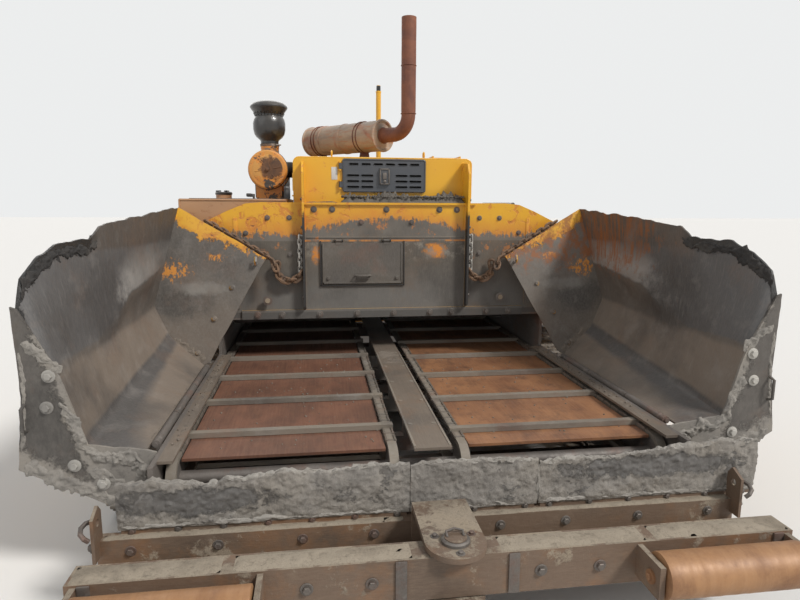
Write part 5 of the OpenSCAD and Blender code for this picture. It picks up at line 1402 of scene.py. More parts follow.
class PAVER_OT_bulkhead_fittings(bpy.types.Operator):
    """Make the bulkhead's bolts, seams, lock chains and door fittings"""

    bl_idname = "paver.bulkhead_fittings"
    bl_label = "Bulkhead fittings"

    def execute(self, context):
        bolts = Shape()
        for x in (-0.36, 0.0, 0.36, -0.48, 0.48):
            bolts.bolt((x, FACE_Y, 1.555), FRONT_WAY, 0.012)
        for x in (-0.17, 0.17):
            bolts.bolt((x, FACE_Y, 1.47), FRONT_WAY, 0.011)
        for x in (-0.86, -0.70, -0.45, -0.20, 0.05, 0.30, 0.45, 0.70, 0.86):
            bolts.bolt((x, FACE_Y - 0.014, ROOF_Z + 0.018), FRONT_WAY, 0.013)
        for side in SIDES.values():
            for x, z in ((0.64, 1.50), (0.78, 1.50), (0.64, 1.26), (0.92, 1.40), (1.10, 1.30), (1.28, 1.15),
                         (1.36, 1.02)):
                bolts.bolt((side * x, FACE_Y, z), FRONT_WAY, 0.010)
            for z in (0.98, 1.22, 1.44, 1.62):
                bolts.bolt((side * (RIB_X + 0.0065), FACE_Y - 0.050, z), (side, 0, 0), 0.009)
        bolts.done("bulkhead_bolts", "bolt_steel")

        seams = Shape()
        # Lap seam across the plate, weld beads beside the ribs and round the opening
        seams.block((-RIB_X + 0.008, FACE_Y - 0.004, 1.366), (RIB_X - 0.008, FACE_Y + 0.001, 1.376), 0.0015)
        for side in SIDES.values():
            for edge in (-1, 1):
                x = side * RIB_X + edge * 0.009
                path = [(x + 0.0008 * lumps((x, 1, k * 0.11), 6.0), FACE_Y - 0.002, 0.90 + k * 0.012)
                        for k in range(58)]
                seams.tube(path, 0.004, 6)
            seams.block((side * 0.985 - 0.012, FACE_Y - 0.004, 0.90),
                        (side * 0.985 + 0.012, FACE_Y + 0.001, 1.50), 0.0015)
        low_door, high_door = low("access_door"), high("access_door")
        x0, x1 = low_door.x - 0.014, high_door.x + 0.014
        z0, z1 = low_door.z - 0.014, 1.349
        for a, b in (((x0, z0), (x1, z0 + 0.010)), ((x0, z0), (x0 + 0.010, z1)),
                     ((x1 - 0.010, z0), (x1, z1))):
            seams.block((a[0], FACE_Y - 0.012, a[1]), (b[0], FACE_Y + 0.001, b[1]), 0.002)
        seams.done("bulkhead_seams", "bulkhead_paint")

        door = Shape()
        face = -0.894
        # Folded rim, stiffening crease and bent handle of the access door
        for a, b in (((x0 + 0.016, 1.062), (x0 + 0.026, 1.333)), ((x1 - 0.026, 1.062), (x1 - 0.016, 1.333)),
                     ((x0 + 0.016, 1.062), (x1 - 0.016, 1.072))):
            door.block((a[0], face - 0.005, a[1]), (b[0], face + 0.001, b[1]), 0.002)
        door.tube([(-0.21, face, 1.115), (-0.21, face - 0.03, 1.12), (-0.19, face - 0.037, 1.12),
                   (-0.13, face - 0.037, 1.12), (-0.11, face - 0.03, 1.12), (-0.11, face, 1.115)], 0.006, 10)
        for x in (-0.39, 0.07):
            door.bolt((x, face, 1.10), FRONT_WAY, 0.009)
        door.done("access_door_fittings", "door_steel", "access_door_body")

        peg = Vector((0.790, -0.930, 0.960))
        for word, side in SIDES.items():
            ring = Shape()
            at = peg + Vector((0, 0.012, 0))
            ring.lathe([(0.016, 0), (0.030, 0.001), (0.031, 0.006), (0.016, 0.007)], at, FRONT_WAY, 20)
            ring.done(f"peg_washer_{word}", "bolt_steel", side=side)
            # Silver chain down the rib's side, and the rusty loop of big links at its foot
            silver = Shape()
            rib = RIB_X + 0.0065
            silver.tube([(rib - 0.002, -0.918, 1.385), (rib + 0.020, -0.918, 1.385),
                         (rib + 0.026, -0.918, 1.375), (rib + 0.024, -0.918, 1.364)], 0.006, 8)
            silver.chain([(rib + 0.020, -0.918, 1.372 - 0.014 * k) for k in range(18)], 0.042, 0.0055)
            silver.done(f"lock_chain_{word}", "pale_bolt", side=side)
            rusty = Shape()
            loop = [(0.570, -0.918, 1.135), (0.585, -0.922, 1.112), (0.612, -0.925, 1.095),
                    (0.650, -0.926, 1.088), (0.688, -0.926, 1.098), (0.716, -0.924, 1.128),
                    (0.726, -0.922, 1.170), (0.722, -0.920, 1.215)]
            rusty.chain(loop, 0.064, 0.0105)
            rusty.done(f"lock_chain_loop_{word}", "chain_rust", side=side)
            # The rest of the chain lies behind the back plate's top edge
            on_wing = Shape()
            path = []
            for k in range(30):
                x = HINGE.x - 0.385 + 0.385 * k / 29
                z = 0.650 + HINGE.z + 0.594 * (x - HINGE.x + 0.360) + 0.010
                path.append((x, lean_y(z) + 0.024, z))
            on_wing.chain([(0.728, lean_y(1.19) + 0.010, 1.190),
                           (0.742, lean_y(1.225) + 0.018, 1.222)] + path,
                          0.056, 0.0085)
            on_wing.done(f"wing_chain_{word}", "chain_rust", f"wing_{word}_body", side=side)
        return {"FINISHED"}


class PAVER_OT_hood(bpy.types.Operator):
    """Make the hood's grille, latch, louvres, label plate, handles and seams"""

    bl_idname = "paver.hood"
    bl_label = "Hood"

    def execute(self, context):
        face = HOOD_Y - 0.014
        # Dark radiator core behind the slots
        core = Shape()
        core.block((-0.268, HOOD_Y + 0.030, 1.688), (0.268, HOOD_Y + 0.040, 1.874), 0.002)
        for k in range(44):
            x = -0.262 + k * 0.0122
            core.block((x, HOOD_Y + 0.022, 1.690), (x + 0.003, HOOD_Y + 0.031, 1.872))
        core.done("radiator_core", "tunnel_dark")

        rim = Shape()
        corners = ((0.267, 1.874, 0), (-0.267, 1.874, 90), (-0.267, 1.688, 180), (0.267, 1.688, 270))
        rim.tube([(cx + 0.012 * math.cos(a), face - 0.001, cz + 0.012 * math.sin(a))
                  for cx, cz, start in corners for a in arc(start, 22.5, 5)], 0.004, 8, closed=True)
        slots = [(-0.240 + i * 0.083, -0.175 + i * 0.083, 1.856) for i in range(6)]
        slots += [(x, x + 0.085, 1.705 + z * 0.038) for z in range(3) for x in (-0.255, -0.160, 0.075, 0.170)]
        for x0, x1, z in slots:
            rim.tube([(x + 0.0085 * math.cos(a), face - 0.0005, z + 0.0085 * math.sin(a))
                      for x, start in ((x1 - 0.008, -90), (x0 + 0.008, 90)) for a in arc(start, 36, 6)],
                     0.0022, 6, closed=True)
        rim.done("grille_lips", "grille_paint", "grille_door_body")

        latch = Shape()
        z0, z1 = 1.722, 1.828
        for a, b in (((-0.034, z0), (-0.026, z1)), ((0.026, z0), (0.034, z1)),
                     ((-0.034, z1 - 0.008), (0.034, z1)), ((-0.034, z0), (0.034, z0 + 0.008))):
            latch.block((a[0], face - 0.020, a[1]), (b[0], face - 0.0135, b[1]), 0.0015)
        latch.block((-0.013, face - 0.022, 1.756), (0.013, face - 0.0135, 1.800), 0.003)
        latch.lathe([(0.010, 0), (0.010, 0.006), (0.008, 0.007)], (0, face - 0.0205, 1.742), FRONT_WAY, 16)
        latch.done("grille_latch", "latch_steel", "grille_door_body")

        label = Shape()
        label.block((-0.358, HOOD_Y - 0.002, 1.752), (-0.318, HOOD_Y + 0.001, 1.836), 0.0008)
        label.done("hood_label_blank", "label_white")

        dressing = Shape()
        # Seam ridges over the hood, its edge roll, and lifting eyes
        for off, along, radius, segments in ((0.003, 0.42, 0.0045, 6), (0.003, 0.98, 0.0045, 6),
                                             (-0.001, 0.004, 0.005, 8), (-0.001, 1.436, 0.005, 8)):
            dressing.tube(hood_outline(off, HOOD_Y + along), radius, segments)
        for x in (-0.35, 0.30):
            for y in (HOOD_Y + 0.16, HOOD_Y + 1.25):
                dressing.lathe([(0.020, 0), (0.020, 0.012), (0.010, 0.014)],
                               (x, y, HOOD_TOP - 0.001), Z_WAY, 20)
                dressing.tube(hoop((x, y, HOOD_TOP + 0.033), 0.020, 20, Y_WAY, Z_WAY), 0.006, 8, closed=True)
        dressing.done("hood_seams", "hood_paint")

        # Each side has louvres and a handle on its door, and fixed louvres behind or before it
        for word, side, door_y, count, fixed_y in (("right", RIGHT, -0.650, 11, 0.16),
                                                   ("left", LEFT, 0.030, 8, -0.62)):
            louvre = Shape()
            x = HOOD_HALF + 0.014
            louvre.louvres(x, [door_y + 0.08 + k * 0.05 for k in range(count)], 0.030, 0.034, (1.675, 1.790))
            louvre.tube([(x + out, door_y + along, 1.655) for out, along in (
                (0, 0.25), (0.028, 0.255), (0.032, 0.27), (0.032, 0.35), (0.028, 0.365), (0, 0.37))],
                0.006, 10)
            louvre.done(f"hood_door_louvres_{word}", "hood_paint", f"hood_door_{word}_body", side=side)
            fixed = Shape()
            fixed.louvres(HOOD_HALF, [fixed_y + k * 0.055 for k in range(8)], 0.032, 0.037, (1.68, 1.80))
            fixed.done(f"hood_louvres_{word}", "hood_paint", side=side)
        return {"FINISHED"}


def hood_outline(off, y):
    """Points over the hood's outside at a place along it."""
    bend = 0.040
    path = [(HOOD_HALF + off, y, 1.62)]
    path += [(HOOD_HALF - bend + (bend + off) * math.cos(a), y, HOOD_TOP - bend + (bend + off) * math.sin(a))
             for a in arc(0, 11.25, 9)]
    return path + [(-x, y, z) for x, y, z in reversed(path)]


CLEANER_AT = (-0.800, -0.160, 1.830)
PRECLEANER_Z = 2.030
MUFFLER_NEAR = Vector((0.040, -0.350, 2.090))
MUFFLER_FAR = Vector((-0.480, 0.250, 2.090))
STACK_TOP = 2.870


class PAVER_OT_exhaust(bpy.types.Operator):
    """Make the muffler with its crimped ends and seams, its saddles, and the rusty stack"""

    bl_idname = "paver.exhaust"
    bl_label = "Exhaust"

    def execute(self, context):
        run = MUFFLER_NEAR - MUFFLER_FAR
        long, way = run.length, run.normalized()
        body = Shape()
        r = 0.112
        profile = [(0.0, -0.010), (0.060, -0.010), (0.095, -0.006), (0.106, 0.0), (r + 0.006, 0.002),
                   (r + 0.007, 0.012), (r, 0.016)]
        for share in (0.23, 0.51):
            d = share * long
            profile += [(r, d - 0.012), (r + 0.004, d - 0.008), (r + 0.004, d + 0.008), (r, d + 0.012)]
        profile += [(r, long - 0.016), (r + 0.007, long - 0.012), (r + 0.006, long - 0.002), (0.106, long),
                    (0.095, long - 0.014), (0.060, long - 0.010), (0.0, long - 0.009)]
        body.lathe([p for p in profile if p[0] > 0], MUFFLER_FAR, way, 56)
        # Lengthwise lock seam
        side = way.cross(Z_WAY).normalized()
        seam = (side * -0.80 + Vector((0, 0, 0.60))).normalized() * (r + 0.001)
        body.tube([MUFFLER_FAR + way * d + seam for d in (0.02, long * 0.5, long - 0.02)], 0.004, 6)
        body.done("muffler_shell", "muffler_paint", replaced=("muffler",))

        straps = Shape()
        for share in (0.15, 0.75):
            centre = MUFFLER_FAR + way * (share * long)
            for edge in (-0.016, 0.016):
                straps.tube(hoop(centre + way * edge, r + 0.003, 40, side, Z_WAY), 0.0035, 6, closed=True)
            straps.block((centre.x - 0.050, centre.y - 0.025, HOOD_TOP - 0.001),
                         (centre.x + 0.050, centre.y + 0.025, HOOD_TOP + 0.010), 0.002)
            straps.plate([(centre.x - 0.045, HOOD_TOP), (centre.x + 0.045, HOOD_TOP),
                          (centre.x + 0.030, 1.998), (centre.x - 0.030, 1.998)], centre.y - 0.006,
                         centre.y + 0.006, "Y", 0.001)
            for x in (-0.038, 0.038):
                straps.bolt((centre.x + x, centre.y - 0.015, HOOD_TOP + 0.010), Z_WAY, 0.007)
        straps.done("muffler_saddles", "stack_rust")

        stack = Shape()
        elbow = 0.130
        turn = MUFFLER_NEAR + way * 0.110
        top = turn + way * elbow
        path = [MUFFLER_NEAR - way * 0.02, MUFFLER_NEAR + way * 0.05, turn]
        path += [turn + way * elbow * math.sin(a) + Vector((0, 0, elbow * (1 - math.cos(a))))
                 for a in arc(7.5, 7.5, 12)]
        radii = [0.052, 0.052, 0.052] + [0.050] * 12
        upright = MUFFLER_NEAR.z + elbow
        for k in range(1, 25):
            z = upright + (STACK_TOP - upright) * k / 24
            path.append(Vector((top.x, top.y, z)))
            radii.append(0.052 + 0.0006 * lumps((0, 0, z), 8.0))
        stack.tube(path, 0.050, 28, wobble=radii)
        # The pipe's mouth is opened: its lid goes, and a narrower wall leads down inside
        cap = [f for f in stack.bm.faces if len(f.verts) > 4 and f.calc_center_median().z > STACK_TOP - 0.01]
        bmesh.ops.delete(stack.bm, geom=cap, context="FACES_ONLY")
        rim = [e for e in stack.bm.edges if e.is_boundary]
        inset = bmesh.ops.extrude_edge_only(stack.bm, edges=rim)["geom"]
        for v in [g for g in inset if isinstance(g, bmesh.types.BMVert)]:
            middle = Vector((top.x, top.y, v.co.z))
            v.co = middle + (v.co - middle) * 0.90
        rim = [e for e in inset if isinstance(e, bmesh.types.BMEdge)]
        deeper = bmesh.ops.extrude_edge_only(stack.bm, edges=[e for e in rim if e.is_boundary])["geom"]
        for v in [g for g in deeper if isinstance(g, bmesh.types.BMVert)]:
            v.co.z -= 0.20
        bmesh.ops.contextual_create(stack.bm, geom=[e for e in stack.bm.edges if e.is_boundary])
        for z in (2.225, 2.55):
            stack.tube(hoop((top.x, top.y, z), 0.0525, 24), 0.0035, 6, closed=True)
        stack.tube(hoop(MUFFLER_NEAR + way * 0.003, 0.054, 24, side, Z_WAY), 0.005, 6, closed=True)
        stack.done("exhaust_stack", "stack_rust", replaced=("exhaust_pipe",), sharp=40)
        return {"FINISHED"}


class PAVER_OT_air_intake(bpy.types.Operator):
    """Make the air cleaner: pre-cleaner bowl, drum with its bands, neck and corrugated hose"""

    bl_idname = "paver.air_intake"
    bl_label = "Air intake"

    def execute(self, context):
        x, y, z = CLEANER_AT
        drum = Shape()
        r = 0.138
        drum.lathe([(0.030, 0.002), (0.10, 0.0), (r - 0.012, 0.004), (r - 0.001, 0.014), (r - 0.001, 0.055),
                    (r - 0.005, 0.060), (r - 0.005, 0.070), (r - 0.001, 0.076), (r - 0.001, 0.300),
                    (r - 0.004, 0.310), (r - 0.004, 0.345), (r - 0.001, 0.355), (r - 0.001, 0.435),
                    (r - 0.014, 0.448), (0.09, 0.450), (0.03, 0.449)], (x, y - 0.300, z), Y_WAY, 56)
        drum.lathe([(0.080, 0.06), (0.074, 0.10), (0.068, 0.125), (0.066, 0.160), (0.068, 0.165),
                    (0.068, 0.1995)],
                   (x, y, z), Z_WAY, 40)
        drum.done("air_cleaner_drum", "cleaner_paint", replaced=("air_cleaner",))
        cap = Shape()
        cap.lathe([(0.020, -0.0035), (0.060, -0.003), (0.095, -0.0015), (0.105, 0.001), (0.02, 0.002)],
                  (x, y - 0.301, z), Y_WAY, 48)
        for a in around(6, 10):
            cap.bar((x + 0.045 * math.cos(a), y - 0.3035, z + 0.045 * math.sin(a)),
                    (x + 0.090 * math.cos(a), y - 0.3025, z + 0.090 * math.sin(a)), 0.004, 6)
        cap.lathe([(0.014, 0), (0.014, 0.014), (0.010, 0.016)], (x, y - 0.304, z), FRONT_WAY, 6)
        cap.done("air_cleaner_end", "cleaner_end")
        bands = Shape()
        for along in (-0.235, 0.085):
            for shift in (-0.010, 0.0, 0.010):
                bands.tube(hoop((x, y + along + shift, z), r + 0.001, 56, X_WAY, Z_WAY), 0.0025,
                           6, closed=True)
            bands.block((x - 0.02, y + along - 0.012, z + r + 0.001),
                        (x + 0.02, y + along + 0.012, z + r + 0.012), 0.003)
        for h in (2.016, 2.022, 2.028):
            bands.tube(hoop((x, y, h), 0.0695, 40), 0.0025, 6, closed=True)
        bands.bar((x + 0.05, y - 0.062, 2.022), (x + 0.085, y - 0.050, 2.022), 0.005, 8)
        bands.done("air_cleaner_bands", "latch_steel")
        cradle = Shape()
        for y0 in (y - 0.220, y + 0.060):
            outline = [(x - 0.090, 1.620), (x + 0.090, 1.620)]
            outline += [(x + 0.137 * math.sin(a), z - 0.137 * math.cos(a)) for a in arc(42, -7, 13)]
            for y1 in (y0, y0 + 0.028):
                cradle.plate(outline, y1, y1 + 0.012, "Y", 0.001)
        cradle.done("air_cleaner_cradle", "cleaner_paint")

        bowl = Shape()
        base = (x, y, PRECLEANER_Z)
        bowl.lathe([(0.060, 0.0), (0.066, 0.004), (0.066, 0.020), (0.072, 0.030), (0.096, 0.050),
                    (0.110, 0.070), (0.118, 0.105), (0.119, 0.150), (0.112, 0.180), (0.100, 0.200),
                    (0.100, 0.212), (0.108, 0.222), (0.128, 0.248), (0.137, 0.262), (0.1375, 0.270),
                    (0.134, 0.277), (0.122, 0.291), (0.095, 0.304), (0.060, 0.312), (0.022, 0.314)],
                   base, Z_WAY, 72)
        bowl.lathe([(0.022, 0.310), (0.020, 0.3185), (0.012, 0.3195)], base, Z_WAY, 6)
        for a in around(24):
            way = Vector((math.cos(a), math.sin(a), 0))
            foot = Vector(base) + way * 0.101 + Vector((0, 0, 0.199))
            bowl.bar(foot, foot + way * 0.012 + Vector((0, 0, 0.026)), 0.0025, 6)
        bowl.done("air_precleaner_bowl", "black_plastic", replaced=("air_precleaner",), sharp=28)

        hose = Shape()
        x0, x1 = x + 0.105, -HOOD_HALF
        path, radii, count = [], [], 44
        for k in range(count + 1):
            t = k / count
            path.append((x0 + (x1 - x0) * t, y - 0.180, z + 0.004 * math.sin(math.pi * t)))
            radii.append(0.0565 + 0.0033 * math.sin(2 * math.pi * t * 11))
        hose.tube(path, 0.058, 36, wobble=radii)
        hose.done("air_hose_bellows", "hose_rubber", replaced=("air_hose",))
        return {"FINISHED"}


TANK_TOP = {"left": 1.620, "right": 1.450}


class PAVER_OT_tanks(bpy.types.Operator):
    """Make the tanks' filler caps, straps, edge seams and the ribs across their steps' treads"""

    bl_idname = "paver.tanks"
    bl_label = "Tank fittings"

    def execute(self, context):
        for word, side in SIDES.items():
            top = TANK_TOP[word]
            y0, y1 = low(f"tank_{word}").y, high(f"tank_{word}").y
            cap = Shape()
            at = (1.180, y0 + 0.900, top + 0.0395)
            cap.lathe([(0.052, -0.006), (0.064, -0.004), (0.066, 0.010), (0.060, 0.018), (0.030, 0.022),
                       (0.012, 0.022)],
                      at, Z_WAY, 40)
            for a in around(3):
                cap.block((at[0] + 0.02, at[1] - 0.007, at[2] + 0.016),
                          (at[0] + 0.060, at[1] + 0.007, at[2] + 0.030), 0.003,
                          Matrix.Rotation(a, 3, "Z"), at)
            cap.done(f"tank_cap_{word}", "black_plastic", side=side)
            straps = Shape()
            for y in (y0 + 0.30, y0 + 1.20):
                path = [(1.3315, y, 0.845), (1.3315, y, top - 0.012), (1.322, y, top + 0.0015),
                        (0.668, y, top + 0.0015), (0.655, y, top - 0.008)]
                for shift in (-0.018, -0.006, 0.006, 0.018):
                    straps.tube([(p[0], p[1] + shift, p[2]) for p in path], 0.0038, 6)
                straps.bolt((1.334, y, 1.0), X_WAY, 0.009)
            straps.done(f"tank_straps_{word}", "dark_paint", side=side)
            seams = Shape()
            for z in (ROOF_Z + 0.012, top - 0.008):
                for ends in (((0.658, y0 - 0.001), (1.327, y0 - 0.001)),
                             ((1.331, y0 + 0.003), (1.331, y1 - 0.003)),
                             ((0.658, y1 + 0.001), (1.327, y1 + 0.001))):
                    seams.tube([(*end, z) for end in ends], 0.005, 8)
            for y in (y0 - 0.0005, y1 + 0.0005):
                seams.tube([(1.3305, y, ROOF_Z + 0.01), (1.3305, y, top - 0.008)], 0.005, 8)
            seams.done(f"tank_seams_{word}", "tank_paint" if side == LEFT else "body_paint", side=side)
        # Ribs across the treads of the tanks' steps
        step = Shape()
        for z in (1.013, 1.283):
            for k in range(8):
                y = -0.222 + k * 0.048
                step.block((1.345, y - 0.004, z - 0.001), (1.452, y + 0.004, z + 0.005), 0.0015)
        step.mirrored()
        step.done("tank_steps", "dark_paint")
        return {"FINISHED"}


class PAVER_OT_conveyor_dressing(bpy.types.Operator):
    """Make the conveyors' chain links, the cover plate's plugs and strips, and the tunnel's curtain, near
    black as painted shade
    """

    bl_idname = "paver.conveyor_dressing"
    bl_label = "Conveyor dressing"

    def execute(self, context):
        links = Shape()
        for x0, x1 in ((0.135, 0.175), (1.045, 1.085)):
            middle = (x0 + x1) / 2
            y = -2.40
            while y < -0.60:
                for x, inner, outer in ((x0, -0.004, 0.005), (x1, -0.005, 0.004)):
                    links.block((x + inner, y, 0.545), (x + outer, y + 0.070, 0.5665), 0.002)
                links.bar((middle - 0.026, y + 0.012, 0.557), (middle + 0.026, y + 0.012, 0.557), 0.008, 8)
                y += 0.082
        links.mirrored()
        links.done("conveyor_links", "link_steel")

        wear = Shape()
        for k in range(5):
            y = -2.30 + k * 0.33
            for x in (-0.055, 0.055):
                wear.lathe([(0.012, 0.0), (0.012, 0.0022), (0.009, 0.0028)],
                           (x, y, GUARD_TOP - 0.0005), Z_WAY, 16)
        for x0, x1 in ((-0.080, -0.070), (0.070, 0.080)):
            wear.block((x0, -2.56, GUARD_TOP - 0.001), (x1, -0.95, GUARD_TOP + 0.003), 0.001)
        wear.done("cover_strips", "bar_steel")

        # Curtain plates inside the tunnel, near black as painted shade under the bulkhead
        curtain = Shape()
        chance = rng("cover")
        for k in range(14):
            x0 = -1.06 + k * 0.153
            if abs(x0 + 0.07) < 0.09:
                continue
            curtain.block((x0, FACE_Y + 0.34, 0.740 + 0.020 * chance.random()),
                          (x0 + 0.150, FACE_Y + 0.346, 0.828), 0.002)
        curtain.done("tunnel_curtain", "tunnel_dark")
        return {"FINISHED"}


PUSH_AXIS = (-3.145, 0.330)


class PAVER_OT_front_beams(bpy.types.Operator):
    """Make the bolts, pin head, brackets' hooks and roller ends at the front"""

    bl_idname = "paver.front_beams"
    bl_label = "Front beams"

    def execute(self, context):
        nose = Shape()
        for x in (-1.18, -0.86, -0.54, -0.26, 0.26, 0.54, 0.86, 1.18):
            nose.bolt((x, -2.700, 0.300), FRONT_WAY, 0.012)
        for side in SIDES.values():
            # Hook and shackle on each end bracket
            x = side * 1.306
            nose.tube([(x, -2.700, 0.43), (x + side * 0.02, -2.715, 0.43), (x + side * 0.028, -2.74, 0.425),
                       (x + side * 0.022, -2.765, 0.415), (x + side * 0.008, -2.772, 0.40),
                       (x - side * 0.004, -2.765, 0.385)], 0.009, 10)
            nose.bolt((x, -2.72, 0.335), (side, 0, 0), 0.012)
        nose.tube([(0.075, -2.700, 0.275), (0.075, -2.715, 0.275)], 0.014, 10)
        nose.done("nose_bolts", "bolt_steel")

        tongue = Shape()
        pin = Vector((0, -2.995, 0.436))
        tongue.lathe([(0.052, -0.012), (0.052, -0.002), (0.046, 0.003)], pin, Z_WAY, 32)
        for a in around(3, 30):
            tongue.bolt((pin.x + 0.078 * math.cos(a), pin.y + 0.078 * math.sin(a), 0.424), Z_WAY, 0.009)
        tongue.tube([(0.030, -2.995, 0.441), (0.030, -2.975, 0.452), (0.0, -2.965, 0.456),
                     (-0.030, -2.975, 0.452), (-0.030, -2.995, 0.441)], 0.005, 8)
        tongue.done("tongue_pin", "bolt_steel")

        beam = Shape()
        for side in SIDES.values():
            for x in (0.30, 0.52, 0.96):
                beam.bolt((side * x, -3.045, 0.320), FRONT_WAY, 0.013)
            for x in (0.20, 1.22):
                beam.block((side * x - 0.02, -3.053, 0.245), (side * x + 0.02, -3.044, 0.395), 0.003)
        beam.done("push_beam_bolts", "bolt_steel", "push_beam_body")

        x0, x1 = 0.686, 1.236
        y, z = PUSH_AXIS
        for word, side in SIDES.items():
            roller = Shape()
            profile = [(0.030, 0.0), (0.070, 0.001), (0.0785, 0.004), (0.0795, 0.010)]
            for k in range(1, 40):
                t = k / 40
                profile.append((0.0790 + 0.0007 * lumps((t * 3, 0, side), 6.0),
                                0.010 + (x1 - x0 - 0.020) * t))
            profile += [(0.0795, x1 - x0 - 0.010), (0.0785, x1 - x0 - 0.004), (0.070, x1 - x0 - 0.001),
                        (0.030, x1 - x0)]
            roller.lathe(profile, (x0, y, z), X_WAY, 56)
            roller.lathe([(0.025, 0), (0.025, 0.616), (0.020, 0.618)], (0.652, y, z), X_WAY, 28)
            for x, way in ((0.653, -1), (1.2685, 1)):
                roller.bolt((x, y, z), (way, 0, 0), 0.011, 0)
            roller.done(f"push_roller_shell_{word}", "roller_bronze", f"push_roller_{word}_body",
                        (f"push_roller_{word}",), side=side)
        return {"FINISHED"}


# A wing cylinder's lower eye and its run with the wing down
WING_CYLINDER_FOOT, WING_CYLINDER_RUN = Vector((1.209, -2.300, 0.260)), Vector((0.170, 0, 0.270))


class PAVER_OT_frame_details(bpy.types.Operator):
    """Make the frame's bolts, the hydraulic pipes along the frame and the wing barrels' fittings"""

    bl_idname = "paver.frame_details"
    bl_label = "Frame details"

    def execute(self, context):
        bolts = Shape()
        for y in HINGE_LUGS:
            bolts.bolt((HINGE.x, y, HINGE.z - 0.040), X_WAY, 0.007)
        for y in (-2.30, -2.0, -1.5, -1.0):
            for z in (0.30, 0.47):
                bolts.bolt((1.120, y, z), X_WAY, 0.012)
        for y in (1.45, 1.62):
            for z in (0.45, 0.62, 0.78):
                bolts.bolt((1.120, y, z), X_WAY, 0.012)
        bolts.mirrored()
        bolts.done("frame_bolts", "bolt_steel")

        pipes = Shape()
        r = sizes().hose
        for k in range(3):
            z = 0.445 - k * 0.032
            path = [(1.138, -2.20, z), (1.138, -1.0, z), (1.138, -0.2, z), (1.138, 1.1, z),
                    (1.138, 1.5, z + 0.10)]
            pipes.tube(path, r * 0.7, 8)
        for y in (-2.1, -1.4, -0.7, 0.0, 0.7, 1.3):
            pipes.block((1.119, y - 0.014, 0.360), (1.149, y + 0.014, 0.470), 0.003)
        pipes.mirrored()
        pipes.done("frame_pipes", "hose_rubber")

        # Collars and oil line of each wing cylinder's barrel
        for word, side in SIDES.items():
            twin = Shape()
            base, way = WING_CYLINDER_FOOT, WING_CYLINDER_RUN.normalized()
            for along, wide in ((0.225, 0.024), (0.034, 0.018)):
                twin.lathe([(0.0345, 0), (0.0365, 0.004), (0.0365, wide - 0.004), (0.0345, wide)],
                           base + way * along, way, 28)
            twin.oil_line(base, way, (0.055, 0.215), (0.030, 0.055, 0.12, 0.058), 0.009)
            twin.done(f"wing_barrel_fittings_{word}", "dark_paint", f"wing_barrel_{word}_body", side=side)
        return {"FINISHED"}


# Idler and sprocket: Y, Z and the radius that the shoes' outside goes round them
TRACK_AXES = ((-1.740, 0.251, 0.225), (1.300, 0.326, 0.300))
SHOE_HIGH = 0.026
SHOES = 46
TEETH = 23
LINK_X = (1.262, 1.418)
AXLE_Z = 0.1143
AXLE_Y = [-1.320 + 0.400 * k for k in range(6)]


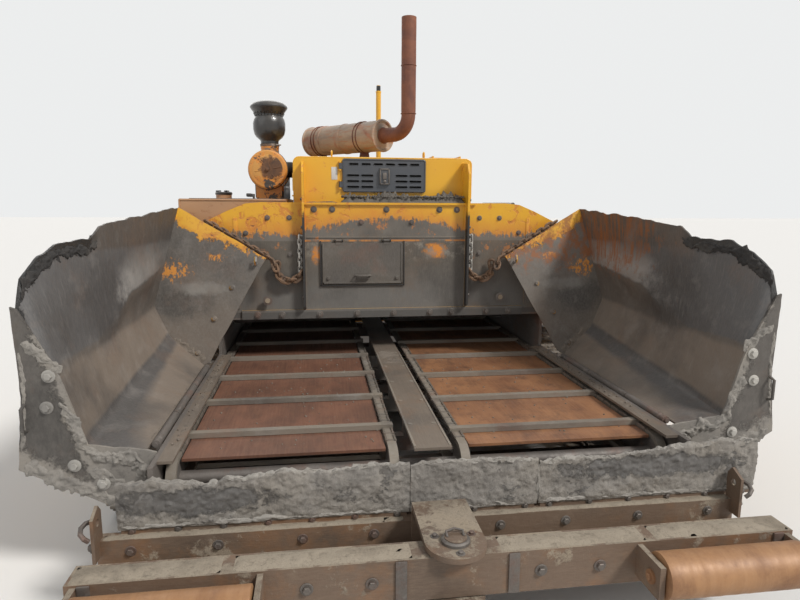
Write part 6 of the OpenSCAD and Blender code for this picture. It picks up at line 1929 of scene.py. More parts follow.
class PAVER_OT_tracks(bpy.types.Operator):
    """Make the crawler tracks: bolted shoes on twin links, rollers, idler and toothed sprocket"""

    bl_idname = "paver.tracks"
    bl_label = "Tracks"

    def course(self):
        """The belt's straight run, the tilt of its upper run, and its way round sprocket and idler."""
        (y0, z0, r0), (y1, z1, r1) = TRACK_AXES
        base = y1 - y0
        tilt = 2 * math.atan((z1 - z0) / base)
        return base, tilt, (math.pi + tilt) * r1, (math.pi - tilt) * r0

    def at(self, s):
        """Place and tilt on the belt's outside, at a distance along it from under the idler."""
        (y0, z0, r0), (y1, z1, r1) = TRACK_AXES
        base, tilt, far, _ = self.course()
        if s < base:
            return y0 + s, SHOE_HIGH, math.pi
        if s < base + far:
            a = -math.pi / 2 + (s - base) / r1
            return y1 + r1 * math.cos(a), z1 + r1 * math.sin(a), a - math.pi / 2
        if s < 2 * base + far:
            d, n = s - base - far, math.pi / 2 + tilt
            return (y1 + r1 * math.cos(n) - d * math.cos(tilt), z1 + r1 * math.sin(n) - d * math.sin(tilt),
                    n - math.pi / 2)
        a = math.pi / 2 + tilt + (s - 2 * base - far) / r0
        return y0 + r0 * math.cos(a), z0 + r0 * math.sin(a), a - math.pi / 2

    def execute(self, context):
        (y0, z0, _), (y1, z1, _) = TRACK_AXES
        base, _, far, near = self.course()
        length = 2 * base + far + near
        for word, side in SIDES.items():
            shoes, links = Shape(), Shape()
            for i in range(SHOES):
                y, z, turn = self.at((i + 0.5) * length / SHOES)
                matrix = Matrix.Rotation(turn, 3, "X")

                def put(x, along, up):
                    return Vector((x, y, z)) + matrix @ Vector((0, along, up))

                outline = [(-0.066, -0.004), (0.066, -0.004), (0.066, 0.006), (0.058, 0.0115),
                           (0.022, 0.0125), (0.014, 0.0255), (-0.002, 0.0255), (-0.008, 0.0125),
                           (-0.058, 0.0115), (-0.066, 0.006)]
                edge = [(1.151, 0.9), (1.156, 1.0), (1.524, 1.0), (1.529, 0.9)]
                shoes.faces_of([[put(x, a, u * w if u > 0 else u) for a, u in outline] for x, w in edge])
                for x in (1.245, 1.435):
                    for along in (-0.038, 0.040):
                        spot = put(x, along, 0.0118)
                        way = matrix @ Z_WAY
                        shoes.lathe([(0.011, -0.001), (0.011, 0.007), (0.009, 0.009)], spot, way, 6)
                link = ((-0.074, -0.010), (-0.060, -0.0235), (0.060, -0.0235), (0.074, -0.010),
                        (0.060, -0.002), (-0.060, -0.002))
                for x in LINK_X:
                    for shift in (-0.016, 0.016):
                        links.faces_of([[put(x + shift + w, a, u) for a, u in link] for w in (-0.006, 0.006)])
                links.bar(put(1.236, 0.0, -0.014), put(1.444, 0.0, -0.014), 0.009, 10)
            shoes.done(f"track_shoes_{word}", "track_steel", replaced=(f"track_{word}",), side=side)
            links.done(f"track_links_{word}", "track_steel", side=side)

            wheels = Shape()
            for y in AXLE_Y:
                wheels.lathe([(0.030, 0), (0.050, 0.002), (0.062, 0.010), (0.062, 0.044), (0.050, 0.050),
                              (0.048, 0.090), (0.050, 0.130), (0.062, 0.136), (0.062, 0.170), (0.050, 0.178),
                              (0.030, 0.180)], (1.250, y, AXLE_Z), X_WAY, 28)
                wheels.bar((1.235, y, AXLE_Z), (1.445, y, AXLE_Z), 0.020, 14)
            wheels.lathe([(0.050, 0), (0.060, 0.004), (0.150, 0.010), (0.180, 0.004), (0.196, 0.004),
                          (0.199, 0.020), (0.199, 0.055), (0.192, 0.062), (0.192, 0.128), (0.199, 0.135),
                          (0.199, 0.170), (0.196, 0.186), (0.180, 0.186), (0.150, 0.180), (0.060, 0.186),
                          (0.050, 0.190)],
                         (1.245, y0, z0), X_WAY, 56)
            wheels.bar((1.210, y0, z0), (1.470, y0, z0), 0.025, 20)
            teeth = []
            for k, a in enumerate(around(TEETH * 4)):
                r = 0.272 if k % 4 in (0, 1) else 0.250
                teeth.append((y1 + r * math.cos(a), z1 + r * math.sin(a)))
            for x in LINK_X:
                wheels.plate(teeth, x - 0.014, x + 0.014, "X", 0.002)
            wheels.lathe([(0.060, 0), (0.120, 0.002), (0.190, 0.020), (0.200, 0.030), (0.200, 0.150),
                          (0.190, 0.158), (0.130, 0.170), (0.110, 0.188), (0.060, 0.190)],
                         (1.245, y1, z1), X_WAY, 40)
            for a in around(12):
                wheels.bolt((1.4145, y1 + 0.155 * math.cos(a), z1 + 0.155 * math.sin(a)), X_WAY, 0.011)
            wheels.done(f"track_wheels_{word}", "track_steel",
                        replaced=("track_rollers",) if side == LEFT else (), side=side)

            rail = Shape()
            for y in AXLE_Y:
                for x in (1.212, 1.456):
                    rail.plate([(y - 0.045, 0.182), (y + 0.045, 0.182), (y + 0.028, 0.098),
                                (y - 0.028, 0.098)],
                               x, x + 0.012, "X", 0.001)
                    rail.bolt((x + (0.012 if x > 1.3 else 0), y, AXLE_Z), (1 if x > 1.3 else -1, 0, 0), 0.010)
            for y in (-1.20, -0.60, 0.0, 0.60):
                rail.bolt((1.470, y, 0.25), X_WAY, 0.013)
            for foot, top in ((0.315, 0.333), (0.186, 0.200)):
                rail.block((1.468, -1.38, foot), (1.476, 0.86, top), 0.002)
            rail.done(f"track_frame_fittings_{word}", "fender_paint", side=side)
        return {"FINISHED"}


TOW_PIN = (-0.350, 0.500)
# A lift cylinder's eyes with the screed down
LIFT_TOP, LIFT_FOOT = Vector((1.510, 1.740, 1.480)), Vector((1.510, 1.960, 0.770))


class PAVER_OT_tow_and_lift(bpy.types.Operator):
    """Make the fenders' gussets and strips, the tow arms' seams and bolts and the lift cylinders' fittings"""

    bl_idname = "paver.tow_and_lift"
    bl_label = "Tow arms and lift cylinders"

    def execute(self, context):
        fender = Shape()
        for y in (-0.72, -0.25, 0.25, 0.75, 1.15):
            fender.plate([(1.122, 0.829), (1.122, 0.735), (1.20, 0.829)], y - 0.004, y + 0.004, "Y", 0.001)
        fender.block((1.538, -0.855, 0.800), (1.549, 1.35, 0.829), 0.002)
        for y in (-0.6, -0.1, 0.5, 1.1):
            for x in (1.20, 1.47):
                fender.bolt((x, y, 0.840), Z_WAY, 0.010)
        # Anti-slip strips on the fender beside the tanks
        for k in range(28):
            y = -0.80 + k * 0.075
            fender.block((1.37, y, 0.839), (1.52, y + 0.012, 0.8425), 0.001)
        fender.mirrored()
        fender.done("fender_fittings", "fender_paint")

        pins = Shape()
        y, z = TOW_PIN
        for a in around(4, 45):
            pins.bolt((1.616, y + 0.031 * math.cos(a), z + 0.031 * math.sin(a)), X_WAY, 0.007, 0)
        pins.mirrored()
        pins.done("tow_pin_bolts", "bolt_steel")

        arm = Shape()
        for z0, z1 in ((0.448, 0.560), (0.566, 0.706)):
            arm.bar((1.5990, -0.20, z0), (1.5990, 1.70, z1), 0.005, 8)
        for y, z in ((0.30, 0.53), (1.00, 0.57), (2.00, 0.62), (2.50, 0.62)):
            arm.bolt((1.600, y, z), X_WAY, 0.013)
        arm.mirrored()
        arm.done("tow_arm_seams", "body_paint", "screed_body")

        for word, side in SIDES.items():
            lift = Shape()
            base, way = LIFT_TOP, (LIFT_FOOT - LIFT_TOP).normalized()
            lift.lathe([(0.0385, 0), (0.0415, 0.004), (0.0415, 0.026), (0.036, 0.030), (0.023, 0.031)],
                       base + way * 0.406, way, 32)
            lift.lathe([(0.0385, 0), (0.0410, 0.004), (0.0410, 0.020), (0.0385, 0.024)],
                       base + way * 0.036, way, 32)
            lift.oil_line(base, way, (0.38, 0.07), (0.036, 0.062, 0.25, 0.066), 0.010)
            lift.done(f"lift_barrel_fittings_{word}", "dark_paint", f"lift_barrel_{word}_body", side=side)
        return {"FINISHED"}


class PAVER_OT_augers(bpy.types.Operator):
    """Make the spreading augers: cast flights on a shaft, with bolts, bearings and the middle chain case"""

    bl_idname = "paver.augers"
    bl_label = "Augers"

    def execute(self, context):
        y, z, r, pitch = 2.090, 0.420, 0.200, 0.300
        x0, x1 = 0.130, 1.390
        for word, side in SIDES.items():
            auger = Shape()
            steps = 150
            rings = []
            for k in range(steps + 1):
                t = k / steps
                x = x0 + (x1 - x0) * t
                a = 2 * math.pi * (x - x0) / pitch
                up, out = math.sin(a), math.cos(a)
                wear = 0.003 * lumps((x, side, 3), 9.0)
                section = [(0.036, 0.012), (0.10, 0.009), (0.165, 0.008), (r - 0.004 + wear, 0.006)]
                rings.append([Vector((x + way * half, y + out * radius, z + up * radius))
                              for way, part in ((-1, section), (1, section[::-1])) for radius, half in part])
            auger.faces_of(rings)
            auger.bar((0.020, y, z), (1.424, y, z), 0.038, 32)
            x = x0 + 0.075
            while x < x1:
                auger.lathe([(0.038, 0), (0.046, 0.003), (0.046, 0.021), (0.038, 0.024)], (x - 0.012, y, z),
                            X_WAY, 28)
                a = 2 * math.pi * (x - x0) / pitch
                for way in (Vector((0, -math.sin(a), math.cos(a))), Vector((0, math.sin(a), -math.cos(a)))):
                    auger.bolt(Vector((x, y, z)) + way * 0.045, way, 0.008, 0)
                x += pitch / 2
            auger.done(f"auger_flights_{word}", "auger_steel", f"auger_{word}_body",
                       (f"auger_{word}",), 35, side)
        case = Shape()
        for side in SIDES.values():
            case.lathe([(0.050, 0), (0.075, 0.001), (0.080, 0.006), (0.080, 0.012), (0.070, 0.016),
                        (0.050, 0.017)],
                       (side * 0.0995, y, z), (side, 0, 0), 32)
            for a in around(6):
                case.bolt((side * 0.1145, y + 0.066 * math.cos(a), z + 0.066 * math.sin(a)),
                          (side, 0, 0), 0.007, 0)
            case.lathe([(0.050, 0), (0.066, 0.002), (0.066, 0.008), (0.050, 0.010)], (side * 1.405, y, z),
                       (-side, 0, 0), 28)
        for cx in (-0.070, 0.070):
            for cz in (0.42, 0.55, 0.68):
                case.bolt((cx, 2.180, cz), Y_WAY, 0.010)
        case.block((-0.085, 2.179, 0.345), (0.085, 2.186, 0.735), 0.003)
        for x in (-1.2, -0.8, -0.4, 0.4, 0.8, 1.2):
            case.bolt((x, 1.870, 0.79), Y_WAY, 0.012)
        case.done("auger_case_fittings", "fender_paint")
        return {"FINISHED"}


def cushion(name, outline, x0, x1, body="tractor", puff=0.014, grooves=(), replaced=(), fill=0.7):
    """A padded form: a closed side outline drawn across, blown up by cloth simulation, then seamed."""
    shape = Shape()
    steps = 3
    rings = []
    for k in range(steps + 1):
        x = x0 + (x1 - x0) * k / steps
        rings.append([(x, y, z) for y, z in outline])
    shape.faces_of(rings)
    bmesh.ops.recalc_face_normals(shape.bm, faces=shape.bm.faces[:])
    mesh = bpy.data.meshes.new(name)
    shape.bm.to_mesh(mesh)
    shape.bm.free()
    obj = bpy.data.objects.new(name, mesh)
    bpy.context.scene.collection.objects.link(obj)
    voxel = obj.modifiers.new("even", "REMESH")
    voxel.mode = "VOXEL"
    voxel.voxel_size = 0.016
    soft = obj.modifiers.new("soft", "SMOOTH")
    soft.iterations = 6
    soft.factor = 0.5
    bake(obj)
    rest = [v.co.copy() for v in obj.data.vertices]
    cloth = obj.modifiers.new("pad", "CLOTH")
    cloth.settings.use_pressure = True
    cloth.settings.uniform_pressure_force = 4.0
    cloth.settings.effector_weights.gravity = 0.0
    cloth.settings.quality = 4
    cloth.point_cache.frame_start = 1
    cloth.point_cache.frame_end = 12
    for number in range(cloth.point_cache.frame_start, cloth.point_cache.frame_end + 1):
        bpy.context.scene.frame_set(number)
    bake(obj)
    for v, at in zip(obj.data.vertices, rest):
        move = v.co - at
        if move.length > puff:
            v.co = at + move * (puff / move.length)
    # Sewn channels across and a seam round each side
    for v in obj.data.vertices:
        for axis, place, width, depth in grooves:
            d = abs(v.co[axis] - place)
            if d < width:
                v.co -= v.normal * depth * (1 - d / width) ** 2
    even = obj.modifiers.new("even", "SUBSURF")
    even.levels = even.render_levels = 1
    bake(obj)
    for polygon in obj.data.polygons:
        polygon.use_smooth = True
    obj.data.materials.clear()
    obj.data.materials.append(MATERIALS["seat_vinyl"])
    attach(obj, body)
    if replaced:
        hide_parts(*replaced)
    return obj


def bake(obj):
    """Applies all modifiers of an object to its mesh."""
    depsgraph = bpy.context.evaluated_depsgraph_get()
    final = bpy.data.meshes.new_from_object(obj.evaluated_get(depsgraph))
    obj.modifiers.clear()
    old = obj.data
    obj.data = final
    final.name = obj.name
    bpy.data.meshes.remove(old)


DECK_Z = 1.130
DECK_FRONT, DECK_REAR = 0.700, 1.780
STATION_X = 0.900
SEAT_HALF = 0.198


class PAVER_OT_seats(bpy.types.Operator):
    """Make the operators' seats: padded pans and backs, armrests, bellows and slides"""

    bl_idname = "paver.seats"
    bl_label = "Seats"

    def execute(self, context):
        y, z = DECK_FRONT + 0.640, DECK_Z
        for word, side in SIDES.items():
            x0, x1 = sorted((side * (STATION_X - SEAT_HALF), side * (STATION_X + SEAT_HALF)))
            middle = side * STATION_X
            pan = [(y - 0.040, z + 0.285), (y + 0.345, z + 0.285), (y + 0.345, z + 0.362),
                   (y + 0.150, z + 0.352), (y, z + 0.374), (y - 0.045, z + 0.358), (y - 0.050, z + 0.312)]
            grooves = [(0, middle - 0.11, 0.016, 0.008), (0, middle + 0.11, 0.016, 0.008),
                       (1, y + 0.06, 0.014, 0.006), (1, y + 0.20, 0.014, 0.006)]
            cushion(f"seat_pan_{word}", pan, x0, x1, grooves=grooves,
                    replaced=("seats",) if side == LEFT else ())
            back = [(y + 0.345, z + 0.372), (y + 0.392, z + 0.362), (y + 0.415, z + 0.62),
                    (y + 0.432, z + 0.835), (y + 0.412, z + 0.836), (y + 0.372, z + 0.62)]
            grooves = [(0, middle - 0.10, 0.016, 0.007), (0, middle + 0.10, 0.016, 0.007),
                       (2, z + 0.50, 0.014, 0.006), (2, z + 0.64, 0.014, 0.006)]
            cushion(f"seat_back_{word}", back,
                    *sorted((side * (STATION_X - 0.185), side * (STATION_X + 0.185))), grooves=grooves)
            arms = Shape()
            for way in (-1, 1):
                ax = STATION_X + way * 0.235
                arms.block((ax - 0.024, y + 0.065, z + 0.522), (ax + 0.024, y + 0.375, z + 0.558), 0.012)
                bx = STATION_X + way * 0.212
                arms.block((bx - 0.011, y + 0.352, z + 0.362), (bx + 0.011, y + 0.388, z + 0.556), 0.006)
            arms.done(f"seat_armrests_{word}", "console_plastic", side=side)
            base = Shape()
            base.block((STATION_X - SEAT_HALF, y - 0.035, z + 0.268),
                       (STATION_X + SEAT_HALF, y + 0.345, z + 0.290), 0.008)
            rings = []
            for k in range(17):
                h = z + 0.062 + (0.268 - 0.062) * k / 16
                r = 0.100 + (0.007 if k % 2 else -0.004)
                rings.append([(STATION_X + a * r, y + 0.125 + b * (r + 0.005), h)
                              for a, b in ((-1, -0.9), (-0.9, -1), (0.9, -1), (1, -0.9), (1, 0.9),
                                           (0.9, 1), (-0.9, 1), (-1, 0.9))])
            base.faces_of(rings)
            base.done(f"seat_bellows_{word}", "hose_rubber", side=side, sharp=50)
            slide = Shape()
            slide.block((STATION_X - 0.128, y - 0.008, z), (STATION_X + 0.128, y + 0.258, z + 0.030), 0.004)
            for way in (-1, 1):
                slide.block((STATION_X + way * 0.105 - 0.012, y - 0.008, z + 0.030),
                            (STATION_X + way * 0.105 + 0.012, y + 0.258, z + 0.062), 0.003)
            slide.tube([(STATION_X - 0.08, y - 0.012, z + 0.045), (STATION_X - 0.08, y - 0.05, z + 0.05),
                        (STATION_X + 0.08, y - 0.05, z + 0.05), (STATION_X + 0.08, y - 0.012, z + 0.045)],
                       0.006, 8)
            slide.done(f"seat_slide_{word}", "dark_paint", side=side)
        return {"FINISHED"}


class PAVER_OT_consoles(bpy.types.Operator):
    """Make the consoles' dials, switches, levers, knobs, desk trim and column screws"""

    bl_idname = "paver.consoles"
    bl_label = "Consoles"

    def execute(self, context):
        y, z = DECK_FRONT, DECK_Z
        # The desk's plane leans between these two places in Y and Z
        a, b = Vector((0, y + 0.470, z + 0.620)), Vector((0, y + 0.300, z + 0.770))
        along = (b - a).normalized()
        up = Vector((0, along.z, -along.y))
        for word, side in SIDES.items():
            def spot(across, t):
                return Vector((STATION_X + across, 0, 0)) + a + along * t
            panel = Shape()
            corners = [spot(-0.112, 0.012), spot(0.112, 0.012), spot(0.112, 0.214), spot(-0.112, 0.214)]
            panel.faces_of([corners, [c + up * 0.004 for c in corners]])
            for across in (-0.075, -0.025, 0.025, 0.075):
                panel.lathe([(0.019, 0.003), (0.0205, 0.010), (0.018, 0.012), (0.016, 0.009), (0.003, 0.009)],
                            spot(across, 0.185), up, 24)
            for row in (0.085, 0.115):
                for k in range(5):
                    at = spot(-0.085 + 0.042 * k, row) + up * 0.003
                    panel.lathe([(0.0075, 0), (0.0075, 0.006), (0.0035, 0.007), (0.0028, 0.020),
                                 (0.0035, 0.022)],
                                at, up + along * 0.25, 12)
            panel.lathe([(0.022, 0), (0.020, 0.020), (0.017, 0.024)],
                        spot(-0.065, 0.040) + up * 0.003, up, 28)
            panel.done(f"console_panel_{word}", "dark_paint", side=side)
            stop = Shape()
            stop.lathe([(0.011, 0), (0.011, 0.012), (0.019, 0.013), (0.019, 0.022), (0.014, 0.025)],
                       spot(0.075, 0.038) + up * 0.003, up, 28)
            stop.done(f"console_stop_knob_{word}", "lens_red", side=side)
            levers = Shape()
            for across in (-0.015, 0.020):
                foot = spot(across, 0.045) + up * 0.003
                levers.lathe([(0.014, 0), (0.011, 0.010), (0.006, 0.016), (0.004, 0.018), (0.004, 0.070)],
                             foot, up, 16)
                levers.lathe([(0.005, 0), (0.011, 0.006), (0.012, 0.014), (0.008, 0.022), (0.003, 0.024)],
                             foot + up * 0.066, up, 20)
            # Edge trim of the desk and the column's screws
            levers.block((STATION_X - 0.070, y + 0.194, z + 0.60),
                         (STATION_X + 0.070, y + 0.202, z + 0.72), 0.002)
            for h in (z + 0.10, z + 0.42):
                for across in (-0.07, 0.07):
                    levers.bolt((STATION_X + across, y + 0.241, h), FRONT_WAY, 0.007)
            levers.done(f"console_levers_{word}", "black_plastic", side=side)
        return {"FINISHED"}


def tread_marks(shape, x0, x1, y0, y1, z, step=0.042):
    """Raised diamonds over a walkway."""
    rise = sizes().tread
    columns, lines = int((x1 - x0) / step), int((y1 - y0) / step)
    for i in range(columns):
        for j in range(lines):
            x, y = x0 + (i + 0.5) * step, y0 + (j + 0.5) * step
            turn = math.radians(45 if (i + j) % 2 else -45)
            c, s = math.cos(turn), math.sin(turn)
            foot = [shape.bm.verts.new((x + a * c - b * s, y + a * s + b * c, z - 0.0005))
                    for a, b in ((-0.016, 0), (0, -0.004), (0.016, 0), (0, 0.004))]
            top = shape.bm.verts.new((x, y, z + rise))
            for k in range(4):
                shape.bm.faces.new((foot[k], foot[(k + 1) % 4], top))
            shape.bm.faces.new(foot[::-1])


class PAVER_OT_deck(bpy.types.Operator):
    """Make the deck's raised tread, kick strips, rail joints, lamps and the mast's collar"""

    bl_idname = "paver.deck"
    bl_label = "Deck"

    def execute(self, context):
        tread = Shape()
        tread_marks(tread, -1.440, 1.440, DECK_FRONT + 0.010, DECK_REAR - 0.010, DECK_Z)
        tread.done("deck_tread", "deck_metal", sharp=10)

        strips = Shape()
        front, rear = DECK_FRONT + 0.002, DECK_REAR - 0.008
        for y, x0, x1 in ((front, -1.446, 1.446), (rear, -1.446, -0.90), (rear, -0.45, 0.45),
                          (rear, 0.90, 1.446)):
            strips.block((x0, y, DECK_Z - 0.002), (x1, y + 0.006, DECK_Z + 0.050), 0.002)
        for side in SIDES.values():
            x = side * 1.444
            strips.block((min(x, x - side * 0.006), DECK_FRONT + 0.004, DECK_Z - 0.002),
                         (max(x, x - side * 0.006), DECK_REAR - 0.004, DECK_Z + 0.050), 0.002)
            for y in (DECK_FRONT + 0.040, DECK_REAR - 0.040):
                strips.lathe([(0.018, 0), (0.040, 0.001), (0.040, 0.008), (0.022, 0.012), (0.018, 0.013)],
                             (side * 1.410, y, DECK_Z), Z_WAY, 24)
        strips.done("deck_strips", "dark_paint")

        lamps, lenses = Shape(), Shape()
        for side in SIDES.values():
            for y, way in ((DECK_FRONT + 0.040, -1), (DECK_REAR - 0.040, 1)):
                x = side * 1.410
                lamps.block((x - 0.045, y - 0.028, 1.500), (x + 0.045, y + 0.028, 1.570), 0.010)
                lamps.lathe([(0.020, 0), (0.020, 0.050), (0.0185, 0.052)], (x, y, 1.462), Z_WAY, 20)
                lenses.block((x - 0.038, y + way * 0.026 - 0.004, 1.507),
                             (x + 0.038, y + way * 0.026 + 0.004, 1.563), 0.003)
        lamps.done("lamp_housings", "black_plastic")
        lenses.done("lamp_lenses", "label_white")
        tail, glow = Shape(), Shape()
        for side in SIDES.values():
            x = side * 1.30
            tail.block((x - 0.065, DECK_REAR - 0.004, 1.040), (x + 0.065, DECK_REAR + 0.010, 1.100), 0.004)
            glow.block((x - 0.058, DECK_REAR + 0.006, 1.046), (x + 0.058, DECK_REAR + 0.020, 1.094), 0.006)
        tail.done("tail_lamp_frames", "black_plastic")
        glow.done("tail_lamp_lenses", "lens_red")

        mast = Shape()
        x, y, top = 0.180, 1.360, high("mast").z
        mast.lathe([(0.0255, 0), (0.033, 0.002), (0.033, 0.030), (0.0255, 0.034)],
                   (x, y, DECK_Z + 0.012), Z_WAY, 28)
        mast.lathe([(0.020, 0), (0.028, 0.001), (0.028, 0.016), (0.0205, 0.020)],
                   (x, y, top - 0.072), Z_WAY, 28)
        for a in around(4, 45):
            mast.bolt((x + 0.052 * math.cos(a), y + 0.052 * math.sin(a), DECK_Z + 0.012), Z_WAY, 0.007)
        mast.done("mast_collars", "body_paint")
        tip = Shape()
        tip.lathe([(0.0205, 0), (0.0215, 0.004), (0.0215, 0.046), (0.018, 0.0515), (0.010, 0.0525)],
                  (x, y, top - 0.052), Z_WAY, 28)
        tip.done("mast_tip", "black_plastic")
        return {"FINISHED"}


SCREED_TOP = 0.415
CRANK_X = 1.495
GATE_X = 1.530


class PAVER_OT_screed(bpy.types.Operator):
    """Make the screed's tread plates, covers, depth cranks and hoses, and the end gates' springs"""

    bl_idname = "paver.screed"
    bl_label = "Screed"

    def execute(self, context):
        top = SCREED_TOP
        tread = Shape()
        tread_marks(tread, -1.44, 1.44, 2.49, 2.80, top, 0.046)
        tread.done("screed_tread", "deck_metal", "screed_body", sharp=10)

        body = Shape()
        for x in (-1.10, -0.55, 0.0, 0.55, 1.10):
            body.block((x - 0.20, 2.345, 0.300), (x + 0.20, 2.361, 0.305), 0.002)
        for x in (-1.30, -0.95, -0.60, -0.25, 0.25, 0.60, 0.95, 1.30):
            for z in (0.300, 0.075):
                body.bolt((x, 2.890, z), Y_WAY, 0.010)
        for x in (-0.75, 0.75):
            # Covers of the tamper's bearings on top
            body.block((x - 0.16, 2.52, top - 0.001), (x + 0.16, 2.70, top + 0.035), 0.010)
            for dx in (-0.13, 0.13):
                for dy in (2.54, 2.68):
                    body.bolt((x + dx, dy, top + 0.035), Z_WAY, 0.008)
        body.done("screed_covers", "screed_paint", "screed_body")

        cranks = Shape()
        for side in SIDES.values():
            x = side * CRANK_X
            cranks.lathe([(0.030, 0), (0.030, 0.012), (0.020, 0.016), (0.014, 0.018), (0.014, 0.170),
                          (0.012, 0.172)],
                         (x, 2.650, 0.714), Z_WAY, 24)
            cranks.tube([(x, 2.650, 0.880), (x, 2.650, 0.892), (x, 2.665, 0.900), (x, 2.760, 0.900),
                         (x, 2.772, 0.906), (x, 2.775, 0.920), (x, 2.775, 0.990)], 0.009, 10)
            cranks.lathe([(0.010, 0), (0.017, 0.004), (0.018, 0.060), (0.012, 0.068)],
                         (x, 2.775, 0.930), Z_WAY, 20)
        cranks.done("depth_cranks", "bolt_steel", "screed_body")

        hoses = Shape()
        r = sizes().hose
        for k in range(3):
            y = 2.420 + k * 0.028
            path = [(-1.40 + 2.80 * j / 24,
                     y + (0.005 * math.sin(j * 1.1 + k) if 0 < j < 24 else 0), top + 0.012)
                    for j in range(25)]
            hoses.tube(path, r, 10)
        for x in (-1.3, -0.65, 0.0, 0.65, 1.3):
            hoses.block((x - 0.015, 2.402, top - 0.001), (x + 0.015, 2.494, top + 0.027), 0.004)
        hoses.done("screed_hoses", "hose_rubber", "screed_body")

        for word, side in SIDES.items():
            gate = Shape()
            x = GATE_X
            for y in (2.98, 3.14):
                gate.lathe([(0.016, 0), (0.016, 0.006), (0.012, 0.008), (0.012, 0.12), (0.016, 0.122),
                            (0.016, 0.128)],
                           (x + 0.018, y, 0.260), Z_WAY, 16)
                turns, wind = 8, 0.016
                coil = [(x + 0.018 + wind * math.cos(t), y + wind * math.sin(t), 0.27 + 0.1 * k / 128)
                        for k, t in enumerate(2 * math.pi * turns * k / 128 for k in range(129))]
                gate.tube(coil, 0.0028, 6)
                for z in (0.250, 0.385):
                    gate.block((x - 0.001, y - 0.020, z), (x + 0.036, y + 0.020, z + 0.012), 0.003)
            gate.block((x - 0.001, 2.905, 0.016), (x + 0.012, 3.222, 0.060), 0.003)
            for y in (2.93, 3.06, 3.19):
                gate.bolt((x + 0.012, y, 0.038), X_WAY, 0.009)
            gate.done(f"end_gate_springs_{word}", "dark_paint", f"extension_{word}_body", side=side)
            step = Shape()
            tread_marks(step, 0.04, 1.50, 2.998, 3.218, 0.330, 0.044)
            step.done(f"extension_tread_{word}", "deck_metal", f"extension_{word}_body", sharp=10, side=side)
            bolts = Shape()
            for bx in (0.15, 0.50, 0.85, 1.20, 1.42):
                for z in (0.250, 0.075):
                    bolts.bolt((bx, 3.225, z), Y_WAY, 0.010)
            bolts.block((0.04, 3.2235, 0.155), (1.50, 3.2275, 0.165), 0.001)
            bolts.done(f"extension_bolts_{word}", "bolt_steel", f"extension_{word}_body", side=side)
        return {"FINISHED"}


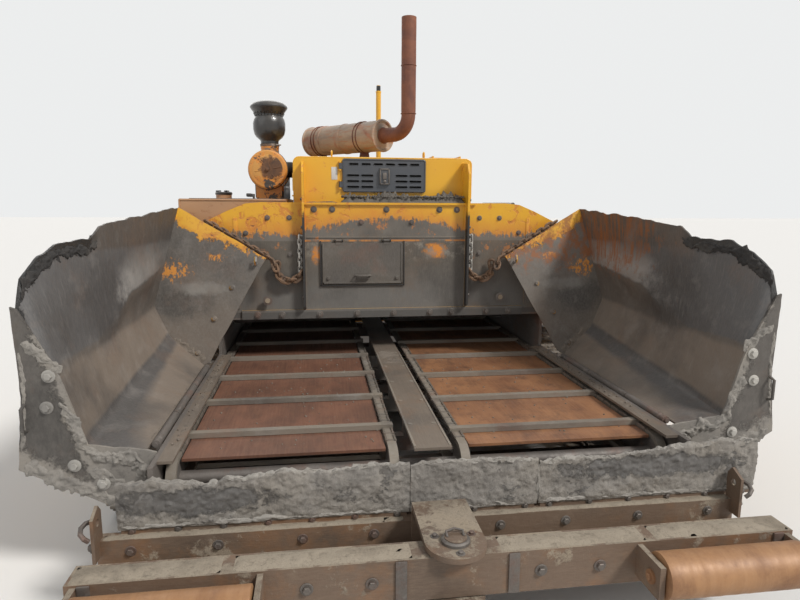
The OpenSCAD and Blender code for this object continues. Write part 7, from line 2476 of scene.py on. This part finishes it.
class PAVER_OT_stage(bpy.types.Operator):
    """Make the pale floor, the soft lights and the camera at the photograph's place"""

    bl_idname = "paver.stage"
    bl_label = "Stage"

    def execute(self, context):
        scene = context.scene
        mesh = bpy.data.meshes.new("floor")
        reach = 60.0
        mesh.from_pydata([(-reach, -reach, 0), (reach, -reach, 0), (reach, reach, 0), (-reach, reach, 0)], [],
                         [(0, 1, 2, 3)])
        floor = bpy.data.objects.new("floor", mesh)
        scene.collection.objects.link(floor)
        f = Finish("floor_plain")
        f.close((0.74, 0.73, 0.71, 1), 0.95)
        mesh.materials.append(f.material)

        world = bpy.data.worlds.new("studio")
        scene.world = world
        world.use_nodes = True
        sky = Tree(world.node_tree)
        world.node_tree.nodes.clear()
        path = sky.new("ShaderNodeLightPath").outputs
        seen = sky.math("MAXIMUM", path["Is Camera Ray"],
                        sky.math("MAXIMUM", path["Is Glossy Ray"], path["Is Transmission Ray"]))
        soft = sky.new("ShaderNodeBackground", {0: (0.93, 0.96, 1.0, 1), 1: 0.37})
        shown = sky.new("ShaderNodeBackground", {0: (0.84, 0.85, 0.85, 1), 1: 1.0})
        both = sky.new("ShaderNodeMixShader", {0: seen, 1: soft.outputs[0], 2: shown.outputs[0]})
        out = sky.new("ShaderNodeOutputWorld")
        sky.tree.links.new(both.outputs[0], out.inputs[0])

        # Even light of far soft lamps: key from the front right, fill from the left, rim from behind
        lights = (("key", (5.0, -4.5, 6.5), 12.0, 1.0), ("fill", (-6.0, -4.0, 4.0), 50.0, 0.15),
                  ("back", (-1.0, 7.0, 4.5), 50.0, 0.28))
        for name, place, width, share in lights:
            lamp = bpy.data.lights.new(name, "SUN")
            lamp.angle = math.radians(width)
            lamp.energy = sizes().sun * share
            lamp.color = (1.0, 0.975, 0.94)
            obj = bpy.data.objects.new(name, lamp)
            obj.location = place
            obj.rotation_euler = (-Vector(place)).to_track_quat("-Z", "Y").to_euler()
            scene.collection.objects.link(obj)

        camera = bpy.data.cameras.new("camera")
        camera.sensor_width = 36.0
        camera.lens = 27.0
        camera.clip_end = 200.0
        obj = bpy.data.objects.new("camera", camera)
        scene.collection.objects.link(obj)
        obj.location = (-0.47, -4.90, 1.60)
        heading, tilt, roll = (math.radians(a) for a in (-8.0, 90.0 - 9.2, 0.3))
        turn = Matrix.Rotation(heading, 3, "Z") @ Matrix.Rotation(tilt, 3,
                                                                  "X") @ Matrix.Rotation(roll, 3, "Z")
        obj.rotation_euler = turn.to_euler()
        scene.camera = obj
        scene.view_settings.view_transform = "Standard"
        return {"FINISHED"}


OPERATORS = (PAVER_OT_finishes, PAVER_OT_wings, PAVER_OT_flaps, PAVER_OT_asphalt, PAVER_OT_bulkhead_fittings,
             PAVER_OT_hood, PAVER_OT_exhaust, PAVER_OT_air_intake, PAVER_OT_tanks,
             PAVER_OT_conveyor_dressing, PAVER_OT_front_beams, PAVER_OT_frame_details, PAVER_OT_tracks,
             PAVER_OT_tow_and_lift, PAVER_OT_augers, PAVER_OT_seats, PAVER_OT_consoles, PAVER_OT_deck,
             PAVER_OT_screed, PAVER_OT_stage)


class PAVER_PT_panel(bpy.types.Panel):
    """Sidebar panel that lists the pieces"""

    bl_idname = "PAVER_PT_panel"
    bl_label = "Asphalt paver"
    bl_space_type = "VIEW_3D"
    bl_region_type = "UI"
    bl_category = "Paver"

    def draw(self, context):
        for operator in OPERATORS:
            self.layout.operator(operator.bl_idname)
        for settings in (colours(), sizes()):
            for key in settings.__annotations__:
                self.layout.prop(settings, key)


CLASSES = (PaverColours, PaverSizes, *OPERATORS, PAVER_PT_panel)


def register():
    for cls in CLASSES:
        bpy.utils.register_class(cls)
    bpy.types.Scene.paver_colours = bpy.props.PointerProperty(type=PaverColours)
    bpy.types.Scene.paver_sizes = bpy.props.PointerProperty(type=PaverSizes)


def unregister():
    del bpy.types.Scene.paver_sizes
    del bpy.types.Scene.paver_colours
    for cls in reversed(CLASSES):
        bpy.utils.unregister_class(cls)


def call(operator):
    """Runs one operator through bpy.ops."""
    space, name = operator.bl_idname.split(".")
    getattr(getattr(bpy.ops, space), name)()


def main():
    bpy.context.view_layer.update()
    register()
    for operator in OPERATORS:
        call(operator)


if __name__ == "__main__":
    main()
